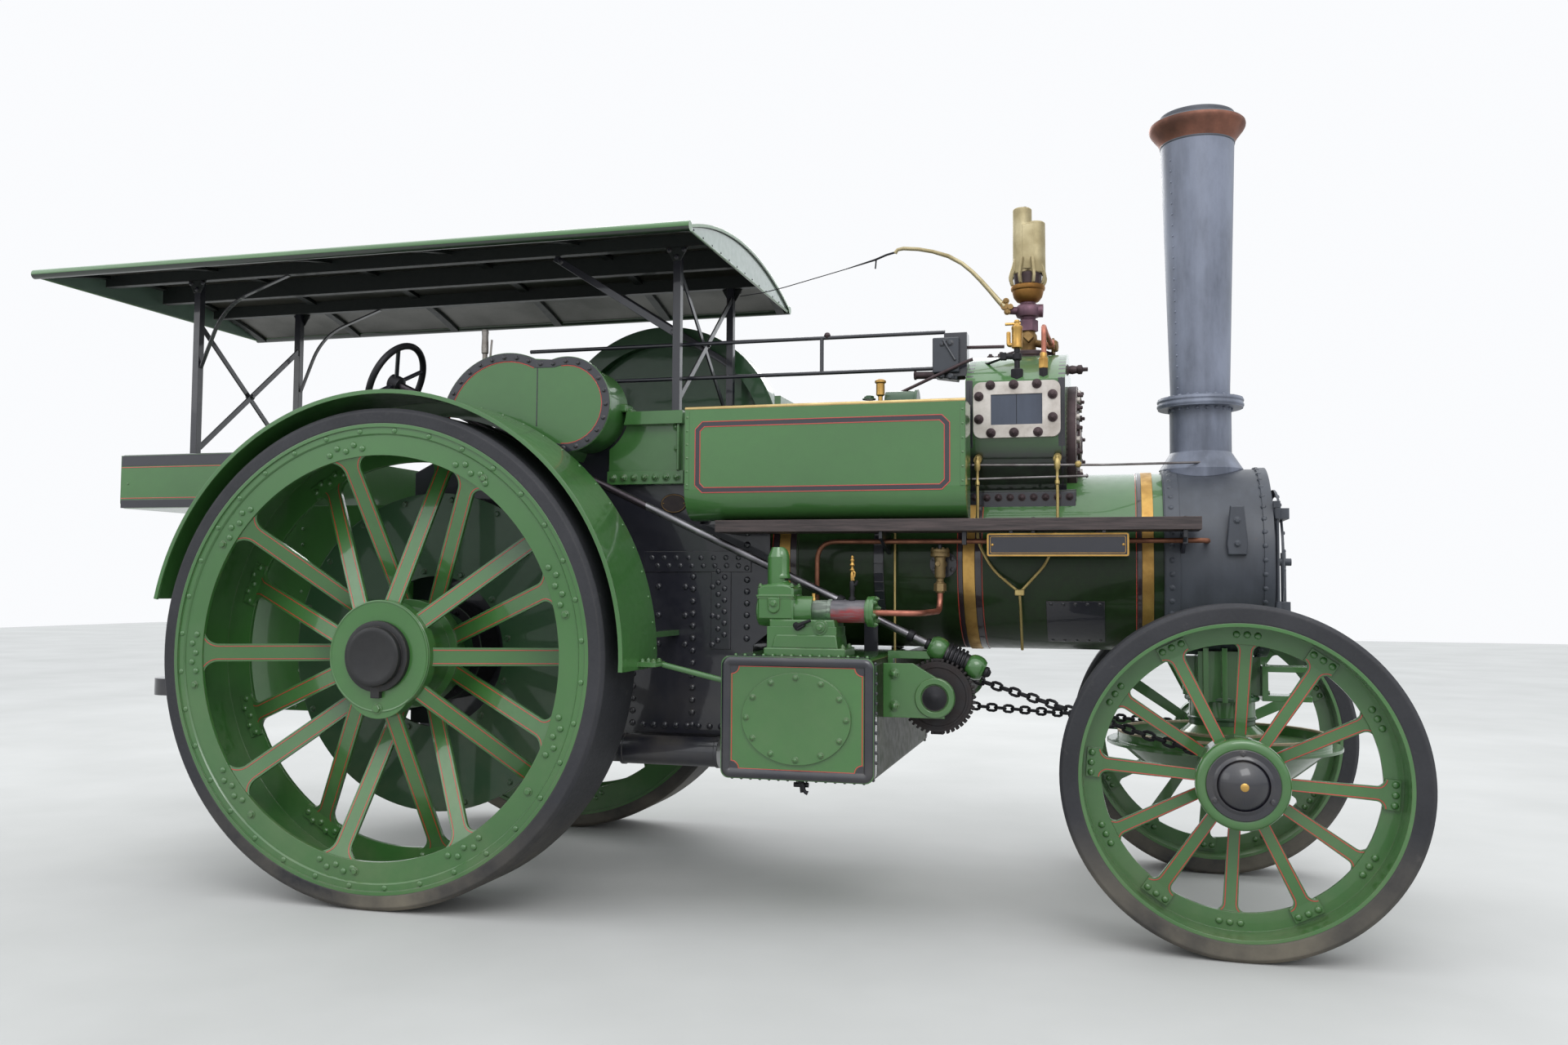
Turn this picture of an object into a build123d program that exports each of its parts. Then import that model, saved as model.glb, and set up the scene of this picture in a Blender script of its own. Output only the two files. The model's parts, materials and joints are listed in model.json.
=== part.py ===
from build123d import *
import os
from math import atan2, cos, degrees, hypot, radians, sin, sqrt

# Steam traction engine on rubber-tyred spoked wheels, with worm and chain steering.
# Millimetres. X runs forward, Y to the left, Z up. Places below are written from the rear axle's
# middle on the ground, and every solid is moved to the middle of the outline when it is saved.

# Clearances
running_gap = 0.05          # shaft in its bore, on the radius
seat_gap = 0.3              # between curved faces that sit on each other
swing_gap = 6.0             # between pieces that move past each other

# Wheel places
wheelbase = 3470.0
rear_tyre_radius = 1056.0
rear_face_y = 1119.0
rear_wheel_width = 350.0
front_tyre_radius = 654.0
front_face_y = 857.0
front_wheel_width = 257.0

# Rear wheels
rear_rim_radius = 990.0
rear_rim_wall = 16.0
rear_ring_inner_radius = 855.0
rear_ring_wall = 16.0
rear_ring_inset = 14.0
rear_lip_inner_radius = 946.0
rear_lip_height = 7.0
rear_spokes_per_ring = 9
rear_spoke_width = 78.0
rear_spoke_wall = 14.0
rear_root_width = 196.0
rear_root_flare = 58.0
rear_hub_radius = 205.0
rear_flange_radius = 240.0
rear_flange_width = 62.0
rear_hub_face_inset = 55.0
rear_hub_edge = 10.0
rear_lug_drop = 95.0
rear_lug_radius = 170.0
rear_cap_radius = 125.0
rear_collar_radius = 150.0
rear_collar_length = 22.0
rear_axle_radius = 75.0

# Front wheels
front_rim_radius = 583.0
front_rim_wall = 14.0
front_ring_inner_radius = 500.0
front_ring_wall = 14.0
front_spokes_per_side = 6
front_spoke_start = -4.0
front_spoke_width_hub = 43.0
front_spoke_width = 56.0
front_spoke_wall = 12.0
front_root_width = 112.0
front_root_flare = 27.0
front_root_length = 56.0
front_hub_radius = 150.0
front_hub_face_y = 925.0
front_hub_back_y = 640.0
front_hub_dish = 42.0
front_disc_radius = 128.0
front_disc_length = 6.0
front_dome_radius = 92.0
front_dome_rise = 46.0
front_axle_radius = 45.0

# Boiler, smokebox and chimney
boiler_z = 1480.0
boiler_radius = 391.0
firebox_back_x = 450.0
firebox_front_x = 1470.0
firebox_half_width = 404.0
firebox_bottom_z = 690.0
smokebox_back_x = wheelbase - 246.0
smokebox_front_x = wheelbase + 180.0
smokebox_radius = 403.0
band_width = 55.0
band_height = 4.0
ashpan_inset = 60.0
ashpan_front_inset = 120.0
ashpan_depth = 140.0
smokebox_ring_width = 40.0
smokebox_ring_height = 6.0
chimney_x = wheelbase - 75.0
saddle_radius = 177.0
saddle_height = 105.0
saddle_edge = 30.0
chimney_foot_radius = 130.0
chimney_joint_z = 2153.0
chimney_joint_radius = 179.0
chimney_joint_height = 45.0
chimney_low_radius = 125.0
chimney_top_radius = 157.0
chimney_wall = 12.0
cap_start_z = 3335.0
cap_radius = 206.0
cap_wide_z = 3417.0
cap_top_z = 3467.0
cap_mouth_radius = 160.0
door_radius = 312.0
door_wall = 16.0
door_rise = 38.0
door_hinge_offset = 352.0
door_hinge_radius = 14.0
door_pin_radius = 7.0
door_hinge_height = 190.0
door_handle_reach = 55.0
door_handle_inset = 32.0

# Hornplates and their green upper castings
horn_wall = 16.0
horn_back_x = -240.0
horn_front_x = 1545.0
horn_top_z = 2154.0
horn_low_z = 700.0
horn_step_x = 1216.0
horn_step_z = 1640.0
horn_rear_top_z = horn_top_z - 254.0
horn_top_back_x = 270.0
horn_front_low_z = 1100.0
cheek_back_x = 783.0
cheek_front_x = 1152.0
cheek_low_z = horn_top_z - 331.0
cheek_wall = 34.0
cheek_flange = 40.0
cheek_flange_height = 60.0

# Crankshaft, flywheel and motion
crank_x = 690.0
crank_z = horn_top_z - 44.0
crank_radius = 55.0
crank_throw = 150.0
crank_web_wall = 60.0
crank_web_gap = 110.0
crank_web_half_width = 75.0
flywheel_radius = 645.0
flywheel_inner_y = 482.0
flywheel_width = 140.0
flywheel_rim_depth = 90.0
flywheel_disc_wall = 26.0
flywheel_hub_radius = 120.0
crank_end_y = 700.0
slide_bar_back_x = 1500.0
slide_bar_spread = 95.0
slide_bar_size = 45.0
crosshead_x = 1760.0
crosshead_length = 190.0
crosshead_height = 130.0
piston_rod_radius = 28.0
rod_half_height = 45.0
rod_wall = 50.0
big_end_length = 130.0
big_end_half_height = 85.0

# Cylinder block and its fittings
cylinder_front_x = smokebox_back_x - 394.0
cylinder_back_x = cylinder_front_x - 420.0
cylinder_half_width = 400.0
band_places = (firebox_front_x + 170.0, cylinder_back_x + 15.0, smokebox_back_x - 74.0)
cylinder_shoulder_z = crank_z + 140.0
cylinder_top_z = crank_z + 304.0
cylinder_foot_half_width = 300.0
cylinder_foot_top_z = crank_z - 325.0
cylinder_foot_reach = 40.0
cylinder_foot_depth = 105.0
cylinder_belly = 14.0
chest_back_x = cylinder_back_x + 36.0
chest_front_x = cylinder_front_x - 19.0
chest_low_z = crank_z - 110.0
chest_top_z = crank_z + 130.0
chest_wall = 24.0
chest_edge = 34.0
chest_inset_border = (75.0, 55.0)
chest_inset_depth = 8.0
end_cover_radius = 265.0
end_cover_z = crank_z - 104.0
end_cover_wall = 40.0
end_boss_radius = 90.0
end_boss_wall = 14.0
end_studs = 14
end_stud_radius = 15.0
end_stud_inset = 30.0
valve_x = cylinder_back_x + 240.0
valve_profile = (           # radius, height over the cylinder's top
    (112.0, 0.0), (112.0, 20.0), (54.0, 32.0), (50.0, 100.0), (42.0, 120.0), (42.0, 170.0),
    (30.0, 178.0), (57.0, 190.0), (57.0, 230.0), (30.0, 242.0), (30.0, 262.0), (74.0, 300.0),
    (77.0, 322.0), (30.0, 336.0), (62.0, 342.0), (88.0, 415.0), (88.0, 428.0), (83.0, 436.0))
whistle_tubes = (           # place along X from the stack, radius, height over the cylinder's top
    (-24.0, 44.0, 699.0), (34.0, 46.0, 631.0))
whistle_tube_sink = 15.0
whistle_lever_y = -42.0
whistle_lever_radius = 9.0
whistle_lever = (           # place along X behind the stack, height over the cylinder's top
    (0.0, 208.0), (110.0, 232.0), (208.0, 338.0), (337.0, 447.0), (487.0, 513.0), (608.0, 532.0))
whistle_lever_bend = 60.0

# Side covers, running boards and blank nameboards
cover_back_x = 1220.0
cover_front_x = cylinder_back_x + 30.0
cover_back_left_x = 1400.0
cover_outer_y = 650.0
cover_low_z = 1650.0
cover_top_z = crank_z + 25.0
cover_corner_share = 0.765
cover_wall = 12.0
board_back_x = 1360.0
board_front_x = smokebox_back_x + 133.0
board_inner_y = 420.0
board_outer_y = 640.0
board_top_z = 1646.0
board_wall = 50.0
bracket_places = (2070.0, 2700.0, board_front_x - 67.0)
bracket_wall = 14.0
bracket_drop = 110.0
plate_front_x = board_front_x - 274.0
plate_back_x = plate_front_x - 561.0
plate_top_z = 1585.0
plate_low_z = 1490.0
plate_wall = 14.0
plate_inset = 40.0

# Belly tank, feed pump and pipes
tank_back_x = firebox_front_x + 8.0
tank_front_x = tank_back_x + 631.0
tank_right_y = -900.0
tank_left_y = 520.0
tank_low_z = 589.0
tank_top_z = 1080.0
tank_edge = 34.0
hatch_half = (225.0, 183.0)
hatch_wall = 10.0
pump_y = -750.0
pump_back_x = tank_back_x + 122.0
pump_front_x = pump_back_x + 486.0
pump_base_back_x = pump_back_x + 52.0
pump_base_front_x = pump_base_back_x + 290.0
pump_base_height = 120.0
pump_base_width = 170.0
pump_body_radius = 62.0
pump_vessel_x = pump_back_x + 73.0
pump_vessel_radius = 42.0
pump_vessel_top_z = 1525.0
pump_barrel_radius = 44.0
pipe_radius = 12.0
pipe_bend = 50.0
clack_x = pump_front_x + 222.0
clack_y = -455.0
clack_low_z = 1338.0
clack_boss_radius = 22.0
clack_boss_height = 72.0
clack_profile = (           # radius, height over the valve's foot
    (16.0, 0.0), (26.0, 6.0), (26.0, 18.0), (17.0, 24.0), (17.0, 44.0), (35.0, 56.0), (35.0, 88.0),
    (18.0, 98.0), (18.0, 118.0), (34.0, 126.0), (34.0, 144.0), (22.0, 150.0), (22.0, 176.0), (10.0, 183.0))
high_pipe_radius = 10.0
high_pipe_y = -525.0
high_pipe_x = tank_back_x + 309.0
high_pipe_z = 1556.0
high_pipe_bend = 85.0
high_pipe_end_x = smokebox_back_x + 165.0

# Tender and footplate
tender_back_x = -1800.0
tender_waist_x = -1100.0
tender_front_x = -235.0
tender_half_width = 600.0
tender_low_z = 760.0
tender_shelf_z = 1735.0
tender_top_z = 2000.0
tender_wall = 10.0
tender_edge = 34.0
tender_coping = 9.0
bunker_front_x = -760.0
locker_front_x = -1470.0
floor_top_z = 900.0
well_rise = 400.0
drawbar_reach_x = -2060.0
drawbar_z = 800.0
drawbar_height = 90.0
drawbar_half_width = 110.0
drawbar_hole_radius = 24.0
drawbar_hole_inset = 75.0
drawbar_plate_wall = 20.0
drawbar_plate_half = 242.0
drawbar_plate_low = 40.0
drawbar_plate_high = 120.0

# Canopy
canopy_back_x = -2147.0
canopy_front_x = 1300.0
canopy_half_width = 848.0
canopy_eave_z = 2888.0
canopy_rise = 140.0
canopy_wall = 14.0
eave_roll_radius = 23.0
post_size = 36.0
post_y = 402.0
post_back_x = -1530.0
post_front_x = 1092.0
beam_height = 60.0
beam_width = 40.0
brace_radius = 11.0
cross_front = (80.0, 60.0)     # over the post's foot, below its top
cross_back = (60.0, 220.0)
brace_low_z = 2470.0
brace_bow = (135.0, 320.0)
brace_reach = 512.0
long_stay_low_z = 2516.0
long_stay_reach = 640.0
long_stay_radius = 13.0

# Mudguards
guard_radius = rear_tyre_radius + 74.0
guard_wall = 6.0
guard_outer_y = 1117.0
guard_inner_y = 735.0
guard_front_angle = -2.0
guard_back_angle = 168.0
guard_cheek_depth = 60.0
guard_lip_depth = 12.0
guard_lip_wall = 10.0
guard_foot_y = -900.0
guard_foot_half_width = 55.0
guard_foot_reach = 84.0
guard_foot_low = 26.0
guard_foot_wall = 20.0
guard_stay_y = -870.0
guard_stay_end_z = 973.0
guard_stay_radius = 12.0
strut_front_angle = 5.0
strut_back_angle = 138.0
strut_half = (25.0, 12.0)

# Gear cover and drive disc
gear_cover_inner_y = 420.0
gear_cover_outer_y = 680.0
gear_big_x = crank_x - 315.0
gear_big_z = crank_z - 25.0
gear_big_radius = 305.0
gear_small_x = crank_x - 25.0
gear_small_z = crank_z + 58.0
gear_small_radius = 194.0
gear_big_share = 0.94
gear_small_share = 0.92
gear_flange_reach = 22.0
gear_flange_wall = 14.0
gear_cover_gap = 37.0
disc_radius = 730.0
disc_inner_y = 600.0
disc_wall = 14.0
disc_eye_radius = 345.0
disc_hub_radius = 230.0

# Steering
column_y = -570.0
column_radius = 17.0
column_back = (-262.0, 2314.0)
column_front = (2480.0, 1030.0)
handwheel_radius = 190.0
handwheel_rim = 15.0
handwheel_hub = 38.0
handwheel_hub_length = 50.0
handwheel_arm_radius = 10.0
worm_radius = 44.0
worm_core_radius = 36.0
worm_length = 84.0
worm_threads = 5
cup_profile = (             # radius, distance along the column from the worm's middle
    (30.0, 46.0), (49.0, 84.0), (49.0, 104.0), (38.0, 122.0))
cup_arm_half_width = 26.0
cup_arm_wall = 22.0
cup_arm_low = 151.0
cup_arm_height = 32.0
cup_arm_back = 35.0
cup_foot_drop = 70.0
strap_height = 34.0
strap_wall = 14.0
roller_x = tank_front_x + 211.0
roller_z = 915.0
roller_radius = 66.0
roller_right_y = -680.0
roller_left_y = 420.0
roller_end_radius = 50.0
worm_wheel_radius = 143.0
worm_wheel_width = 46.0
worm_wheel_y = -610.0
cheek_plate_wall = 22.0
cheek_plate_boss = 82.0
cheek_plate_top = 138.0
cheek_plate_flat = 90.0
cheek_plate_nose = (40.0, 62.0)
chain_radius = 17.0
link_pitch = 46.0
link_wall = 11.0
link_grip = 1.5
chain_start_y = -220.0
chain_pitch_y = 90.0
chain_end_back = 160.0
ring_chain_z = 725.0

# Front carriage
perch_foot_z = 883.0
perch_half_length = 105.0
perch_half_width = 150.0
perch_wall = 26.0
perch_rib_wall = 22.0
perch_rib_reach = 33.0
perch_rib_step = 75.0
perch_rib_top = 240.0
collar_lip_radius = 152.0
collar_lip_height = 18.0
collar_radius = 136.0
collar_low_z = 779.0
saucer_radius = 172.0
ring_radius = 438.0
ring_wall = 12.0
ring_top_z = 747.0
ring_floor_z = 702.0
ring_flange_radius = 482.0
ring_flange_wall = 12.0
pan_low_radius = 300.0
pan_low_z = 575.0
axle_beam_half_height = 55.0
axle_beam_half_length = 50.0
hitch_front_x = wheelbase + 358.0
hitch_low_z = 886.0
hitch_high_z = 1010.0
hitch_wall = 24.0
hitch_half_width = 62.0
hitch_hole_radius = 17.0
hitch_hole_inset = 40.0

# Small gear on top
rail_radius = 9.0
rail_high_z = cylinder_top_z + 76.0
rail_low_z = cylinder_top_z - 84.0
rail_y = -300.0
rail_back_x = 300.0
rail_low_back_x = 700.0
rail_stand_x = 1750.0
oiler_back_x = cylinder_back_x - 100.0
oiler_half_width = 40.0
oiler_low_z = cylinder_top_z - 129.0
oiler_top_z = cylinder_top_z + 64.0
lever_x = 90.0
lever_y = -366.0
lever_foot_z = 1930.0
lever_top_z = 2594.0
lever_radius = 11.0
lever_grip_radius = 15.0
lever_grip_length = 110.0
lever_foot_half = (60.0, 30.0)

# Worked out from the sizes above
origin_x = (wheelbase + front_tyre_radius + canopy_back_x) / 2.0
rear_back_y = rear_face_y - rear_wheel_width
front_back_y = front_face_y - front_wheel_width
front_ring_y = front_face_y - front_wheel_width / 2.0
horn_outer_y = firebox_half_width + horn_wall
rear_axle_z = rear_tyre_radius
front_axle_z = front_tyre_radius
rear_hub_face_y = rear_face_y - rear_hub_face_inset
canopy_arc_radius = (canopy_half_width ** 2 + canopy_rise ** 2) / (2.0 * canopy_rise)
column_angle = degrees(atan2(column_front[1] - column_back[1], column_front[0] - column_back[0]))


def block(x0, x1, y0, y1, z0, z1):
    """A box from its low corner to its high corner."""
    body = Box(x1 - x0, y1 - y0, z1 - z0)
    return Pos((x0 + x1) / 2.0, (y0 + y1) / 2.0, (z0 + z1) / 2.0) * body


def drum_x(y, z, radius, x0, x1):
    """A cylinder along X."""
    return Pos((x0 + x1) / 2.0, y, z) * Rot(0, 90, 0) * Cylinder(radius, x1 - x0)


def drum_y(x, z, radius, y0, y1):
    """A cylinder along Y."""
    return Pos(x, (y0 + y1) / 2.0, z) * Rot(90, 0, 0) * Cylinder(radius, y1 - y0)


def drum_z(x, y, radius, z0, z1):
    """A cylinder along Z."""
    return Pos(x, y, (z0 + z1) / 2.0) * Cylinder(radius, z1 - z0)


def bar(start, end, radius):
    """A round bar between two points."""
    line = Vector(*end) - Vector(*start)
    plane = Plane(origin=start, z_dir=line)
    return extrude(plane * Circle(radius), amount=line.length)


def plate_xz(outline, y0, y1):
    """A flat plate in the XZ plane, between two places along Y."""
    plane = Plane.XZ.offset(-y0)
    return extrude(plane * outline, amount=y1 - y0, dir=(0, 1, 0))


def plate_yz(outline, x0, x1):
    """A flat plate in the YZ plane, between two places along X."""
    plane = Plane.YZ.offset(x0)
    return extrude(plane * outline, amount=x1 - x0, dir=(1, 0, 0))


def polygon(*points):
    """A straight-sided outline that stays where its points are."""
    return Polygon(*points, align=None)


def turned_y(profile):
    """A solid turned about the Y axis from points (radius, y)."""
    face = make_face(Plane.XY * Polyline(*[(radius, y) for radius, y in profile], close=True))
    return revolve(face, Axis.Y)


def turned_z(x, y, profile):
    """A solid turned about a vertical line from points (radius, z)."""
    face = make_face(Plane.XZ * Polyline(*[(radius, z) for radius, z in profile], close=True))
    return Pos(x, y, 0) * revolve(face, Axis.Z)


def to_left(shape):
    """The same piece on the other side of the engine."""
    return mirror(shape, about=Plane.XZ)


def spun(shape, angle):
    """A wheel's piece turned about the Y axis, with angles rising from +X to +Z."""
    return shape.rotate(Axis.Y, -angle)


def save(name, shape, left=False):
    """Write one node, moved to the middle of the outline."""
    placed = to_left(shape) if left else shape
    solids = [solid.moved(Location((-origin_x, 0, 0))) for solid in placed.solids()]
    node = solids[0] if len(solids) == 1 else Compound(solids)
    export_step(node, f"parts/{name}.step")


# Wheels, built about the Y axis with the outer face towards -Y
def spoke(inner_radius, inner_y, ring_radius, ring_y, width_hub, width, wall, root_width, root_flare,
          root_length):
    """A flat spoke from the hub to a ring, with round flares out to a wide foot on the ring."""
    length = hypot(ring_radius - inner_radius, ring_y - inner_y)
    half = width / 2.0
    root = root_width / 2.0
    end = length + wall
    outline = polygon((0, -width_hub / 2.0), (length, -half), (length, -root), (end, -root), (end, root),
                      (length, root), (length, half), (0, width_hub / 2.0))
    corners = outline.vertices().sort_by(lambda corner: abs(corner.X - length) + abs(abs(corner.Y) - half))
    outline = fillet(corners[:2], root_flare)
    blade = plate_xz(outline, -wall / 2.0, wall / 2.0)
    lean = degrees(atan2(ring_y - inner_y, ring_radius - inner_radius))
    foot = block(ring_radius, ring_radius + root_length, ring_y - wall / 2.0, ring_y + wall / 2.0, -root,
                 root)
    return Pos(inner_radius, inner_y, 0) * Rot(0, 0, lean) * blade + foot


def rear_wheel():
    """Steel rear wheel with two rings and two sets of crossed spokes."""
    outer = -rear_face_y
    inner = -rear_back_y
    rim = turned_y([(rear_rim_radius - rear_rim_wall, outer), (rear_rim_radius, outer),
                    (rear_rim_radius, inner), (rear_rim_radius - rear_rim_wall, inner)])
    ring_out = outer + rear_ring_inset
    ring_in = inner - rear_ring_inset
    ring_edge = rear_rim_radius - rear_rim_wall
    outer_ring = turned_y([(rear_ring_inner_radius, ring_out), (rear_lip_inner_radius, ring_out),
                           (rear_lip_inner_radius, ring_out - rear_lip_height),
                           (ring_edge, ring_out - rear_lip_height),
                           (ring_edge, ring_out + rear_ring_wall),
                           (rear_ring_inner_radius, ring_out + rear_ring_wall)])
    inner_ring = turned_y([(rear_ring_inner_radius, ring_in), (ring_edge, ring_in),
                           (ring_edge, ring_in - rear_ring_wall),
                           (rear_ring_inner_radius, ring_in - rear_ring_wall)])
    hub_out = -rear_hub_face_y
    hub_in = inner
    edge = rear_hub_edge
    hub = turned_y([(0, hub_out), (rear_flange_radius - edge, hub_out),
                    (rear_flange_radius, hub_out + edge),
                    (rear_flange_radius, hub_out + rear_flange_width),
                    (rear_hub_radius, hub_out + rear_flange_width),
                    (rear_hub_radius, hub_in - rear_flange_width),
                    (rear_flange_radius, hub_in - rear_flange_width),
                    (rear_flange_radius, hub_in), (0, hub_in)])
    lug = drum_y(0, -rear_lug_drop, rear_lug_radius, hub_out, hub_out + rear_flange_width)
    wheel = rim + outer_ring + inner_ring + hub + lug
    step = 360.0 / rear_spokes_per_ring
    hub_outer_y = hub_out + rear_flange_width / 2.0
    hub_inner_y = hub_in - rear_flange_width / 2.0
    root_length = (ring_edge - rear_ring_inner_radius) / 2.0
    to_outer = spoke(rear_hub_radius, hub_inner_y, rear_ring_inner_radius,
                     ring_out + rear_ring_wall, rear_spoke_width, rear_spoke_width,
                     rear_spoke_wall, rear_root_width, rear_root_flare, root_length)
    to_inner = spoke(rear_hub_radius, hub_outer_y, rear_ring_inner_radius,
                     ring_in - rear_ring_wall, rear_spoke_width, rear_spoke_width,
                     rear_spoke_wall, rear_root_width, rear_root_flare, root_length)
    for index in range(rear_spokes_per_ring):
        wheel += spun(to_outer, 180.0 + index * step)
        wheel += spun(to_inner, index * step)
    bore = drum_y(0, 0, rear_axle_radius + running_gap, hub_out - edge, hub_in + edge)
    return Pos(0, 0, rear_axle_z) * (wheel - bore)


def rear_tyre():
    """Solid rubber tyre, shrunk on the rear rim."""
    outer = -rear_face_y
    inner = -rear_back_y
    edge = rear_rim_wall
    ring = turned_y([(rear_rim_radius, outer), (rear_tyre_radius - edge, outer),
                     (rear_tyre_radius, outer + edge), (rear_tyre_radius, inner - edge),
                     (rear_tyre_radius - edge, inner), (rear_rim_radius, inner)])
    return Pos(0, 0, rear_axle_z) * ring


def rear_cap():
    """Black cap and collar over the end of the rear axle."""
    face = -rear_hub_face_y
    edge = rear_hub_edge
    cap = turned_y([(0, -rear_face_y + edge / 2.0), (rear_cap_radius - edge, -rear_face_y + edge / 2.0),
                    (rear_cap_radius, -rear_face_y + edge * 1.5),
                    (rear_cap_radius, face - rear_collar_length),
                    (rear_collar_radius, face - rear_collar_length),
                    (rear_collar_radius, face), (0, face)])
    return Pos(0, 0, rear_axle_z) * cap


def front_wheel():
    """Steel front wheel with one ring and spokes riveted to its two faces in turn."""
    outer = -front_face_y
    inner = -front_back_y
    rim = turned_y([(front_rim_radius - front_rim_wall, outer), (front_rim_radius, outer),
                    (front_rim_radius, inner), (front_rim_radius - front_rim_wall, inner)])
    half_ring = front_ring_wall / 2.0
    ring_edge = front_rim_radius - front_rim_wall
    ring = turned_y([(front_ring_inner_radius, -front_ring_y - half_ring),
                     (ring_edge, -front_ring_y - half_ring), (ring_edge, -front_ring_y + half_ring),
                     (front_ring_inner_radius, -front_ring_y + half_ring)])
    edge = rear_hub_edge
    hub = turned_y([(0, -front_hub_face_y), (front_hub_radius - edge, -front_hub_face_y),
                    (front_hub_radius, -front_hub_face_y + edge), (front_hub_radius, -front_hub_back_y),
                    (0, -front_hub_back_y)])
    wheel = rim + ring + hub
    spokes = 2 * front_spokes_per_side
    step = 360.0 / spokes
    for index in range(spokes):
        side = -1.0 if index % 2 == 0 else 1.0
        ring_y = -front_ring_y + side * (half_ring + front_spoke_wall / 2.0)
        blade = spoke(front_hub_radius - edge, -front_ring_y + side * front_hub_dish,
                      front_ring_inner_radius, ring_y, front_spoke_width_hub, front_spoke_width,
                      front_spoke_wall, front_root_width, front_root_flare, front_root_length)
        wheel += spun(blade, front_spoke_start + index * step)
    bore = drum_y(0, 0, front_axle_radius + running_gap, -front_hub_face_y - edge,
                  -front_hub_back_y + edge)
    return Pos(wheelbase, 0, front_axle_z) * (wheel - bore)


def front_tyre():
    """Solid rubber tyre, shrunk on the front rim."""
    outer = -front_face_y
    inner = -front_back_y
    edge = front_rim_wall
    ring = turned_y([(front_rim_radius, outer), (front_tyre_radius - edge, outer),
                     (front_tyre_radius, outer + edge), (front_tyre_radius, inner - edge),
                     (front_tyre_radius - edge, inner), (front_rim_radius, inner)])
    return Pos(wheelbase, 0, front_axle_z) * ring


def front_cap():
    """Black disc and dome on the front hub."""
    face = -front_hub_face_y
    disc = turned_y([(0, face - front_disc_length), (front_disc_radius, face - front_disc_length),
                     (front_disc_radius, face), (0, face)])
    ball_radius = (front_dome_radius ** 2 + front_dome_rise ** 2) / (2.0 * front_dome_rise)
    ball = Pos(0, face - front_disc_length - front_dome_rise + ball_radius, 0) * Sphere(ball_radius)
    keep = drum_y(0, 0, front_dome_radius, face - front_disc_length - front_dome_rise,
                  face - front_disc_length / 2.0)
    return Pos(wheelbase, 0, front_axle_z) * (disc + (ball & keep))


# Boiler and smokebox
def boiler_barrel():
    """Lagged boiler barrel with its bands."""
    barrel = drum_x(0, boiler_z, boiler_radius, firebox_front_x, smokebox_back_x)
    for place in band_places:
        barrel += drum_x(0, boiler_z, boiler_radius + band_height, place - band_width / 2.0,
                         place + band_width / 2.0)
    return barrel


def firebox():
    """Riveted firebox with a round top, and its ashpan."""
    round_top = drum_x(0, boiler_z, firebox_half_width, firebox_back_x, firebox_front_x)
    lower = block(firebox_back_x, firebox_front_x, -firebox_half_width, firebox_half_width,
                  firebox_bottom_z, boiler_z)
    half = firebox_half_width - ashpan_inset
    ashpan = block(firebox_back_x + ashpan_inset, firebox_front_x - ashpan_front_inset, -half, half,
                   firebox_bottom_z - ashpan_depth, firebox_bottom_z)
    return round_top + lower + ashpan


def hornplates():
    """Two side plates that carry the crankshaft and the rear axle."""
    outline = polygon((horn_back_x, horn_low_z), (firebox_front_x, horn_low_z),
                      (firebox_front_x, horn_front_low_z), (horn_front_x, horn_front_low_z + 60.0),
                      (horn_front_x, horn_step_z),
                      (horn_step_x, horn_step_z), (horn_step_x, horn_top_z),
                      (horn_top_back_x, horn_top_z), (horn_back_x, horn_rear_top_z))
    plate = plate_xz(outline, -horn_outer_y, -firebox_half_width)
    crank_hole = drum_y(crank_x, crank_z, crank_radius + running_gap, -horn_outer_y, 0)
    axle_hole = drum_y(0, rear_axle_z, rear_axle_radius, -horn_outer_y, 0)
    right = plate - crank_hole - axle_hole
    return right + to_left(right)


def horn_cheek():
    """Green casting on the outside of the right hornplate, with a bolted lower flange."""
    y_in = -horn_outer_y
    y_out = y_in - cheek_wall
    web = block(cheek_back_x, cheek_front_x, y_out, y_in, cheek_low_z, horn_top_z)
    top = block(cheek_back_x, cheek_front_x, y_out - cheek_flange, y_in,
                horn_top_z - cheek_flange_height, horn_top_z)
    foot = block(cheek_back_x, cheek_front_x, y_out - cheek_flange / 2.0, y_in, cheek_low_z,
                 cheek_low_z + cheek_flange_height)
    cover = drum_y(gear_small_x, gear_small_z, gear_small_radius + gear_flange_reach + seat_gap,
                   y_out - 2 * cheek_flange, y_in + seat_gap)
    return web + top + foot - cover


def smokebox():
    """Smokebox with its front ring."""
    body = drum_x(0, boiler_z, smokebox_radius, smokebox_back_x, smokebox_front_x)
    ring = drum_x(0, boiler_z, smokebox_radius + smokebox_ring_height,
                  smokebox_front_x - smokebox_ring_width, smokebox_front_x)
    return body + ring + door_hinges()


def door_hinge_x():
    """Middle of the smokebox door's hinge pin along X."""
    return smokebox_front_x + door_hinge_radius + 1.0


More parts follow.
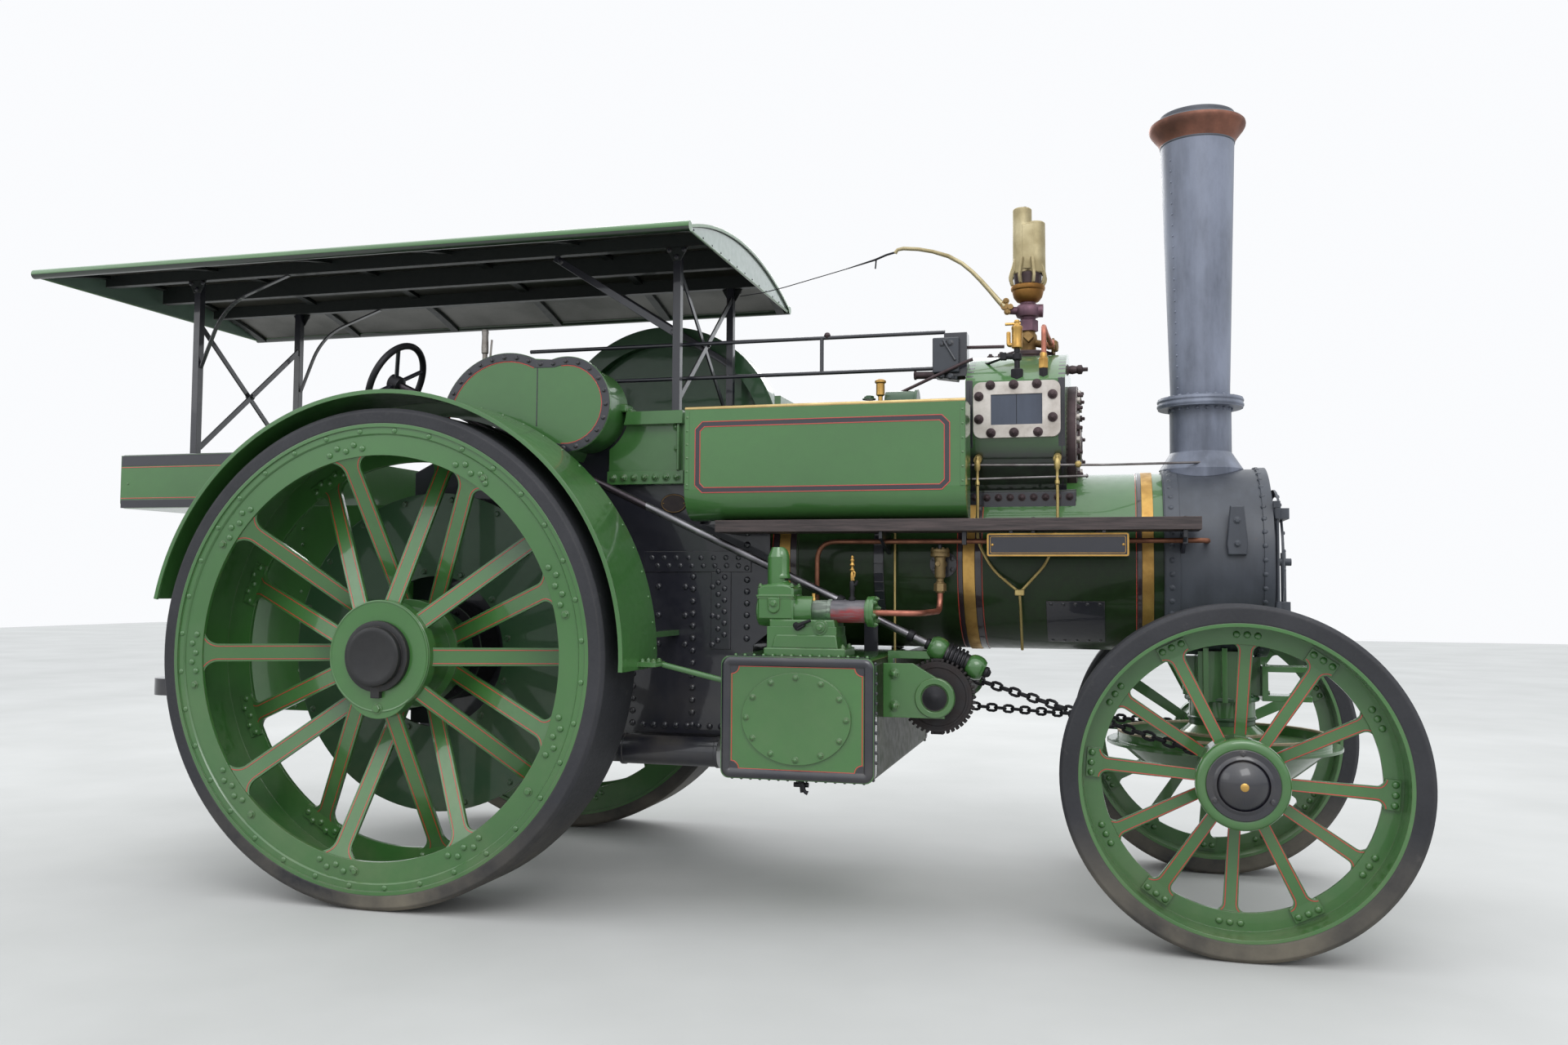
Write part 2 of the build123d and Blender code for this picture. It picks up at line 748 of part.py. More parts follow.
def smokebox_door():
    """Domed smokebox door with its hinge straps and handles."""
    face = smokebox_front_x + 1.0
    front = face + door_wall
    crown = front + door_rise
    edge = ThreePointArc((front, door_radius), ((front + 3.0 * crown) / 4.0, door_radius / 2.0), (crown, 0))
    rim = Polyline((crown, 0), (face, 0), (face, door_radius), (front, door_radius))
    door = Pos(0, 0, boiler_z) * revolve(make_face([edge, rim]), Axis.X)
    tip = crown + door_handle_reach
    door += drum_x(0, boiler_z, 16.0, front, tip)
    grip = tip - door_handle_inset
    door += bar((grip, 0, boiler_z - 180.0), (grip, 0, boiler_z + 40.0), 11.0)
    x = door_hinge_x()
    for side in (-1.0, 1.0):
        z = boiler_z + side * door_hinge_height
        door += block(x, crown + 6.0, -door_hinge_offset, -60.0, z - 22.0, z + 22.0)
        door += drum_z(x, -door_hinge_offset, door_hinge_radius, z - 22.0, z + 22.0)
    pin = drum_z(x, -door_hinge_offset, door_pin_radius + running_gap, boiler_z - door_radius,
                 boiler_z + door_radius)
    return door - pin


def door_hinges():
    """Hinge pin and its lugs on the smokebox front."""
    x = door_hinge_x()
    half_pin = door_hinge_height + 52.0
    lugs = drum_z(x, -door_hinge_offset, door_pin_radius, boiler_z - half_pin, boiler_z + half_pin)
    for side in (-1.0, 1.0):
        z = boiler_z + side * (door_hinge_height + 37.0)
        lugs += block(smokebox_front_x, x, -door_hinge_offset - 12.0, -door_hinge_offset + 12.0,
                      z - 14.0, z + 14.0)
        lugs += drum_z(x, -door_hinge_offset, door_hinge_radius - 1.0, z - 14.0, z + 14.0)
    return lugs


def chimney_radius(z):
    """Outside radius of the tapered chimney at one height."""
    low = chimney_joint_z + chimney_joint_height
    share = (z - low) / (cap_start_z - low)
    return chimney_low_radius + share * (chimney_top_radius - chimney_low_radius)


def chimney():
    """Saddle, foot and tapered chimney, open down the middle."""
    saddle_z = boiler_z + smokebox_radius - saddle_edge
    wall = chimney_wall
    joint_top = chimney_joint_z + chimney_joint_height
    stack = turned_z(chimney_x, 0, [
        (chimney_foot_radius - wall, saddle_z - 60.0), (saddle_radius, saddle_z - 60.0),
        (saddle_radius, saddle_z + saddle_edge), (chimney_foot_radius, saddle_z + saddle_height),
        (chimney_foot_radius, chimney_joint_z), (chimney_joint_radius, chimney_joint_z),
        (chimney_joint_radius, joint_top), (chimney_low_radius, joint_top),
        (chimney_top_radius, cap_start_z), (chimney_top_radius - wall, cap_start_z),
        (chimney_low_radius - wall, joint_top), (chimney_low_radius - wall, chimney_joint_z)])
    seat = drum_x(0, boiler_z, smokebox_radius + seat_gap, smokebox_back_x - saddle_radius,
                  smokebox_front_x)
    return stack - seat


def chimney_cap():
    """Flared cap on the chimney, dark with a copper lip."""
    wall = chimney_wall
    return turned_z(chimney_x, 0, [
        (chimney_top_radius - wall, cap_start_z), (chimney_top_radius, cap_start_z),
        (chimney_top_radius + 12.0, cap_start_z + 38.0), (cap_radius, cap_wide_z - 20.0),
        (cap_radius, cap_wide_z + 12.0), (cap_mouth_radius, cap_top_z - 20.0),
        (cap_mouth_radius, cap_top_z), (cap_mouth_radius - wall, cap_top_z),
        (cap_mouth_radius - wall, cap_wide_z)])


# Crankshaft, flywheel and motion
def crankshaft():
    """Crankshaft with one throw, its pin towards the cylinder."""
    web_out = crank_web_gap / 2.0 + crank_web_wall
    pin_x = crank_x + crank_throw
    right = drum_y(crank_x, crank_z, crank_radius, -horn_outer_y, -web_out)
    left = drum_y(crank_x, crank_z, crank_radius, web_out, crank_end_y)
    pin = drum_y(pin_x, crank_z, crank_radius, -web_out, web_out)
    shaft = right + left + pin
    for side in (-1.0, 1.0):
        middle = side * (web_out - crank_web_wall / 2.0)
        y0 = middle - crank_web_wall / 2.0
        y1 = middle + crank_web_wall / 2.0
        shaft += block(crank_x - crank_throw, pin_x, y0, y1, crank_z - crank_web_half_width,
                       crank_z + crank_web_half_width)
        shaft += drum_y(pin_x, crank_z, crank_web_half_width, y0, y1)
    return shaft


def flywheel():
    """Solid-disc flywheel on the left end of the crankshaft."""
    y0 = flywheel_inner_y
    y1 = flywheel_inner_y + flywheel_width
    middle = (y0 + y1) / 2.0
    half = flywheel_disc_wall / 2.0
    inner = flywheel_radius - flywheel_rim_depth
    wheel = turned_y([
        (0, y0), (flywheel_hub_radius, y0), (flywheel_hub_radius, middle - half),
        (inner, middle - half), (inner, y0), (flywheel_radius, y0), (flywheel_radius, y1),
        (inner, y1), (inner, middle + half), (flywheel_hub_radius, middle + half),
        (flywheel_hub_radius, y1), (0, y1)])
    bore = drum_y(0, 0, crank_radius, y0 - 1.0, y1 + 1.0)
    return Pos(crank_x, 0, crank_z) * (wheel - bore)


def slide_bars():
    """Two slide bars from the cylinder to a bracket over the boiler."""
    bars = None
    for side in (-1.0, 1.0):
        z = crank_z + side * slide_bar_spread
        z0 = z - slide_bar_size / 2.0
        z1 = z + slide_bar_size / 2.0
        strip = block(slide_bar_back_x, cylinder_back_x, -slide_bar_size, slide_bar_size, z0, z1)
        bars = strip if bars is None else bars + strip
    return bars


def motion_bracket():
    """Bracket on the boiler that carries the back ends of the slide bars."""
    x0 = slide_bar_back_x
    x1 = slide_bar_back_x + 30.0
    plate = block(x0, x1, -200.0, 200.0, boiler_z + boiler_radius - 60.0,
                  crank_z + slide_bar_spread + slide_bar_size)
    window = block(x0 - 1.0, x1 + 1.0, -90.0, 90.0, crank_z - slide_bar_spread + slide_bar_size / 2.0,
                   crank_z + slide_bar_spread - slide_bar_size / 2.0)
    seats = slide_bars()
    barrel = drum_x(0, boiler_z, boiler_radius + seat_gap, firebox_front_x, smokebox_back_x)
    return plate - window - seats - barrel


def crosshead():
    """Crosshead with the piston rod and the connecting rod, at the end of its stroke."""
    half = crosshead_length / 2.0
    gap = slide_bar_spread - slide_bar_size / 2.0 - seat_gap
    body = block(crosshead_x - half, crosshead_x + half, -slide_bar_size, slide_bar_size,
                 crank_z - gap, crank_z + gap)
    piston = drum_x(0, crank_z, piston_rod_radius, crosshead_x, cylinder_back_x)
    big_back = crank_x + crank_throw + crank_web_half_width + swing_gap
    rod = block(big_back, crosshead_x, -rod_wall / 2.0, rod_wall / 2.0, crank_z - rod_half_height,
                crank_z + rod_half_height)
    big = block(big_back, big_back + big_end_length, -crank_web_gap / 2.0 + swing_gap,
                crank_web_gap / 2.0 - swing_gap, crank_z - big_end_half_height,
                crank_z + big_end_half_height)
    return body + piston + rod + big


# Cylinder
def cylinder_block():
    """Cylinder casting with a lagged round top, a round belly and a flanged foot on the boiler."""
    w = cylinder_half_width
    foot = cylinder_foot_half_width
    belly_z = (cylinder_foot_top_z + chest_low_z) / 2.0
    belly = (w + foot) / 2.0 + cylinder_belly
    crown = ThreePointArc((-w, cylinder_shoulder_z), (0, cylinder_top_z), (w, cylinder_shoulder_z))
    right = Line((w, cylinder_shoulder_z), (w, chest_low_z))
    right_belly = ThreePointArc((w, chest_low_z), (belly, belly_z), (foot, cylinder_foot_top_z))
    under = Line((foot, cylinder_foot_top_z), (-foot, cylinder_foot_top_z))
    left_belly = ThreePointArc((-foot, cylinder_foot_top_z), (-belly, belly_z), (-w, chest_low_z))
    left = Line((-w, chest_low_z), (-w, cylinder_shoulder_z))
    outline = make_face([crown, right, right_belly, under, left_belly, left])
    body = plate_yz(outline, cylinder_back_x, cylinder_front_x)
    barrel = drum_x(0, boiler_z, boiler_radius + band_height + seat_gap, firebox_front_x,
                    smokebox_back_x)
    return body + cylinder_foot() - barrel


def cylinder_foot():
    """Flanged foot between the cylinder and the boiler, before the boiler is cut out of it."""
    return block(cylinder_back_x, cylinder_front_x + cylinder_foot_reach, -cylinder_foot_half_width,
                 cylinder_foot_half_width, cylinder_foot_top_z - cylinder_foot_depth, cylinder_foot_top_z)


def cylinder_covers():
    """Round front cover and the bare steel valve chest covers on both sides of the cylinder."""
    return end_cover() + chest_covers()


def end_cover():
    """Round cover bolted on the front of the cylinder, over its foot."""
    front = cylinder_front_x + end_cover_wall
    cover = drum_x(0, end_cover_z, end_cover_radius, cylinder_front_x, front)
    cover += drum_x(0, end_cover_z, end_boss_radius, front, front + end_boss_wall)
    for index in range(end_studs):
        angle = radians(index * 360.0 / end_studs)
        reach = end_cover_radius - end_stud_inset
        z = end_cover_z + reach * sin(angle)
        if z > cylinder_foot_top_z + end_stud_inset:
            cover += drum_x(reach * cos(angle), z, end_stud_radius, front, front + end_boss_wall)
    barrel = drum_x(0, boiler_z, boiler_radius + band_height + seat_gap, firebox_front_x,
                    smokebox_back_x)
    return cover - cylinder_foot() - barrel


def chest_covers():
    """Bare steel valve chest covers on both sides of the cylinder."""
    middle_x = (chest_back_x + chest_front_x) / 2.0
    middle_z = (chest_low_z + chest_top_z) / 2.0
    outline = Pos(middle_x, middle_z) * RectangleRounded(chest_front_x - chest_back_x,
                                                         chest_top_z - chest_low_z, chest_edge)
    inset = Pos(middle_x, middle_z) * Rectangle(chest_front_x - chest_back_x - 2 * chest_inset_border[0],
                                                chest_top_z - chest_low_z - 2 * chest_inset_border[1])
    y_in = -cylinder_half_width
    pocket = plate_xz(inset, y_in - chest_wall, y_in - chest_wall + chest_inset_depth)
    cover = plate_xz(outline, y_in - chest_wall, y_in) - pocket
    return cover + to_left(cover)


def safety_valve():
    """Valve stack on the cylinder with two whistle tubes on its bell, and the whistle's lever."""
    top = cylinder_top_z
    last = valve_profile[-1][1]
    rows = [(radius, top + height) for radius, height in valve_profile]
    stack = turned_z(valve_x, 0, [(0, top)] + rows + [(0, top + last)])
    for offset, radius, height in whistle_tubes:
        stack += drum_z(valve_x + offset, 0, radius, top + last - whistle_tube_sink, top + height)
    route = [(valve_x - back, whistle_lever_y, top + height) for back, height in whistle_lever]
    return stack + tube(route, [whistle_lever_bend] * (len(route) - 2), whistle_lever_radius)


# Side covers, boards and nameboards
def side_cover(back_x):
    """Bent side sheet with closed ends, rounded along its lower edge."""
    inner = horn_outer_y + 60.0
    corner = cover_corner_share * (cover_outer_y - inner)
    outline = polygon((-inner, cover_low_z), (-cover_outer_y, cover_low_z),
                      (-cover_outer_y, cover_top_z), (-inner, cover_top_z))
    body = plate_yz(outline, back_x, cover_front_x)
    lower = body.edges().filter_by(Axis.X).sort_by(lambda edge: edge.center().Y + edge.center().Z)[0]
    body = fillet(lower, corner)
    well = block(back_x + cover_wall, cover_front_x - cover_wall, -cover_outer_y + cover_wall,
                 -inner - cover_wall, cover_low_z + corner, cover_top_z + 1.0)
    arm_low = cover_top_z - 150.0
    front_arm = block(cylinder_back_x - 40.0, cylinder_back_x, -inner, -cylinder_half_width + 60.0,
                      arm_low, arm_low + 60.0)
    back_arm = block(back_x, back_x + 40.0, -inner, -horn_outer_y, arm_low, arm_low + 60.0)
    return body - well + front_arm + back_arm


def running_board():
    """Plank along the boiler on angle brackets."""
    board = block(board_back_x, board_front_x, -board_outer_y, -board_inner_y,
                  board_top_z - board_wall, board_top_z)
    return board + to_left(board)


def board_brackets():
    """Angle brackets between the boiler and the running boards."""
    low = board_top_z - board_wall - bracket_drop
    high = board_top_z - board_wall
    barrel = drum_x(0, boiler_z, boiler_radius + band_height + seat_gap, firebox_front_x,
                    smokebox_back_x)
    front = drum_x(0, boiler_z, smokebox_radius + seat_gap, smokebox_back_x, smokebox_front_x)
    right = None
    for place in bracket_places:
        outline = polygon((-board_outer_y + 40.0, high), (-board_outer_y + 40.0, high - 30.0),
                          (-boiler_radius + 60.0, low), (-boiler_radius + 60.0, high))
        arm = plate_yz(outline, place, place + bracket_wall) - barrel - front
        right = arm if right is None else right + arm
    notch = drum_x(high_pipe_y, high_pipe_z, high_pipe_radius + seat_gap, board_back_x, board_front_x)
    return (right - notch) + to_left(right)


def nameboard():
    """Blank nameboard hung below the running board."""
    y = -board_outer_y + plate_inset
    board = block(plate_back_x, plate_front_x, y - plate_wall, y, plate_low_z, plate_top_z)
    for place in (plate_back_x + 90.0, plate_front_x - 104.0):
        board += block(place, place + bracket_wall, y - plate_wall, y, plate_top_z,
                       board_top_z - board_wall)
    return board + to_left(board)


# Tank, pump and pipes
def belly_tank():
    """Cross tank under the boiler with rounded long edges and a bolted cover."""
    body = block(tank_back_x, tank_front_x, tank_right_y, tank_left_y, tank_low_z, tank_top_z)
    body = fillet(body.edges().filter_by(Axis.Y), tank_edge)
    middle_x = (tank_back_x + tank_front_x) / 2.0
    middle_z = (tank_low_z + tank_top_z) / 2.0
    face = Plane(origin=(middle_x, tank_right_y, middle_z), x_dir=(1, 0, 0), z_dir=(0, -1, 0))
    hatch = extrude(face * Ellipse(*hatch_half), hatch_wall)
    return body + hatch


def tank_hangers():
    """Straps that hang the cross tank from the boiler."""
    barrel = drum_x(0, boiler_z, boiler_radius + band_height + seat_gap, firebox_front_x,
                    smokebox_back_x)
    right = None
    for place in (tank_back_x + 90.0, tank_front_x - 150.0):
        strap = block(place, place + 60.0, -boiler_radius + 40.0, -boiler_radius + 60.0, tank_top_z,
                      boiler_z) - barrel
        right = strap if right is None else right + strap
    return right + to_left(right)


def feed_pump():
    """Feed pump on the tank with its barrel and air vessel."""
    base_top = tank_top_z + pump_base_height
    half = pump_base_width / 2.0
    body_z = base_top + pump_body_radius
    pump = block(pump_base_back_x, pump_base_front_x, pump_y - half, pump_y + half, tank_top_z,
                 base_top)
    pump += drum_x(pump_y, body_z, pump_body_radius, pump_back_x, pump_back_x + 230.0)
    pump += drum_x(pump_y, body_z, pump_barrel_radius, pump_back_x + 230.0, pump_front_x)
    pump += drum_x(pump_y, body_z, pump_body_radius, pump_front_x - 30.0, pump_front_x)
    vessel = turned_z(pump_vessel_x, pump_y, [
        (0, body_z), (34.0, body_z), (34.0, body_z + 90.0), (pump_vessel_radius + 12.0, body_z + 90.0),
        (pump_vessel_radius + 12.0, body_z + 105.0), (pump_vessel_radius, body_z + 105.0),
        (pump_vessel_radius, pump_vessel_top_z - 40.0), (pump_vessel_radius * 0.6, pump_vessel_top_z),
        (0, pump_vessel_top_z)])
    return pump + vessel


def tube(points, radii, radius):
    """A round pipe through points with rounded corners."""
    path = FilletPolyline(*points, radius=radii)
    section = Plane(origin=path @ 0, z_dir=path % 0) * Circle(radius)
    return sweep(section, path=path)


def feed_pipe():
    """Feed pipe from the pump to the clack valve on the boiler, and the long pipe under the board."""
    body_z = tank_top_z + pump_base_height + pump_body_radius
    middle_x = (pump_front_x + clack_x) / 2.0
    route = [(pump_front_x, pump_y, body_z), (middle_x, pump_y, body_z),
             (clack_x, clack_y, body_z + pipe_bend), (clack_x, clack_y, clack_low_z + pipe_radius)]
    feed = tube(route, [pipe_bend, pipe_bend / 2.0], pipe_radius)
    rows = [(radius, clack_low_z + height) for radius, height in clack_profile]
    valve = turned_z(clack_x, clack_y, [(0, rows[0][1])] + rows + [(0, rows[-1][1])])
    boss = drum_y(clack_x, clack_low_z + clack_boss_height, clack_boss_radius, clack_y, -boiler_radius / 2.0)
    barrel = drum_x(0, boiler_z, boiler_radius + seat_gap, firebox_front_x, smokebox_back_x)
    smoke = drum_x(0, boiler_z, smokebox_radius + seat_gap, smokebox_back_x, smokebox_front_x)
    long_route = [(high_pipe_x, high_pipe_y, tank_top_z), (high_pipe_x, high_pipe_y, high_pipe_z),
                  (high_pipe_end_x, high_pipe_y, high_pipe_z),
                  (high_pipe_end_x, -boiler_radius / 2.0, high_pipe_z)]
    long_pipe = tube(long_route, [high_pipe_bend, pipe_bend], high_pipe_radius)
    return feed + valve + (boss - barrel) + (long_pipe - smoke)


# Tender, footplate and drawbar
def tender():
    """Tender with its open coal bunker, rear locker, tank and footplate side sheets."""
    w = tender_half_width
    t = tender_wall
    bunker = block(tender_back_x, bunker_front_x, -w, w, tender_shelf_z, tender_top_z)
    bunker = fillet(bunker.edges().filter_by(Axis.X).group_by(Axis.Z)[0], tender_edge)
    lower = block(tender_waist_x, bunker_front_x, -w, w, tender_low_z, tender_shelf_z)
    sheets = block(bunker_front_x, horn_back_x, -w, w, tender_low_z, tender_shelf_z)
    body = bunker + lower + sheets
    for side in (-1.0, 1.0):
        body += drum_x(side * (w - tender_coping), tender_top_z - tender_coping, tender_coping, tender_back_x,
                       bunker_front_x)
    coal = block(locker_front_x + t, bunker_front_x - t, -w + t, w - t, tender_shelf_z + t,
                 tender_top_z + 1.0)
    deep = block(tender_waist_x + t, bunker_front_x - t, -w + t, w - t, floor_top_z + well_rise,
                 tender_top_z + 1.0)
    stand = block(bunker_front_x, horn_back_x + 1.0, -w + t, w - t, floor_top_z, tender_top_z + 1.0)
    return body - coal - deep - stand


def drawbar():
    """Heavy drawbar casting behind the tender, with its pin hole."""
    w = drawbar_half_width
    z0 = drawbar_z - drawbar_height / 2.0
    z1 = drawbar_z + drawbar_height / 2.0
    arm = block(drawbar_reach_x + w, tender_waist_x, -w, w, z0, z1)
    nose = drum_z(drawbar_reach_x + w, 0, w, z0, z1)
    plate = block(tender_waist_x - drawbar_plate_wall, tender_waist_x, -drawbar_plate_half,
                  drawbar_plate_half, z0 - drawbar_plate_low, z1 + drawbar_plate_high)
    hole = drum_z(drawbar_reach_x + drawbar_hole_inset, 0, drawbar_hole_radius, z0 - 1.0, z1 + 1.0)
    return arm + nose + plate - hole


# Canopy
def canopy_z(y):
    """Height of the canopy's upper face at one place across."""
    middle = canopy_eave_z + canopy_rise - canopy_arc_radius
    return middle + sqrt(canopy_arc_radius ** 2 - y ** 2)


def canopy_roof():
    """Arched sheet roof with rolled eaves."""
    middle = canopy_eave_z + canopy_rise - canopy_arc_radius
    shell = drum_x(0, middle, canopy_arc_radius, canopy_back_x, canopy_front_x)
    shell -= drum_x(0, middle, canopy_arc_radius - canopy_wall, canopy_back_x, canopy_front_x)
    edge = canopy_half_width - eave_roll_radius
    keep = block(canopy_back_x, canopy_front_x, -edge, edge, canopy_eave_z - 100.0,
                 canopy_eave_z + canopy_rise + 1.0)
    roof = shell & keep
    for side in (-1.0, 1.0):
        roof += drum_x(side * edge, canopy_z(edge) - canopy_wall / 2.0, eave_roll_radius, canopy_back_x,
                       canopy_front_x)
    return roof


def canopy_beams():
    """Three long beams under the roof."""
    under = canopy_eave_z + canopy_rise - canopy_arc_radius
    sheet = drum_x(0, under, canopy_arc_radius - canopy_wall - seat_gap, canopy_back_x, canopy_front_x)
    beams = None
    half = beam_width / 2.0
    for y in (-post_y, 0.0, post_y):
        top = canopy_z(y)
        beam = block(canopy_back_x + 40.0, canopy_front_x - 40.0, y - half, y + half,
                     post_top_z(), top) & sheet
        beams = beam if beams is None else beams + beam
    return beams


def post_top_z():
    """Height of the post tops, under the long beams."""
    return canopy_z(post_y + beam_width / 2.0) - canopy_wall - beam_height


def canopy_posts():
    """Four posts, two on the hornplates and two on the rear locker."""
    half = post_size / 2.0
    posts = None
    for x, foot_z in ((post_front_x, horn_top_z), (post_back_x, tender_top_z)):
        for y in (-post_y, post_y):
            post = block(x - half, x + half, y - half, y + half, foot_z, post_top_z())
            posts = post if posts is None else posts + post
    return posts


def canopy_braces():
    """Crossed flat bars between the posts."""
    half = post_size / 2.0
    braces = None
    for x, low, high in ((post_front_x, horn_top_z + cross_front[0], post_top_z() - cross_front[1]),
                         (post_back_x, tender_top_z + cross_back[0], post_top_z() - cross_back[1])):
        y = post_y - half
        cross = bar((x, -y, low), (x, y, high), brace_radius) + bar((x, y, low), (x, -y, high),
                                                                    brace_radius)
        keep = block(x - half, x + half, -y, y, low - 30.0, high + 30.0)
        cross = cross & keep
        braces = cross if braces is None else braces + cross
    return braces + long_stays()


def long_stays():
    """Curved stays from the rear posts and straight ones from the front posts, up to the long beams."""
    half = post_size / 2.0
    top = post_top_z()
    start_x = post_back_x + half
    front_x = post_front_x - half
    bow = ThreePointArc((start_x, -post_y, brace_low_z),
                        (start_x + brace_bow[0], -post_y, brace_low_z + brace_bow[1]),
                        (start_x + brace_reach, -post_y, top))
    section = Plane(origin=bow @ 0, z_dir=bow % 0) * Circle(brace_radius)
    curved = sweep(section, path=bow)
    straight = bar((post_front_x, -post_y, long_stay_low_z), (front_x - long_stay_reach, -post_y, top + half),
                   long_stay_radius)
    keep = block(start_x, front_x, -post_y - half, -post_y + half, horn_top_z, top)
    right = (curved + straight) & keep
    return right + to_left(right)


# Mudguards
def mudguard():
    """Rolled mudguard over a rear wheel, carried by its inner cheek on struts."""
    outer = guard_radius + guard_wall
    a0 = radians(guard_front_angle)
    a1 = radians(guard_back_angle)
    mid = (a0 + a1) / 2.0

    def band(inner_radius, outer_radius, y0, y1):
        outer_arc = ThreePointArc((outer_radius * cos(a0), outer_radius * sin(a0)),
                                  (outer_radius * cos(mid), outer_radius * sin(mid)),
                                  (outer_radius * cos(a1), outer_radius * sin(a1)))
        inner_arc = ThreePointArc((inner_radius * cos(a1), inner_radius * sin(a1)),
                                  (inner_radius * cos(mid), inner_radius * sin(mid)),
                                  (inner_radius * cos(a0), inner_radius * sin(a0)))
        face = make_face([outer_arc, Line(outer_arc @ 1, inner_arc @ 0), inner_arc,
                          Line(inner_arc @ 1, outer_arc @ 0)])
        return plate_xz(face, y0, y1)

    sheet = band(guard_radius, outer, -guard_outer_y, -guard_inner_y)
    lip = band(guard_radius - guard_lip_depth, outer, -guard_outer_y, -guard_outer_y + guard_lip_wall)
    cheek = band(guard_radius - guard_cheek_depth, outer, -guard_inner_y - guard_wall, -guard_inner_y)
    return Pos(0, 0, rear_axle_z) * (sheet + lip + cheek) + guard_foot()


def guard_foot():
    """Foot on the front end of a mudguard, outside the sheet."""
    return block(guard_radius, guard_radius + guard_foot_reach, guard_foot_y - guard_foot_half_width,
                 guard_foot_y + guard_foot_half_width, rear_axle_z - guard_foot_low,
                 rear_axle_z - guard_foot_low + guard_foot_wall)


def guard_stay():
    """Rod from the right mudguard's foot to the cross tank."""
    start_x = guard_radius + guard_foot_reach
    start_z = rear_axle_z - guard_foot_low + guard_foot_wall / 2.0
    rod = bar((start_x - guard_foot_wall, guard_stay_y, start_z),
              (tank_back_x + guard_foot_wall, guard_stay_y, guard_stay_end_z), guard_stay_radius)
    keep = block(start_x, tank_back_x, tank_right_y, guard_stay_y + guard_foot_half_width, tank_low_z,
                 tank_top_z)
    return rod & keep


def guard_struts():
    """Stays that hold the mudguards to the hornplates and the tender."""
    right = None
    for angle, inner_y in ((strut_front_angle, horn_outer_y), (strut_back_angle, tender_half_width)):
        radius = guard_radius - guard_cheek_depth / 2.0
        x = radius * cos(radians(angle))
        z = rear_axle_z + radius * sin(radians(angle))
        stay = block(x - strut_half[0], x + strut_half[0], -guard_inner_y, -inner_y, z - strut_half[1],
                     z + strut_half[1])
        right = stay if right is None else right + stay
    return right + to_left(right) + guard_stay()


# Gear cover and drive disc
def gear_cover():
    """Closed cover over the gears on the right side, with a flanged face plate."""
    flange_y = -gear_cover_outer_y + gear_flange_wall
    body = plate_xz(gear_outline(0.0), flange_y, -gear_cover_inner_y)
    flange = plate_xz(gear_outline(gear_flange_reach), -gear_cover_outer_y, flange_y)
    return body + flange


def gear_outline(reach):
    """Two round lobes joined by a bridge and cut off above the steering column."""
    big = Pos(gear_big_x, gear_big_z) * Circle(gear_big_radius + reach)
    small = Pos(gear_small_x, gear_small_z) * Circle(gear_small_radius + reach)
    big_top = gear_big_z + gear_big_share * (gear_big_radius + reach)
    small_top = gear_small_z + gear_small_share * (gear_small_radius + reach)
    bridge = polygon((gear_big_x, gear_big_z), (gear_small_x, gear_small_z), (gear_small_x, small_top),
                     (gear_big_x, big_top))
    back = gear_big_x - 2.0 * gear_big_radius
    front = gear_small_x + 2.0 * gear_small_radius
    drop = gear_cover_gap / cos(radians(column_angle))
    low = gear_big_z - 2.0 * gear_big_radius
    below = polygon((back, low), (front, low), (front, column_z(front) + drop), (back, column_z(back) + drop))
    return big + small + bridge - below


def drive_disc():
    """Plain guard disc behind the right rear wheel, open round its dark hub drum."""
    y0 = -disc_inner_y - disc_wall
    disc = drum_y(0, rear_axle_z, disc_radius, y0, -disc_inner_y)
    eye = drum_y(0, rear_axle_z, disc_eye_radius, y0, -disc_inner_y)
    drum = drum_y(0, rear_axle_z, disc_hub_radius, -disc_inner_y, -horn_outer_y)
    bore = drum_y(0, rear_axle_z, rear_axle_radius + seat_gap, y0, 0)
    return (disc - eye) + (drum - bore)


def rear_axle():
    """Rear axle, through both hornplates and into both hubs."""
    return drum_y(0, rear_axle_z, rear_axle_radius, -rear_hub_face_y + 1.0, rear_hub_face_y - 1.0)


# Steering
def column_z(x):
    """Height of the steering column at one place along X."""
    run = radians(column_angle)
    return column_back[1] + (x - column_back[0]) * sin(run) / cos(run)


def along_column(profile):
    """A solid turned about the column from points (radius, distance forward of the worm's middle)."""
    face = make_face(Plane.XZ * Polyline(*profile, close=True))
    middle = Pos(worm_middle_x(), column_y, column_z(worm_middle_x()))
    return middle * Rot(0, 90.0 - column_angle, 0) * revolve(face, Axis.Z)


def worm_middle_x():
    """Place of the worm's middle, square over the worm wheel's centre."""
    run = radians(column_angle)
    over = (column_z(roller_x) - roller_z) * cos(run)
    return roller_x - over * sin(run)


def steering_column():
    """Steering shaft with its threaded worm."""
    shaft = bar((column_back[0], column_y, column_z(column_back[0])),
                (column_front[0], column_y, column_z(column_front[0])), column_radius)
    half = worm_length / 2.0
    step = worm_length / worm_threads
    rows = [(0, -half)]
    for index in range(worm_threads):
        start = -half + index * step
        rows += [(worm_radius, start), (worm_radius, start + step / 2.0),
                 (worm_core_radius, start + step / 2.0), (worm_core_radius, start + step)]
    return shaft + along_column(rows + [(0, half)])


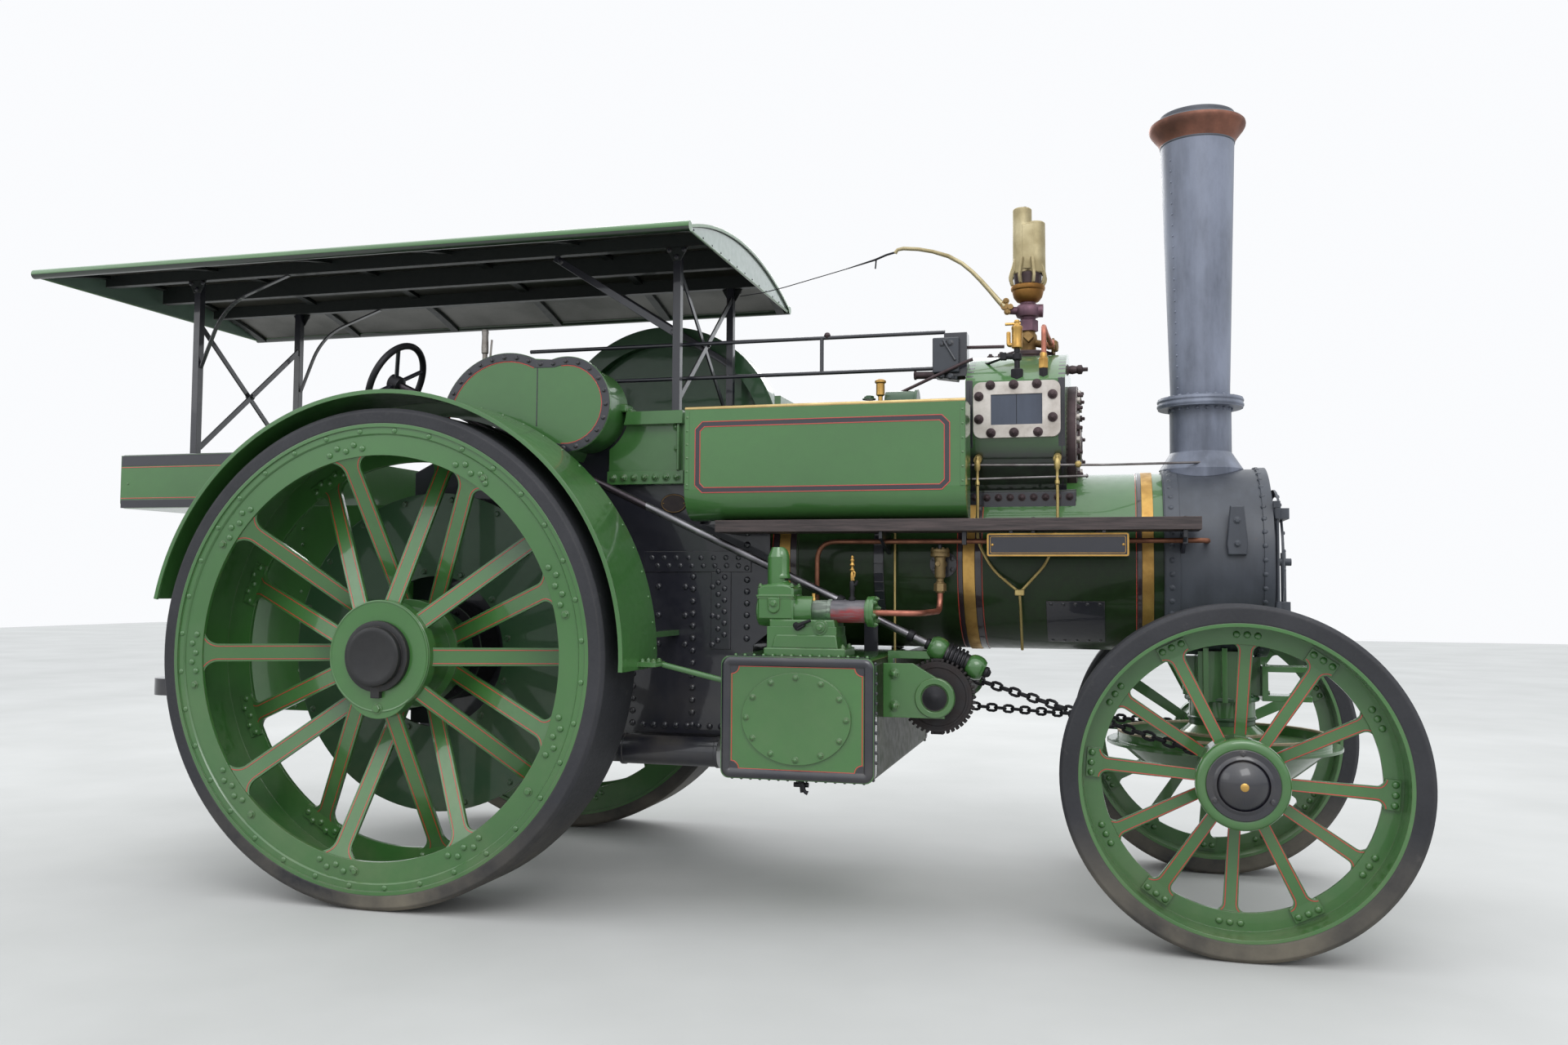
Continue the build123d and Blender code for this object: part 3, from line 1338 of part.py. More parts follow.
def worm_cups():
    """Two round bearings beside the worm, held by an arm and a strap on the cross tank."""
    near, far = cup_profile[0], cup_profile[-1]
    ends = None
    for side in (-1.0, 1.0):
        rows = [(0, side * near[1])] + [(radius, side * place) for radius, place in cup_profile]
        cup = along_column(rows + [(0, side * far[1])])
        ends = cup if ends is None else ends + cup
    x = worm_middle_x()
    strap = Box(2.0 * cup_profile[2][1], strap_wall, strap_height)
    strap_y = column_y + worm_radius + strap_wall / 2.0 + 2.0 * seat_gap
    strap = Pos(x, strap_y, column_z(x)) * Rot(0, -column_angle, 0) * strap
    arm_right = column_y - cup_arm_half_width
    arm_left = column_y + cup_arm_half_width
    low = roller_z + cup_arm_low
    high = low + cup_arm_height
    end = roller_x - cup_arm_back
    arm = block(tank_front_x, end, arm_right, arm_left, low, high)
    arm += block(tank_front_x, tank_front_x + cup_arm_wall, arm_right, arm_left, low - cup_foot_drop, high)
    shaft = bar((column_back[0], column_y, column_z(column_back[0])),
                (column_front[0] + 1.0, column_y, column_z(column_front[0] + 1.0)), column_radius + seat_gap)
    return ends + strap + arm - shaft


def handwheel():
    """Steering handwheel with four spokes."""
    tilt = Pos(column_back[0], column_y, column_back[1]) * Rot(0, 90.0 - column_angle, 0)
    rim = Torus(handwheel_radius, handwheel_rim)
    hub = Cylinder(handwheel_hub, handwheel_hub_length)
    wheel = rim + hub
    for angle in (30.0, 120.0, 210.0, 300.0):
        arm = bar((handwheel_hub / 2.0, 0, 0), (handwheel_radius, 0, 0), handwheel_arm_radius)
        wheel += Rot(0, 0, angle) * arm
    shaft = Cylinder(column_radius, 2.0 * handwheel_radius)
    return tilt * (wheel - shaft)


def chain_roller():
    """Cross roller that winds the steering chains, with the worm wheel on its right end."""
    roller = drum_y(roller_x, roller_z, roller_radius, roller_right_y + 40.0, roller_left_y - 40.0)
    ends = drum_y(roller_x, roller_z, roller_end_radius, roller_right_y - 30.0, roller_left_y + 10.0)
    wheel = drum_y(roller_x, roller_z, worm_wheel_radius, worm_wheel_y - worm_wheel_width / 2.0,
                   worm_wheel_y + worm_wheel_width / 2.0)
    reach = worm_length / 2.0 + seat_gap
    worm_room = worm_radius + seat_gap
    clear = along_column([(0, -reach), (worm_room, -reach), (worm_room, reach), (0, reach)])
    return roller + ends + wheel - clear


def roller_brackets():
    """Plates on the tank that hold the two ends of the roller."""
    top = roller_z + cheek_plate_top
    nose_x = roller_x + cheek_plate_nose[0]
    outline = polygon((tank_front_x, top), (roller_x - cheek_plate_flat, top),
                      (nose_x, roller_z + cheek_plate_nose[1]), (nose_x, roller_z - cheek_plate_boss),
                      (tank_front_x, roller_z - cheek_plate_boss))
    hole = drum_y(roller_x, roller_z, roller_end_radius + running_gap, roller_right_y - cheek_plate_boss,
                  roller_left_y + cheek_plate_boss)
    plates = None
    for y0 in (roller_right_y, roller_left_y):
        plate = plate_xz(outline, y0 - cheek_plate_wall, y0)
        plate += drum_y(roller_x, roller_z, cheek_plate_boss, y0 - cheek_plate_wall, y0)
        plate = plate - hole
        plates = plate if plates is None else plates + plate
    return plates + worm_cups()


def chain_link(flat):
    """One six-sided open link along X, lying flat or standing on edge."""
    half = link_pitch / 2.0 + link_wall - link_grip
    outer = polygon((-half, -chain_radius / 2.0), (-half / 2.0, -chain_radius), (half / 2.0, -chain_radius),
                    (half, -chain_radius / 2.0), (half, chain_radius / 2.0), (half / 2.0, chain_radius),
                    (-half / 2.0, chain_radius), (-half, chain_radius / 2.0))
    slot = Rectangle(2.0 * (half - link_wall), 2.0 * (chain_radius - link_wall))
    link = extrude(outer - slot, amount=link_wall / 2.0, both=True)
    return link if flat else Rot(90, 0, 0) * link


def chain_run(start_y, end_y, above):
    """One straight chain run, leaving the roller on a tangent and ending beside the ring."""
    side = 1.0 if above else -1.0
    end = Vector(wheelbase - chain_end_back, end_y, ring_chain_z)
    reach = roller_radius + link_wall / 2.0 + seat_gap
    slope = atan2(end.Z - roller_z - side * reach, end.X - roller_x)
    start = Vector(roller_x - side * reach * sin(slope), start_y, roller_z + side * reach * cos(slope))
    run = end - start
    count = round(run.length / link_pitch)
    frame = Plane(origin=start, x_dir=run, z_dir=run.cross(Vector(0, 1, 0)))
    chain = None
    for index in range(count):
        place = (index + 0.5) * run.length / count
        link = frame.location * Pos(place, 0, 0) * chain_link(index % 2 == 0)
        chain = link if chain is None else chain + link
    return chain


def steering_chains():
    """Two chain runs from the roller to the ring of the front carriage."""
    edge = ring_flange_radius + chain_radius + swing_gap
    return (chain_run(chain_start_y, -edge, True)
            + chain_run(chain_start_y + chain_pitch_y, edge, False))


# Front carriage
def perch():
    """Perch casting under the smokebox, ribbed, with its collar."""
    top = boiler_z - smokebox_radius + 60.0
    body = block(wheelbase - perch_half_length, wheelbase + perch_half_length, -perch_half_width,
                 perch_half_width, perch_foot_z, top)
    smoke = drum_x(0, boiler_z, smokebox_radius + smokebox_ring_height + seat_gap, smokebox_back_x,
                   smokebox_front_x)
    collar = drum_z(wheelbase, 0, collar_radius, collar_low_z + seat_gap, perch_foot_z)
    rib = block(wheelbase - 160.0, wheelbase + 160.0, -perch_wall / 2.0, perch_wall / 2.0,
                perch_foot_z + 20.0, top)
    lip = drum_z(wheelbase, 0, collar_lip_radius, perch_foot_z, perch_foot_z + collar_lip_height)
    half = perch_rib_wall / 2.0
    reach = perch_half_width + perch_rib_reach
    casting = body + collar + rib + lip
    for place in (-perch_rib_step, 0.0, perch_rib_step):
        casting += block(wheelbase + place - half, wheelbase + place + half, -reach, reach, perch_foot_z,
                         perch_foot_z + perch_rib_top)
    return casting - smoke


def tow_bracket():
    """Forked bracket on the front of the perch with its pin hole."""
    x0 = wheelbase + 160.0
    w = hitch_half_width
    fork = None
    for z in (hitch_low_z, hitch_high_z):
        ear = block(x0, hitch_front_x, -w, w, z, z + hitch_wall)
        fork = ear if fork is None else fork + ear
    back = block(x0, x0 + 24.0, -w, w, hitch_low_z, hitch_high_z + hitch_wall)
    hole = drum_z(hitch_front_x - hitch_hole_inset, 0, hitch_hole_radius, hitch_low_z - 1.0,
                  hitch_high_z + hitch_wall + 1.0)
    return fork + back - hole


def steering_ring():
    """Round steering ring and pan of the front carriage."""
    flange_low = ring_floor_z - ring_flange_wall
    return turned_z(wheelbase, 0, [
        (0, flange_low), (0, collar_low_z), (collar_radius, collar_low_z),
        (saucer_radius, ring_top_z), (saucer_radius, ring_floor_z), (ring_radius - ring_wall, ring_floor_z),
        (ring_radius - ring_wall, ring_top_z), (ring_radius, ring_top_z), (ring_radius, ring_floor_z),
        (ring_flange_radius, ring_floor_z), (ring_flange_radius, flange_low),
        (ring_radius, flange_low), (pan_low_radius, pan_low_z),
        (pan_low_radius - ring_wall, pan_low_z), (ring_radius - 2 * ring_wall, flange_low)])


def front_axle():
    """Front axle beam with its two stub ends."""
    z = front_axle_z
    hub_in = front_hub_back_y - swing_gap
    beam = block(wheelbase - axle_beam_half_length, wheelbase + axle_beam_half_length, -hub_in, hub_in,
                 z - axle_beam_half_height, ring_floor_z - ring_flange_wall)
    stubs = drum_y(wheelbase, z, front_axle_radius, -front_hub_face_y + 1.0, front_hub_face_y - 1.0)
    pan = steering_ring()
    return beam + stubs - pan


# Small gear on top
def handrails():
    """Two long rods over the motion, a stand between them and the oil box that holds their ends."""
    rails = block(oiler_back_x, cylinder_back_x, rail_y - oiler_half_width, rail_y + oiler_half_width,
                  oiler_low_z, oiler_top_z)
    for back_x, z in ((rail_back_x, rail_high_z), (rail_low_back_x, rail_low_z)):
        rails += bar((back_x, rail_y, z), (oiler_back_x, rail_y, z), rail_radius)
    rails += bar((rail_stand_x, rail_y, rail_low_z), (rail_stand_x, rail_y, rail_high_z), rail_radius)
    return rails


def reversing_lever():
    """Reversing lever on a foot inside the right hornplate."""
    foot = block(lever_x - lever_foot_half[0], lever_x + lever_foot_half[0], -firebox_half_width,
                 lever_y + lever_radius, lever_foot_z - lever_foot_half[1], lever_foot_z + lever_foot_half[1])
    stick = drum_z(lever_x, lever_y, lever_radius, lever_foot_z, lever_top_z)
    grip = drum_z(lever_x, lever_y, lever_grip_radius, lever_top_z - lever_grip_length, lever_top_z)
    return foot + stick + grip


os.makedirs("parts", exist_ok=True)
PIECES = (
    ("boiler_barrel", boiler_barrel), ("firebox", firebox), ("hornplates", hornplates),
    ("horn_cheek", horn_cheek), ("smokebox", smokebox), ("smokebox_door", smokebox_door),
    ("chimney", chimney), ("chimney_cap", chimney_cap),
    ("crankshaft", crankshaft), ("flywheel", flywheel), ("slide_bars", slide_bars),
    ("motion_bracket", motion_bracket), ("crosshead", crosshead), ("cylinder_block", cylinder_block),
    ("cylinder_covers", cylinder_covers), ("safety_valve", safety_valve),
    ("side_cover_right", lambda: side_cover(cover_back_x)),
    ("side_cover_left", lambda: to_left(side_cover(cover_back_left_x))),
    ("running_boards", running_board),
    ("board_brackets", board_brackets), ("nameboards", nameboard), ("belly_tank", belly_tank),
    ("tank_hangers", tank_hangers), ("feed_pump", feed_pump), ("feed_pipe", feed_pipe),
    ("tender", tender), ("drawbar", drawbar), ("canopy_roof", canopy_roof),
    ("canopy_beams", canopy_beams), ("canopy_posts", canopy_posts), ("canopy_braces", canopy_braces),
    ("mudguard_right", mudguard), ("mudguard_left", lambda: to_left(mudguard())),
    ("guard_struts", guard_struts), ("gear_cover", gear_cover), ("drive_disc", drive_disc),
    ("rear_axle", rear_axle), ("steering_column", steering_column), ("handwheel", handwheel),
    ("chain_roller", chain_roller), ("roller_brackets", roller_brackets),
    ("steering_chains", steering_chains), ("perch", perch), ("tow_bracket", tow_bracket),
    ("steering_ring", steering_ring), ("front_axle", front_axle), ("handrails", handrails),
    ("reversing_lever", reversing_lever),
)
for name, make in PIECES:
    save(name, make())
for piece, make in (("wheel", rear_wheel), ("tyre", rear_tyre), ("hub_cap", rear_cap)):
    save(f"rear_{piece}_right", make())
    save(f"rear_{piece}_left", make(), left=True)
for piece, make in (("wheel", front_wheel), ("tyre", front_tyre), ("hub_cap", front_cap)):
    save(f"front_{piece}_right", make())
    save(f"front_{piece}_left", make(), left=True)
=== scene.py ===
import json
import math
from types import SimpleNamespace

import bpy
from mathutils import Matrix, Vector


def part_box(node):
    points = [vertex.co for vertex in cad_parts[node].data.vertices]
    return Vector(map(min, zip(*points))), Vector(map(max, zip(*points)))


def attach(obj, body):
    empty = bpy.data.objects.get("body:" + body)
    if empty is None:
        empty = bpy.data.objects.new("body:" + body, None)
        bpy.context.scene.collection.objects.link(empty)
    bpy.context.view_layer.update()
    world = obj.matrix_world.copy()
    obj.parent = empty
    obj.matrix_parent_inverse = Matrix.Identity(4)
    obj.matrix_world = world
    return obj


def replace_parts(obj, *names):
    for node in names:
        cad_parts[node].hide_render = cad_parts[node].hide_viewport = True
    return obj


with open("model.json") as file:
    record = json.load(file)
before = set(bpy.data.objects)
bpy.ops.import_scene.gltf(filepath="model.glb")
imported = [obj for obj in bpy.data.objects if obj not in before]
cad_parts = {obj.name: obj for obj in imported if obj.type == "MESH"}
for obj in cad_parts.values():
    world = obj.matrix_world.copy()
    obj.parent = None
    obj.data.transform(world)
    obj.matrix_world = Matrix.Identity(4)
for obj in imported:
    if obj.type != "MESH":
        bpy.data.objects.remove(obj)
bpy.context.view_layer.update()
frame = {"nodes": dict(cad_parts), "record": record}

# Looks of a steam traction engine. Metres: X forward, Y left, Z up, right side towards the camera.
RIGHT = -1.0
LEFT = 1.0
TURN = 2.0 * math.pi


def span(node):
    """Box of one node: x0 to x1, y0 to y1, z0 to z1 and the middle x, y, z."""
    low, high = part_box(node)
    middle = (low + high) / 2.0
    return SimpleNamespace(x0=low.x, x1=high.x, y0=low.y, y1=high.y, z0=low.z, z1=high.z,
                           x=middle.x, y=middle.y, z=middle.z)


rear = span("rear_tyre_right")
front = span("front_tyre_right")
barrel = span("boiler_barrel")
smoke = span("smokebox")
horn = span("hornplates")
roof = span("canopy_roof")
tank = span("belly_tank")
cover = span("side_cover_right")
board = span("running_boards")
cylinder = span("cylinder_block")
plate = span("nameboards")
tender = span("tender")
funnel = span("chimney")
funnel_top = span("chimney_cap")
gear = span("gear_cover")


# Materials
class Graph:
    """Nodes of one material, added by short calls."""

    def __init__(self, name):
        self.material = bpy.data.materials.new(name)
        self.material.use_nodes = True
        self.tree = self.material.node_tree
        self.shader = self.tree.nodes["Principled BSDF"]
        self.place = self.add("ShaderNodeTexCoord").outputs["Object"]

    def add(self, kind, **values):
        node = self.tree.nodes.new(kind)
        for name, value in values.items():
            setattr(node, name, value)
        return node

    def link(self, source, target):
        self.tree.links.new(source, target)

    def fill(self, socket, value):
        if isinstance(value, bpy.types.NodeSocket):
            self.link(value, socket)
        else:
            socket.default_value = value

    def math(self, operation, first, second=0.0, clamp=False):
        node = self.add("ShaderNodeMath", operation=operation, use_clamp=clamp)
        self.fill(node.inputs[0], first)
        self.fill(node.inputs[1], second)
        return node.outputs[0]

    def times(self, first, second, clamp=False):
        return self.math("MULTIPLY", first, second, clamp)

    def plus(self, first, second, clamp=False):
        return self.math("ADD", first, second, clamp)

    def give(self, name, value):
        """Link or set one input of the material's shader."""
        self.fill(self.shader.inputs[name], value)

    def axis(self, index):
        split = self.add("ShaderNodeSeparateXYZ")
        self.link(self.place, split.inputs[0])
        return split.outputs[index]

    def noise(self, scale, detail=4.0, stretch=(1.0, 1.0, 1.0), rough=0.55):
        """Noise from 0 to 1, with the object's place stretched first."""
        fit = self.add("ShaderNodeMapping")
        fit.inputs["Scale"].default_value = stretch
        self.link(self.place, fit.inputs["Vector"])
        node = self.add("ShaderNodeTexNoise")
        node.inputs["Scale"].default_value = scale
        node.inputs["Detail"].default_value = detail
        node.inputs["Roughness"].default_value = rough
        self.link(fit.outputs["Vector"], node.inputs["Vector"])
        return node.outputs["Fac"]

    def ramp(self, value, low, high):
        """The value rescaled so that low is 0 and high is 1."""
        node = self.add("ShaderNodeMapRange")
        node.inputs["From Min"].default_value = low
        node.inputs["From Max"].default_value = high
        self.link(value, node.inputs["Value"])
        return node.outputs["Result"]

    def mix(self, factor, first, second):
        node = self.add("ShaderNodeMix", data_type="RGBA")
        self.fill(node.inputs["Factor"], factor)
        self.fill(node.inputs["A"], first)
        self.fill(node.inputs["B"], second)
        return node.outputs["Result"]

    def geometry(self, output, axis):
        """One part of the surface's place or direction in the scene."""
        split = self.add("ShaderNodeSeparateXYZ")
        self.link(self.add("ShaderNodeNewGeometry").outputs[output], split.inputs[0])
        return split.outputs[axis]

    def up(self):
        """How far the surface faces up, from -1 to 1."""
        return self.geometry("Normal", 2)

    def edges(self, radius):
        """1 along sharp edges, 0 on flat faces."""
        soft = self.add("ShaderNodeBevel", samples=4)
        soft.inputs["Radius"].default_value = radius
        dot = self.add("ShaderNodeVectorMath", operation="DOT_PRODUCT")
        self.link(soft.outputs["Normal"], dot.inputs[0])
        self.link(self.add("ShaderNodeNewGeometry").outputs["Normal"], dot.inputs[1])
        return self.ramp(dot.outputs["Value"], 0.995, 0.86), soft.outputs["Normal"]

    def bump(self, height, strength, distance, normal=None):
        node = self.add("ShaderNodeBump")
        node.inputs["Strength"].default_value = strength
        node.inputs["Distance"].default_value = distance
        self.link(height, node.inputs["Height"])
        if normal is not None:
            self.link(normal, node.inputs["Normal"])
        return node.outputs["Normal"]


def shade(color, factor):
    """A linear colour made lighter or darker."""
    return (color[0] * factor, color[1] * factor, color[2] * factor, 1.0)


def rgb(red, green, blue):
    """A colour as seen on screen, 0 to 255, as linear numbers."""
    def linear(value):
        value /= 255.0
        return value / 12.92 if value <= 0.04045 else ((value + 0.055) / 1.055) ** 2.4
    return (linear(red), linear(green), linear(blue), 1.0)


DUST = rgb(150, 140, 118)
PRIMER = rgb(92, 74, 58)
RUST = rgb(122, 72, 42)


def paint(name, color, rough=0.3, coat=0.8, coat_rough=0.06, dust=0.25, wear=0.5, wear_color=PRIMER,
          edge=0.004, streaks=0.0, paint_over=None):
    """Brushed and varnished paint with mottling, worn edges and road dust."""
    graph = Graph(name)
    slow = graph.ramp(graph.noise(1.6, 5.0), 0.3, 0.7)
    fine = graph.ramp(graph.noise(26.0, 6.0), 0.35, 0.65)
    base = graph.mix(slow, shade(color, 0.86), shade(color, 1.12))
    if paint_over is not None:
        base = paint_over(graph, base)
    base = graph.mix(graph.times(fine, 0.12), base, shade(color, 0.7))
    if streaks:
        run = graph.ramp(graph.noise(9.0, 5.0, (1.0, 1.0, 0.12)), 0.48, 0.72)
        base = graph.mix(graph.times(run, streaks), base, shade(color, 1.9))
    edge_mask, soft_normal = graph.edges(edge)
    chips = graph.ramp(graph.noise(60.0, 8.0), 0.46, 0.58)
    worn = graph.times(graph.times(edge_mask, chips), wear, clamp=True)
    base = graph.mix(worn, base, wear_color)
    low = graph.ramp(graph.axis(2), 1.3, 0.1)
    lying = graph.ramp(graph.up(), 0.3, 1.0)
    cloud = graph.ramp(graph.noise(5.0, 7.0), 0.4, 0.72)
    settled = graph.plus(graph.times(low, 0.55), graph.times(lying, 0.5))
    dusty = graph.times(graph.times(settled, cloud), dust, clamp=True)
    base = graph.mix(dusty, base, DUST)
    graph.give("Base Color", base)
    dull = graph.plus(graph.times(fine, 0.1), graph.times(dusty, 0.5))
    graph.give("Roughness", graph.plus(dull, rough, clamp=True))
    graph.give("Coat Weight", coat)
    graph.give("Coat Roughness", coat_rough)
    waves = graph.noise(7.0, 3.0)
    orange = graph.noise(170.0, 2.0)
    first = graph.bump(waves, 0.12, 0.006, soft_normal)
    normal = graph.bump(orange, 0.1, 0.0006, first)
    graph.give("Normal", normal)
    graph.give("Coat Normal", first)
    return graph.material


def metal(name, color, rough=0.35, tarnish=None, tarnish_share=0.5, grain=(1.0, 1.0, 1.0), metallic=1.0,
          scale=14.0, edge=0.002, over=None):
    """Bare metal with tarnish in patches, fine brushing and polished edges."""
    graph = Graph(name)
    patch = graph.ramp(graph.noise(scale, 7.0), 0.36, 0.66)
    brushed = graph.noise(120.0, 4.0, grain)
    dark = tarnish if tarnish is not None else shade(color, 0.55)
    base = graph.mix(graph.times(patch, tarnish_share), color, dark)
    if over is not None:
        base = over(graph, base)
    base = graph.mix(graph.times(brushed, 0.25), base, shade(color, 0.6))
    edge_mask, soft_normal = graph.edges(edge)
    base = graph.mix(graph.times(edge_mask, 0.4), base, shade(color, 1.2))
    graph.give("Base Color", base)
    graph.give("Metallic", metallic)
    dull = graph.times(patch, 0.22)
    graph.give("Roughness", graph.plus(graph.plus(dull, graph.times(brushed, 0.12)), rough, clamp=True))
    graph.give("Normal", graph.bump(brushed, 0.15, 0.0008, soft_normal))
    return graph.material


def rubber(name):
    """Solid tyre rubber, black with scuffs and dust."""
    graph = Graph(name)
    slow = graph.ramp(graph.noise(3.0, 6.0), 0.3, 0.7)
    fine = graph.noise(70.0, 6.0)
    scuff = graph.ramp(graph.noise(18.0, 9.0, rough=0.7), 0.62, 0.74)
    base = graph.mix(slow, rgb(25, 26, 31), rgb(43, 43, 48))
    base = graph.mix(graph.times(scuff, 0.25), base, rgb(92, 88, 86))
    low = graph.ramp(graph.axis(2), 0.5, 0.0)
    base = graph.mix(graph.times(graph.times(low, slow), 0.5), base, DUST)
    edge_mask, soft_normal = graph.edges(0.012)
    base = graph.mix(graph.times(edge_mask, 0.3), base, rgb(74, 71, 70))
    graph.give("Base Color", base)
    graph.give("Roughness", graph.plus(graph.times(fine, 0.25), 0.55))
    first = graph.bump(scuff, 0.25, 0.002, soft_normal)
    graph.give("Normal", graph.bump(fine, 0.35, 0.0015, first))
    return graph.material


def timber(name):
    """Dark stained plank with grain along its length."""
    graph = Graph(name)
    grain = graph.noise(9.0, 8.0, (0.5, 9.0, 9.0), 0.65)
    fine = graph.noise(60.0, 6.0, (0.25, 6.0, 6.0))
    base = graph.mix(graph.ramp(grain, 0.35, 0.65), rgb(38, 31, 31), rgb(72, 60, 59))
    base = graph.mix(graph.times(graph.ramp(fine, 0.5, 0.7), 0.5), base, rgb(26, 21, 23))
    edge_mask, soft_normal = graph.edges(0.004)
    base = graph.mix(graph.times(edge_mask, 0.6), base, rgb(100, 84, 80))
    graph.give("Base Color", base)
    graph.give("Roughness", graph.plus(graph.times(fine, 0.3), 0.45))
    graph.give("Normal", graph.bump(grain, 0.4, 0.002, soft_normal))
    return graph.material


def weathered(name, color, light, rough=0.5, rust=0.35):
    """Heat-dulled black or grey paint with pale streaks and rust spots."""
    graph = Graph(name)
    cloud = graph.ramp(graph.noise(4.0, 8.0, (1.0, 1.0, 0.45), 0.62), 0.36, 0.66)
    streak = graph.ramp(graph.noise(16.0, 6.0, (1.0, 1.0, 0.1)), 0.45, 0.7)
    fine = graph.noise(80.0, 6.0)
    base = graph.mix(cloud, color, light)
    base = graph.mix(graph.times(streak, 0.35), base, shade(light, 1.25))
    spots = graph.ramp(graph.noise(13.0, 8.0, (1.0, 1.0, 0.6), 0.7), 0.68, 0.74)
    base = graph.mix(graph.times(spots, rust), base, RUST)
    edge_mask, soft_normal = graph.edges(0.004)
    base = graph.mix(graph.times(edge_mask, 0.3), base, shade(light, 1.3))
    graph.give("Base Color", base)
    graph.give("Roughness", graph.plus(graph.times(cloud, 0.16), rough))
    first = graph.bump(cloud, 0.15, 0.003, soft_normal)
    graph.give("Normal", graph.bump(fine, 0.22, 0.0012, first))
    return graph.material


GREEN_COLOR = rgb(54, 100, 46)
DARK_GREEN_COLOR = rgb(30, 70, 36)
BLACK_COLOR = rgb(24, 24, 34)

green = paint("paint_green", GREEN_COLOR)
dark_green = paint("paint_dark_green", DARK_GREEN_COLOR, rough=0.4, coat=0.5, dust=0.35)
black = paint("paint_black", BLACK_COLOR, rough=0.32, coat=0.7, wear=0.3, streaks=0.1)
red_line = paint("lining_red", rgb(180, 56, 44), dust=0.1, wear=0.0)
smoke_black = weathered("smokebox_black", rgb(48, 51, 58), rgb(66, 70, 78), rough=0.42, rust=0.2)
funnel_grey = weathered("chimney_grey", rgb(76, 81, 94), rgb(118, 124, 140), rough=0.4, rust=0.7)
steel = metal("bare_steel", rgb(176, 172, 168), rough=0.28, tarnish=rgb(120, 106, 94))
beige_steel = metal("tarnished_steel", rgb(188, 176, 154), rough=0.42, tarnish=rgb(146, 124, 92),
                    scale=9.0)
iron = metal("cast_iron", rgb(88, 76, 74), rough=0.5, tarnish=rgb(60, 48, 46), metallic=0.7)
black_iron = metal("black_iron", rgb(34, 33, 37), rough=0.38, tarnish=rgb(22, 22, 25), metallic=0.5)
brown_iron = metal("brown_iron", rgb(76, 62, 64), rough=0.42, tarnish=rgb(44, 36, 40), metallic=0.6)
brass = metal("brass", rgb(200, 160, 92), rough=0.28, tarnish=rgb(142, 106, 60), tarnish_share=0.6)
pale_brass = metal("pale_brass", rgb(204, 180, 128), rough=0.3, tarnish=rgb(168, 140, 92), tarnish_share=0.4)
cream_brass = metal("cream_brass", rgb(184, 172, 138), rough=0.44, tarnish=rgb(140, 124, 86),
                    tarnish_share=0.55, metallic=0.75, scale=7.0)
bowl_bronze = metal("bowl_bronze", rgb(160, 118, 66), rough=0.36, tarnish=rgb(92, 62, 36),
                    tarnish_share=0.6, scale=8.0)
purple_copper = metal("purple_copper", rgb(126, 96, 108), rough=0.42, tarnish=rgb(78, 58, 72),
                      tarnish_share=0.7, metallic=0.75, scale=10.0)
pink_copper = metal("pink_copper", rgb(184, 122, 104), rough=0.36, tarnish=rgb(142, 90, 78))
charcoal = paint("charcoal", rgb(42, 46, 54), rough=0.45, coat=0.3, wear=0.4, streaks=0.2)
old_brass = metal("aged_brass", rgb(196, 176, 120), rough=0.4, tarnish=rgb(138, 112, 66), scale=9.0)
copper = metal("copper", rgb(196, 112, 76), rough=0.28, tarnish=rgb(130, 66, 46))
tyre_rubber = rubber("tyre_rubber")
plank = timber("dark_plank")
roof_panel = metal("varnished_panel", rgb(58, 56, 48), rough=0.24, tarnish=rgb(20, 28, 24), metallic=0.3,
                   scale=2.2)
cap_copper = metal("cap_copper", rgb(150, 104, 88), rough=0.36, tarnish=rgb(78, 64, 60), tarnish_share=0.7,
                   scale=6.0)
cap_dark = weathered("cap_crown", rgb(46, 48, 54), rgb(74, 76, 84), rough=0.4, rust=0.1)
tarnished_copper = metal("tarnished_copper", rgb(142, 98, 78), rough=0.44, tarnish=rgb(88, 62, 52),
                         tarnish_share=0.6)
dull_steel = metal("dull_steel", rgb(132, 128, 128), rough=0.4, tarnish=rgb(84, 72, 68))
bronze = metal("bronze", rgb(150, 122, 82), rough=0.42, tarnish=rgb(84, 66, 44), tarnish_share=0.6)
slate_blue = weathered("slate_panel", rgb(52, 58, 72), rgb(68, 75, 90), rough=0.46, rust=0.0)
band_maroon = paint("band_maroon", rgb(34, 20, 26), rough=0.3, coat=0.8)
dark_bronze = metal("dark_bronze", rgb(62, 54, 52), rough=0.42, tarnish=rgb(40, 38, 44), metallic=0.6)
cast_brass = metal("cast_brass", rgb(160, 138, 100), rough=0.46, tarnish=rgb(108, 92, 68), tarnish_share=0.5,
                   scale=6.0)
chest_steel = metal("chest_steel", rgb(202, 196, 190), rough=0.42, tarnish=rgb(150, 138, 128),
                    tarnish_share=0.5, scale=10.0)
beam_green = paint("beam_green", rgb(12, 19, 17), rough=0.55, coat=0.15, dust=0.05)
# Pale grey-green of the roof's end boards is a painted reflection of the pale sky.
sky_reflection_green = paint("sky_reflection_green", rgb(104, 124, 112), rough=0.3, coat=1.0, wear=0.2, streaks=0.1)
matte_black = paint("matte_black", rgb(20, 20, 22), rough=0.55, coat=0.1, dust=0.1)


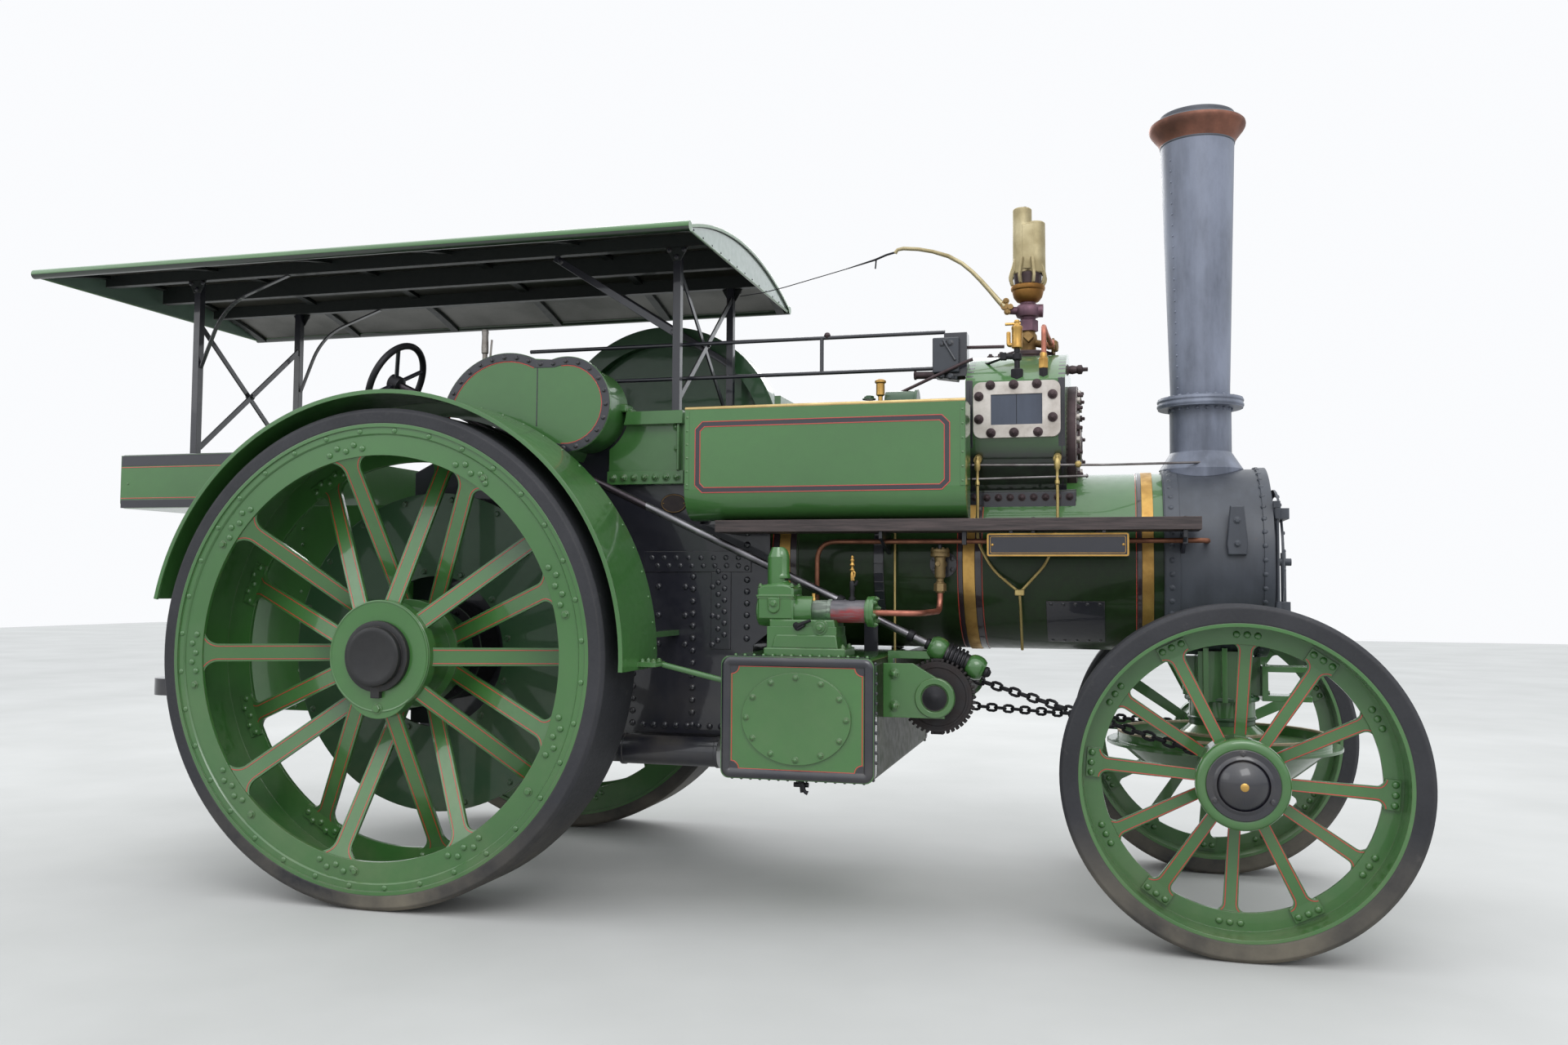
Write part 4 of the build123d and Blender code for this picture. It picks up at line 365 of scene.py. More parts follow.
def streaks_and_painted_top(name, top, side, worn):
    """Rubbed casting: one colour where the surface faces up and another at the side, as painted light on the
    top; bare streaks of wear along it.
    """
    graph = Graph(name)
    streak = graph.ramp(graph.noise(22.0, 7.0, (0.18, 1.0, 1.0), 0.62), 0.47, 0.6)
    patch = graph.ramp(graph.noise(9.0, 6.0), 0.42, 0.62)
    above = graph.ramp(graph.plus(graph.up(), graph.times(patch, 0.5)), 0.15, 0.55)
    base = graph.mix(above, side, top)
    base = graph.mix(graph.times(streak, 0.75), base, worn)
    graph.give("Base Color", base)
    graph.give("Roughness", graph.plus(graph.times(patch, 0.2), 0.42))
    graph.give("Normal", graph.bump(streak, 0.2, 0.001))
    return graph.material


# Pump barrel and sleeve: the top colour is painted light, a pale painted sheen on the sleeve; the bare
# streaks are wear.
red_streaks_and_painted_top = streaks_and_painted_top("barrel_streaks_and_painted_top", rgb(64, 64, 70), rgb(132, 46, 50), rgb(104, 100, 104))
sleeve_sheen_and_streaks = streaks_and_painted_top("sleeve_streaks_and_painted_sheen", rgb(150, 160, 148), rgb(84, 124, 84), rgb(52, 60, 52))


def painted_shade_below(graph, base):
    """Painted shade: near-black where a sheet faces down."""
    return graph.mix(graph.math("LESS_THAN", graph.up(), -0.2), base, rgb(13, 22, 15))


def polished_ahead(graph, base):
    """Brown-grey bar behind one place along X, bright ahead of it, with rubbed lengths."""
    ahead = graph.math("GREATER_THAN", graph.geometry("Position", 0), 0.028)
    rubbed = graph.mix(graph.ramp(graph.noise(2.6, 3.0), 0.42, 0.6), rgb(92, 90, 94), rgb(152, 150, 154))
    return graph.mix(ahead, base, rubbed)


def shaded_side(graph, base):
    """Painted shade: darker green on the drum's sides and below, as light as the rest on top."""
    return graph.mix(graph.ramp(graph.up(), 0.2, 0.5), rgb(27, 42, 20), base)


def shaded_below(graph, base):
    """Painted shade: near-black green under the valve chests."""
    return graph.mix(graph.ramp(graph.geometry("Position", 2), 1.93, 2.02), rgb(18, 26, 18), base)


def painted_shade_ahead(graph, base):
    """Painted shade: dark brownish green where a sheet faces forward."""
    return graph.mix(graph.math("GREATER_THAN", graph.geometry("Normal", 0), 0.7), base, rgb(34, 36, 26))


def dull_where(material, output, axis, limit, fade=0.01, least=0.04):
    """Take the varnish's shine off where the surface faces one way."""
    tree = material.node_tree
    shader = tree.nodes["Principled BSDF"]
    split = tree.nodes.new("ShaderNodeSeparateXYZ")
    tree.links.new(tree.nodes.new("ShaderNodeNewGeometry").outputs[output], split.inputs[0])
    for socket, full in (("Coat Weight", 0.8), ("Specular IOR Level", 0.5)):
        node = tree.nodes.new("ShaderNodeMapRange")
        node.inputs["From Min"].default_value = limit
        node.inputs["From Max"].default_value = limit + fade
        node.inputs["To Min"].default_value = full
        node.inputs["To Max"].default_value = least
        tree.links.new(split.outputs[axis], node.inputs["Value"])
        tree.links.new(node.outputs["Result"], shader.inputs[socket])


# roof_green: painted shade on its downward faces.
roof_green = paint("roof_green", GREEN_COLOR, paint_over=painted_shade_below)
# drum_green: painted shade on the drum's sides and below.
drum_green = paint("drum_green", GREEN_COLOR, paint_over=shaded_side)
# chest_green: painted shade below the valve chests.
chest_green = paint("chest_green", GREEN_COLOR, paint_over=shaded_below)
# tank_green: painted shade on its forward faces.
tank_green = paint("tank_green", GREEN_COLOR, paint_over=painted_shade_ahead)
dull_where(tank_green, "Normal", 0, 0.7)
dull_where(drum_green, "Normal", 2, 0.45, -0.25, 0.2)
dark_iron = metal("dark_iron", rgb(44, 42, 44), rough=0.5, tarnish=rgb(56, 44, 40), metallic=0.4)
column_bar = metal("column_bar", rgb(84, 78, 82), rough=0.26, tarnish=rgb(58, 52, 56), over=polished_ahead)

NODE_LOOKS = {
    "paint_green": green, "paint_dark_green": dark_green, "paint_black": black,
    "smokebox_black": smoke_black, "steel": steel, "cast_iron": iron, "brass": brass,
    "copper": copper, "rubber": tyre_rubber, "wood": plank,
}


def dress(node, material):
    """Give one CAD node another material."""
    mesh = frame["nodes"][node].data
    mesh.materials.clear()
    mesh.materials.append(material)


for entry in frame["record"]["subparts"]:
    dress(entry["node"], NODE_LOOKS[entry["material_slot"]])
dress("chimney", funnel_grey)
dress("canopy_roof", roof_green)
dress("canopy_beams", beam_green)
dress("steering_column", column_bar)
dress("boiler_barrel", drum_green)
dress("cylinder_block", chest_green)
dress("belly_tank", tank_green)
dress("chain_roller", dark_iron)
dress("cylinder_covers", chest_steel)
for side_name in ("right", "left"):
    dress(f"rear_hub_cap_{side_name}", matte_black)


# Shapes
class Shape:
    """Points and faces of one piece, gathered from many small forms."""

    def __init__(self):
        self.points = []
        self.faces = []

    def add(self, points, faces, place=None):
        place = place or Matrix.Identity(4)
        start = len(self.points)
        self.points += [place @ Vector(point) for point in points]
        mirrored = place.determinant() < 0.0
        for face in faces:
            order = reversed(face) if mirrored else face
            self.faces.append([start + index for index in order])

    def lathe(self, profile, place=None, steps=32, closed=False):
        """Turn (radius, height) points about the local Z axis, outside on the right of the way up."""
        points, rows = [], []
        for radius, height in profile:
            count = steps if radius > 1e-6 else 1
            rows.append(range(len(points), len(points) + count))
            for index in range(count):
                angle = TURN * index / steps
                points.append((radius * math.cos(angle), radius * math.sin(angle), height))
        faces = []
        pairs = list(zip(rows, rows[1:])) + ([(rows[-1], rows[0])] if closed else [])
        for low, high in pairs:
            for index in range(steps):
                after = (index + 1) % steps
                ring_face = [low[index % len(low)], low[after % len(low)],
                             high[after % len(high)], high[index % len(high)]]
                face = list(dict.fromkeys(ring_face))
                if len(face) > 2:
                    faces.append(face)
        self.add(points, faces, place)

    def tube(self, path, radius, sides=10, closed=False):
        """Round rod or pipe along points, with its ends shut."""
        path = [Vector(point) for point in path]
        count = len(path)
        points = []
        side = None
        for index, point in enumerate(path):
            before = path[index - 1] if index or closed else point
            after = path[(index + 1) % count] if index < count - 1 or closed else point
            along = (after - before).normalized()
            if side is None:
                side = along.orthogonal().normalized()
            side = (side - along * side.dot(along)).normalized()
            other = along.cross(side)
            size = radius[index] if isinstance(radius, (list, tuple)) else radius
            for step in range(sides):
                angle = TURN * step / sides
                points.append(point + size * (math.cos(angle) * side + math.sin(angle) * other))
        faces = []
        for index in range(count if closed else count - 1):
            low = index * sides
            high = (index + 1) % count * sides
            for step in range(sides):
                after = (step + 1) % sides
                faces.append([low + step, low + after, high + after, high + step])
        if not closed:
            faces.append(list(reversed(range(sides))))
            faces.append(list(range((count - 1) * sides, count * sides)))
        self.add(points, faces)

    def rod(self, path, radius, sides=10):
        """Rod or pipe along points whose x is measured from the rear axle."""
        self.tube([(ex(x), y, z) for x, y, z in path], radius, sides)

    def block(self, low, high, edge=0.002, place=None):
        """Box between two corners with all its edges cut back."""
        points = []
        for corner in range(8):
            sides = [(corner >> axis) & 1 for axis in range(3)]
            for axis in range(3):
                point = []
                for other in range(3):
                    end = high[other] if sides[other] else low[other]
                    inward = -edge if sides[other] else edge
                    point.append(end if other == axis else end + inward)
                points.append(point)
        self.add(points, BLOCK_FACES, place)

    def prism(self, outline, low, high, edge=0.0, place=None):
        """Flat form from an outline that runs anticlockwise, with its upper edge cut back."""
        count = len(outline)
        rings = [(outline, low), (outline, high - edge)]
        if edge:
            rings.append((offset(outline, edge, True), high))
        points = [(x, y, height) for line, height in rings for x, y in line]
        faces = [list(reversed(range(count)))]
        for level in range(len(rings) - 1):
            for index in range(count):
                after = (index + 1) % count
                base = level * count
                faces.append([base + index, base + after, base + count + after, base + count + index])
        faces.append(list(range((len(rings) - 1) * count, len(rings) * count)))
        self.add(points, faces, place)

    def stripe(self, path, width, low, high, place=None, closed=True):
        """Thin raised line of one width along flat points."""
        left = offset(path, width / 2.0, closed)
        right = offset(path, -width / 2.0, closed)
        count = len(path)
        points = ([(x, y, high) for x, y in left] + [(x, y, high) for x, y in right]
                  + [(x, y, low) for x, y in left] + [(x, y, low) for x, y in right])
        faces = []
        for index in range(count if closed else count - 1):
            after = (index + 1) % count
            faces.append([index, count + index, count + after, after])
            faces.append([2 * count + index, index, after, 2 * count + after])
            faces.append([count + index, 3 * count + index, 3 * count + after, count + after])
        self.add(points, faces, place)

    def rim(self, outline, profile, base, place):
        """Rounded border: rows of (way inwards, height) swept round a closed outline."""
        count = len(outline)
        points, faces = [], []
        for inset, height in profile:
            points += [(x, y, base + height) for x, y in offset(outline, inset, True)]
        for row in range(len(profile) - 1):
            for index in range(count):
                after = (index + 1) % count
                low = row * count
                faces.append([low + index, low + after, low + count + after, low + count + index])
        self.add(points, faces, place)

    def rivet(self, place, radius, height):
        """Round rivet head."""
        self.lathe([(radius, -0.001), (radius * 0.93, height * 0.35), (radius * 0.7, height * 0.78),
                    (radius * 0.36, height * 0.97), (0.0, height)], place, 10)

    def bolt(self, place, radius, height, washer=True, stud=0.0):
        """Hexagon head, on a washer and with a stud's end where asked."""
        if washer:
            self.lathe([(radius * 1.35, -0.001), (radius * 1.35, height * 0.2),
                        (radius * 0.9, height * 0.24)], place, 16)
        self.prism(hexagon(radius), 0.0, height, radius * 0.14, place)
        if stud:
            self.lathe([(radius * 0.55, height - 0.001), (radius * 0.55, height + stud * 0.75),
                        (radius * 0.35, height + stud), (0.0, height + stud)], place, 10)


def shapes(count):
    """Several empty shapes."""
    return [Shape() for _ in range(count)]


def block_faces():
    """Faces of a box whose corners each have three points, one on each side's plane."""
    faces = []
    for axis in range(3):
        first, second = (axis + 1) % 3, (axis + 2) % 3
        for end in (0, 1):
            round_way = [(0, 0), (1, 0), (1, 1), (0, 1)]
            if not end:
                round_way.reverse()
            corners = [end << axis | a << first | b << second for a, b in round_way]
            faces.append([corner * 3 + axis for corner in corners])
        for a in (0, 1):
            for b in (0, 1):
                low = a << first | b << second
                high = low | 1 << axis
                face = [low * 3 + first, high * 3 + first, high * 3 + second, low * 3 + second]
                faces.append(face if a != b else face[::-1])
    for corner in range(8):
        face = [corner * 3, corner * 3 + 1, corner * 3 + 2]
        odd = sum((corner >> axis) & 1 for axis in range(3)) % 2
        faces.append(face if odd else face[::-1])
    return faces


BLOCK_FACES = block_faces()


def offset(path, distance, closed):
    """Flat points moved to the left of their way by one distance, with mitred corners."""
    count = len(path)
    moved = []
    for index, (x, y) in enumerate(path):
        here = Vector((x, y))
        before = Vector(path[index - 1]) if index or closed else None
        after = Vector(path[(index + 1) % count]) if index < count - 1 or closed else None
        into = (here - before).normalized() if before is not None else (after - here).normalized()
        out = (after - here).normalized() if after is not None else into
        normal = Vector((-into.y - out.y, into.x + out.x)).normalized()
        reach = distance / max(0.35, normal.dot(Vector((-into.y, into.x))))
        moved.append((x + normal.x * reach, y + normal.y * reach))
    return moved


def arc(middle, radius, start, end, steps=8):
    """Flat points along part of a circle, angles in degrees."""
    angles = [math.radians(start + (end - start) * index / steps) for index in range(steps + 1)]
    return [(middle[0] + radius * math.cos(angle), middle[1] + radius * math.sin(angle))
            for angle in angles]


def rounded(x0, x1, y0, y1, radius, steps=6):
    """Rectangle with round corners, anticlockwise."""
    corners = ((x1 - radius, y1 - radius, 0), (x0 + radius, y1 - radius, 90),
               (x0 + radius, y0 + radius, 180), (x1 - radius, y0 + radius, 270))
    return [point for x, y, start in corners for point in arc((x, y), radius, start, start + 90, steps)]


def bent(path, radius, steps=6):
    """Pipe route with its corners turned into arcs."""
    path = [Vector(point) for point in path]
    smooth = [path[0]]
    for before, here, after in zip(path, path[1:], path[2:]):
        reach = min(radius, 0.45 * (before - here).length, 0.45 * (after - here).length)
        start = here + (before - here).normalized() * reach
        end = here + (after - here).normalized() * reach
        for index in range(steps + 1):
            share = index / steps
            smooth.append((1 - share) ** 2 * start + 2 * share * (1 - share) * here + share ** 2 * end)
    smooth.append(path[-1])
    return smooth


AHEAD = (1.0, 0.0, 0.0)
UP = (0.0, 0.0, 1.0)
OUTWARD = (0.0, -1.0, 0.0)     # out of the right side


def at(x, y, z):
    """Place moved to a point and not turned."""
    return Matrix.Translation((x, y, z))


def along_x(x=0.0, y=0.0, z=0.0):
    """Place whose local Z runs forward."""
    return at(x, y, z) @ Matrix.Rotation(math.pi / 2.0, 4, "Y")


def along_right(x, y, z):
    """Place whose local Z runs out to the right."""
    return at(x, y, z) @ Matrix.Rotation(math.pi / 2.0, 4, "X")


def facing(x, y, z, out, spin=0.0):
    """Place whose local Z points outwards."""
    turned = Vector(out).to_track_quat("Z", "Y").to_matrix().to_4x4()
    return at(x, y, z) @ turned @ Matrix.Rotation(math.radians(spin), 4, "Z")


def side_face(side, y=0.0):
    """Place for flat forms drawn as (x, z) on one side of the engine, with Z as the height outwards."""
    return Matrix(((1, 0, 0, 0), (0, 0, side, side * y), (0, 1, 0, 0), (0, 0, 0, 1)))


def wheel_place(tyre, side):
    """Place in a wheel: flat forms in its plane about the axle, height measured from the middle."""
    return at(tyre.x, 0.0, tyre.z) @ side_face(side)


def polar(radius, angle):
    """Flat point at an angle in degrees."""
    return radius * math.cos(math.radians(angle)), radius * math.sin(math.radians(angle))


def on(place, point, height, spin=0.0):
    """Place at a flat point of another place."""
    return (place @ at(point[0], point[1], height)
            @ Matrix.Rotation(math.radians(spin), 4, "Z"))


def piece(name, shape, material, slot=None, body="chassis", angle=35.0):
    """Turn a shape into an object that rides on a body. The slot argument is not used."""
    mesh = bpy.data.meshes.new(name)
    mesh.from_pydata(shape.points, [], shape.faces)
    mesh.materials.append(material)
    mesh.shade_smooth()
    mesh.set_sharp_from_angle(angle=math.radians(angle))
    item = bpy.data.objects.new(name, mesh)
    bpy.context.scene.collection.objects.link(item)
    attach(item, body)
    slot or material.name.split(".")[0]
    return item


def ex(value):
    """A place along X that is measured from the rear axle."""
    return rear.x + value


def from_axle(points):
    """Flat (x, z) points whose x is measured from the rear axle."""
    return [(ex(x), z) for x, z in points]


def route_at(y, points):
    """Route in one upright plane along the engine, x measured from the rear axle."""
    return [(ex(x), y, z) for x, z in points]


def rectangle(x0, x1, z0, z1):
    """Plain rectangle, anticlockwise."""
    return [(x0, z0), (x1, z0), (x1, z1), (x0, z1)]


def oval(x, z, across, high, steps):
    """Ellipse round a flat point, anticlockwise."""
    return [(x + across * math.cos(TURN * k / steps), z + high * math.sin(TURN * k / steps))
            for k in range(steps)]


def hexagon(radius, spin=0.0):
    """Six-sided outline about the middle."""
    return [polar(radius, index * 60.0 + spin) for index in range(6)]


def spaced(outline, pitch, closed):
    """Spots at one pitch along an outline, each with its way and its distance from the last corner."""
    run, last = 0.0, outline[-1] if closed else outline[0]
    for point in outline if closed else outline[1:]:
        step = Vector(point) - Vector(last)
        here = 0.0
        while run + step.length - here > pitch:
            here += pitch - run
            run = 0.0
            yield Vector(last) + step.normalized() * here, step.normalized(), here
        run += step.length - here
        last = point


# Wheels
REAR_FACE = -rear.y0
REAR_BACK = -rear.y1
FRONT_FACE = -front.y0
FRONT_BACK = -front.y1
LINE = 0.0038
PROUD = 0.0009


def lined_spoke(shape, blade, length, half, flare, start, inset, wall):
    """Red line along both edges of a spoke, out round its flared root."""
    for side in (1.0, -1.0):
        middle = (length - flare, half + flare)
        curve = arc(middle, flare + inset, -90.0, -4.0, 8)
        path = [(start, half - inset)] + curve
        path = [(x, side * y) for x, y in path]
        shape.stripe(path, LINE, wall / 2.0 - 0.0006, wall / 2.0 + PROUD, blade, closed=False)


def blade_place(place, angle, inner, outer):
    """Place along one spoke, from its hub end (radius, height) to its ring end."""
    lean = math.atan2(outer[1] - inner[1], outer[0] - inner[0])
    return (place @ Matrix.Rotation(math.radians(angle), 4, "Z")
            @ at(inner[0], 0.0, inner[1]) @ Matrix.Rotation(-lean, 4, "Y"))


REAR_SPOKES = 9
REAR_STEP = 360.0 / REAR_SPOKES
REAR_HALF = 0.039
REAR_FLARE = 0.058
REAR_SPOKE_WALL = 0.014
REAR_HUB = 0.205
REAR_RING = 0.855
REAR_LIP = REAR_FACE - 0.007
REAR_WEB = REAR_FACE - 0.014
REAR_FOOT = REAR_BACK + 0.037
OUTER_ENDS = ((REAR_HUB, REAR_BACK + 0.031), (REAR_RING, REAR_FACE - 0.03))
INNER_ENDS = ((REAR_HUB, REAR_FACE - 0.086), (REAR_RING, REAR_BACK + 0.03))
REAR_BOLTS = (12.0, 56.0, 148.0, 189.0, 230.0, 266.0, 324.0)


def rear_rivets(place):
    """Rivets and bolts of a rear wheel's lip, rings and spoke roots."""
    shape = Shape()
    for index in range(36):
        shape.rivet(on(place, polar(0.96, 5.0 + index * 10.0), REAR_LIP), 0.0125, 0.006)
    for cluster in range(REAR_SPOKES):
        for index in range(5):
            turn = (index - 2) * 2.6
            radius = 0.898 + (0.01 if index % 2 else -0.01)
            shape.rivet(on(place, polar(radius, 180.0 + cluster * REAR_STEP + turn), REAR_WEB), 0.0145, 0.01)
            inner_spot = polar(radius, cluster * REAR_STEP + turn)
            shape.rivet(on(place, inner_spot, REAR_FOOT), 0.0145, 0.01)
            back_spot = on(place, inner_spot, REAR_BACK + 0.014) @ Matrix.Rotation(math.pi, 4, "X")
            shape.rivet(back_spot, 0.0145, 0.01)
    for angle in REAR_BOLTS:
        shape.bolt(on(place, polar(0.9, angle), REAR_WEB, angle), 0.0135, 0.011)
    return shape


def rear_bead(place):
    """Rolled edge of the rim and the step behind it."""
    shape = Shape()
    shape.lathe([(0.9745, REAR_FACE - 0.006), (0.978, REAR_FACE - 0.001), (0.984, REAR_FACE),
                 (0.9895, REAR_FACE - 0.002), (0.9895, REAR_FACE - 0.012), (0.9745, REAR_FACE - 0.012)],
                place, 128, closed=True)
    shape.lathe([(0.9465, REAR_WEB - 0.001), (0.94, REAR_WEB - 0.001), (0.9435, REAR_WEB + 0.0045),
                 (0.9465, REAR_LIP + 0.0005)], place, 128)
    return shape


def rear_lining(place):
    """Red lines on both sets of spokes."""
    shape = Shape()
    length = math.hypot(REAR_RING - REAR_HUB, OUTER_ENDS[1][1] - OUTER_ENDS[0][1])
    for index in range(REAR_SPOKES):
        for ends, angle in ((OUTER_ENDS, 180.0), (INNER_ENDS, 0.0)):
            blade = blade_place(place, angle + index * REAR_STEP, *ends)
            lined_spoke(shape, blade, length, REAR_HALF, REAR_FLARE, 0.034, 0.011, REAR_SPOKE_WALL)
    return shape


def rear_hub_trim(place):
    """Lug bolt and the raised blank ring of a rear hub."""
    shape = Shape()
    face = REAR_FACE - 0.055
    shape.bolt(on(place, (0.0, -0.222), face), 0.018, 0.014)
    shape.lathe([(0.2385, face - 0.004), (0.2385, face + 0.001), (0.234, face + 0.003),
                 (0.229, face + 0.0005)], place, 96)
    return shape


def rear_cap_trim(place):
    """Rounded edge, collar step and key of the black hub cap."""
    shape = Shape()
    face = REAR_FACE - 0.055
    shape.lathe([(0.1505, face + 0.001), (0.1515, face + 0.012), (0.15, face + 0.021),
                 (0.145, face + 0.0235), (0.126, face + 0.0235)], place, 72)
    shape.lathe([(0.1255, face + 0.02), (0.126, face + 0.04), (0.124, face + 0.047),
                 (0.118, face + 0.0515), (0.104, face + 0.0522), (0.099, face + 0.0505),
                 (0.0, face + 0.0505)], place, 72)
    shape.block((-0.021, -0.176, face - 0.002), (0.021, -0.128, face + 0.024), 0.002, place)
    return shape


# Trim of a wheel: piece, function, material, slot, angle of sharp edges
REAR_TRIM = (
    ("rivets", rear_rivets, green, "paint_green", 35.0), ("bead", rear_bead, green, "paint_green", 50.0),
    ("lining", rear_lining, red_line, "paint_green", 35.0),
    ("hub_trim", rear_hub_trim, green, "paint_green", 35.0),
    ("cap_trim", rear_cap_trim, matte_black, "paint_black", 35.0),
)


FRONT_SPOKES = 12
FRONT_STEP = 360.0 / FRONT_SPOKES
FRONT_START = -4.0
FRONT_HALF = 0.028
FRONT_FLARE = 0.027
FRONT_SPOKE_WALL = 0.012
FRONT_HUB = 0.14
FRONT_RING = 0.5
FRONT_MIDDLE = (FRONT_FACE + FRONT_BACK) / 2.0
FRONT_HUB_FACE = FRONT_FACE + 0.068


def front_ends(out):
    """Hub end and ring end of a front spoke on one face of its ring."""
    return ((FRONT_HUB, FRONT_MIDDLE + out * 0.042), (FRONT_RING, FRONT_MIDDLE + out * 0.013))


def front_rivets(place):
    """Three rivets on each spoke root, with heads on both sides."""
    shape = Shape()
    for index in range(FRONT_SPOKES):
        out = 1.0 if index % 2 == 0 else -1.0
        high = FRONT_MIDDLE + (0.019 if out > 0.0 else 0.007)
        low = FRONT_MIDDLE - (0.007 if out > 0.0 else 0.019)
        for step in (-1, 0, 1):
            spot = polar(0.538, FRONT_START + index * FRONT_STEP + step * 4.05)
            shape.rivet(on(place, spot, high), 0.014, 0.01)
            shape.rivet(on(place, spot, low) @ Matrix.Rotation(math.pi, 4, "X"), 0.014, 0.01)
    return shape


def front_bead(place):
    """Rolled edge of the rim."""
    shape = Shape()
    shape.lathe([(0.569, FRONT_FACE - 0.006), (0.572, FRONT_FACE - 0.001), (0.577, FRONT_FACE),
                 (0.5825, FRONT_FACE - 0.002), (0.5825, FRONT_FACE - 0.012), (0.569, FRONT_FACE - 0.012)],
                place, 96, closed=True)
    return shape


def front_lining(place):
    """Red lines along the outer spokes' edges."""
    shape = Shape()
    for index in range(FRONT_SPOKES):
        out = 1.0 if index % 2 == 0 else -1.0
        inner, outer = front_ends(out)
        length = math.hypot(outer[0] - inner[0], outer[1] - inner[1])
        blade = blade_place(place, FRONT_START + index * FRONT_STEP, inner, outer)
        lined_spoke(shape, blade, length, FRONT_HALF, FRONT_FLARE, 0.02, 0.008, FRONT_SPOKE_WALL)
    return shape


def front_hub_trim(place):
    """Steps of the front hub behind its black disc."""
    shape = Shape()
    shape.lathe([(0.1502, FRONT_MIDDLE + 0.06), (0.1502, FRONT_HUB_FACE - 0.06),
                 (0.163, FRONT_HUB_FACE - 0.056), (0.166, FRONT_HUB_FACE - 0.048),
                 (0.166, FRONT_HUB_FACE - 0.016), (0.162, FRONT_HUB_FACE - 0.006),
                 (0.152, FRONT_HUB_FACE + 0.001), (0.132, FRONT_HUB_FACE + 0.002),
                 (0.127, FRONT_HUB_FACE - 0.001)], place, 72)
    for angle in range(0, 360, 60):
        shape.rivet(on(place, polar(0.1505, angle + 26.0), FRONT_HUB_FACE - 0.1), 0.001, 0.001)
    return shape


def front_cap_trim(place):
    """Bolted edge of the black hub disc and the step round its dome."""
    shape = Shape()
    disc = FRONT_HUB_FACE + 0.006
    shape.lathe([(0.1285, disc - 0.006), (0.129, disc - 0.001), (0.1265, disc + 0.001),
                 (0.106, disc + 0.002), (0.0985, disc + 0.008), (0.0925, disc + 0.0095),
                 (0.0905, disc + 0.004)], place, 72)
    for angle in (90.0, -30.0, 210.0):
        shape.bolt(on(place, polar(0.114, angle), disc, angle), 0.0085, 0.008)
    return shape


def front_oiler(place):
    """Brass oil plug in the middle of the dome."""
    shape = Shape()
    top = FRONT_HUB_FACE + 0.006 + 0.046
    shape.lathe([(0.015, top - 0.006), (0.015, top - 0.001), (0.012, top + 0.001), (0.0, top + 0.001)],
                place, 24)
    return shape


FRONT_TRIM = (
    ("rivets", front_rivets, green, "paint_green", 35.0), ("bead", front_bead, green, "paint_green", 50.0),
    ("lining", front_lining, red_line, "paint_green", 35.0),
    ("hub_trim", front_hub_trim, green, "paint_green", 35.0),
    ("cap_trim", front_cap_trim, black, "paint_black", 35.0), ("oiler", front_oiler, brass, "brass", 35.0),
)

for wheel_side, wheel_name in ((RIGHT, "right"), (LEFT, "left")):
    for wheel_end, tyre, trim in (("rear", rear, REAR_TRIM), ("front", front, FRONT_TRIM)):
        for kind, make, look, slot_name, sharp in trim:
            piece(f"{wheel_end}_{kind}_{wheel_name}", make(wheel_place(tyre, wheel_side)), look, slot_name,
                  f"{wheel_end}_wheel_{wheel_name}", sharp)


# Boiler, firebox and smokebox
def around(x, radius, angle):
    """Place on a drum about the boiler's axis, facing out; the angle rises from the right side."""
    turn = math.radians(angle)
    out = (0.0, -math.cos(turn), math.sin(turn))
    return facing(x, radius * out[1], barrel.z + radius * out[2], out)


def hoop(shape, x0, x1, radius, height):
    """Flat ring round the boiler between two places along X."""
    place = along_x(z=barrel.z)
    shape.lathe([(radius - 0.001, x0), (radius + height, x0 + 0.0008), (radius + height, x1 - 0.0008),
                 (radius - 0.001, x1)], place, 96)


BARREL_RADIUS = 0.391
BAND_HEIGHT = 0.004


def boiler_bands():
    """Brass shells over the boiler bands, with maroon-black and red lines beside them."""
    bright, dark, red = shapes(3)
    radius = BARREL_RADIUS + BAND_HEIGHT
    for x0, x1 in ((1.5815, 1.631), (2.396, 2.4475), (3.136, 3.183)):
        hoop(bright, ex(x0), ex(x1), radius, 0.0012)
    for x0, x1 in ((1.631, 1.66), (2.4475, 2.475), (3.1175, 3.136)):
        hoop(dark, ex(x0), ex(x1), radius, 0.001)
    for x0, x1 in ((1.551, 1.579), (2.375, 2.395)):
        hoop(dark, ex(x0), ex(x1), BARREL_RADIUS, 0.0008)
    for x in (1.549, 1.6625, 2.373, 2.4775, 3.1135):
        hoop(red, ex(x) - 0.0022, ex(x) + 0.0022, BARREL_RADIUS, 0.0009)
    piece("band_shells", bright, brass, angle=50.0)
    piece("band_borders", dark, band_maroon, "paint_black", angle=50.0)
    piece("band_lines", red, red_line, "paint_green", angle=50.0)


def boiler_patch():
    """Curved black plate low on the boiler's side."""
    shape = Shape()
    x0, x1 = ex(2.744), ex(2.985)
    low, high, steps = -62.0, -26.0, 8
    radius = BARREL_RADIUS + 0.005
    points, faces = [], []
    for index in range(steps + 1):
        angle = math.radians(low + (high - low) * index / steps)
        for reach in (radius - 0.006, radius):
            for x in (x0, x1):
                points.append((x, -reach * math.cos(angle), barrel.z + reach * math.sin(angle)))
    for index in range(steps):
        a, b = 4 * index, 4 * index + 4
        faces += [[a + 2, a + 3, b + 3, b + 2], [a, a + 2, b + 2, b], [a + 3, a + 1, b + 1, b + 3]]
    end = 4 * steps
    faces += [[0, 1, 3, 2], [end + 2, end + 3, end + 1, end]]
    shape.add(points, faces)
    for angle in (low + 2.0, high - 2.0):
        for index in range(5):
            shape.rivet(around(x0 + 0.02 + index * (x1 - x0 - 0.04) / 4.0, radius, angle), 0.007, 0.004)
    piece("boiler_patch", shape, black)


HORN_FACE = -horn.y0
RIVET = 0.0155
PITCH = 0.055


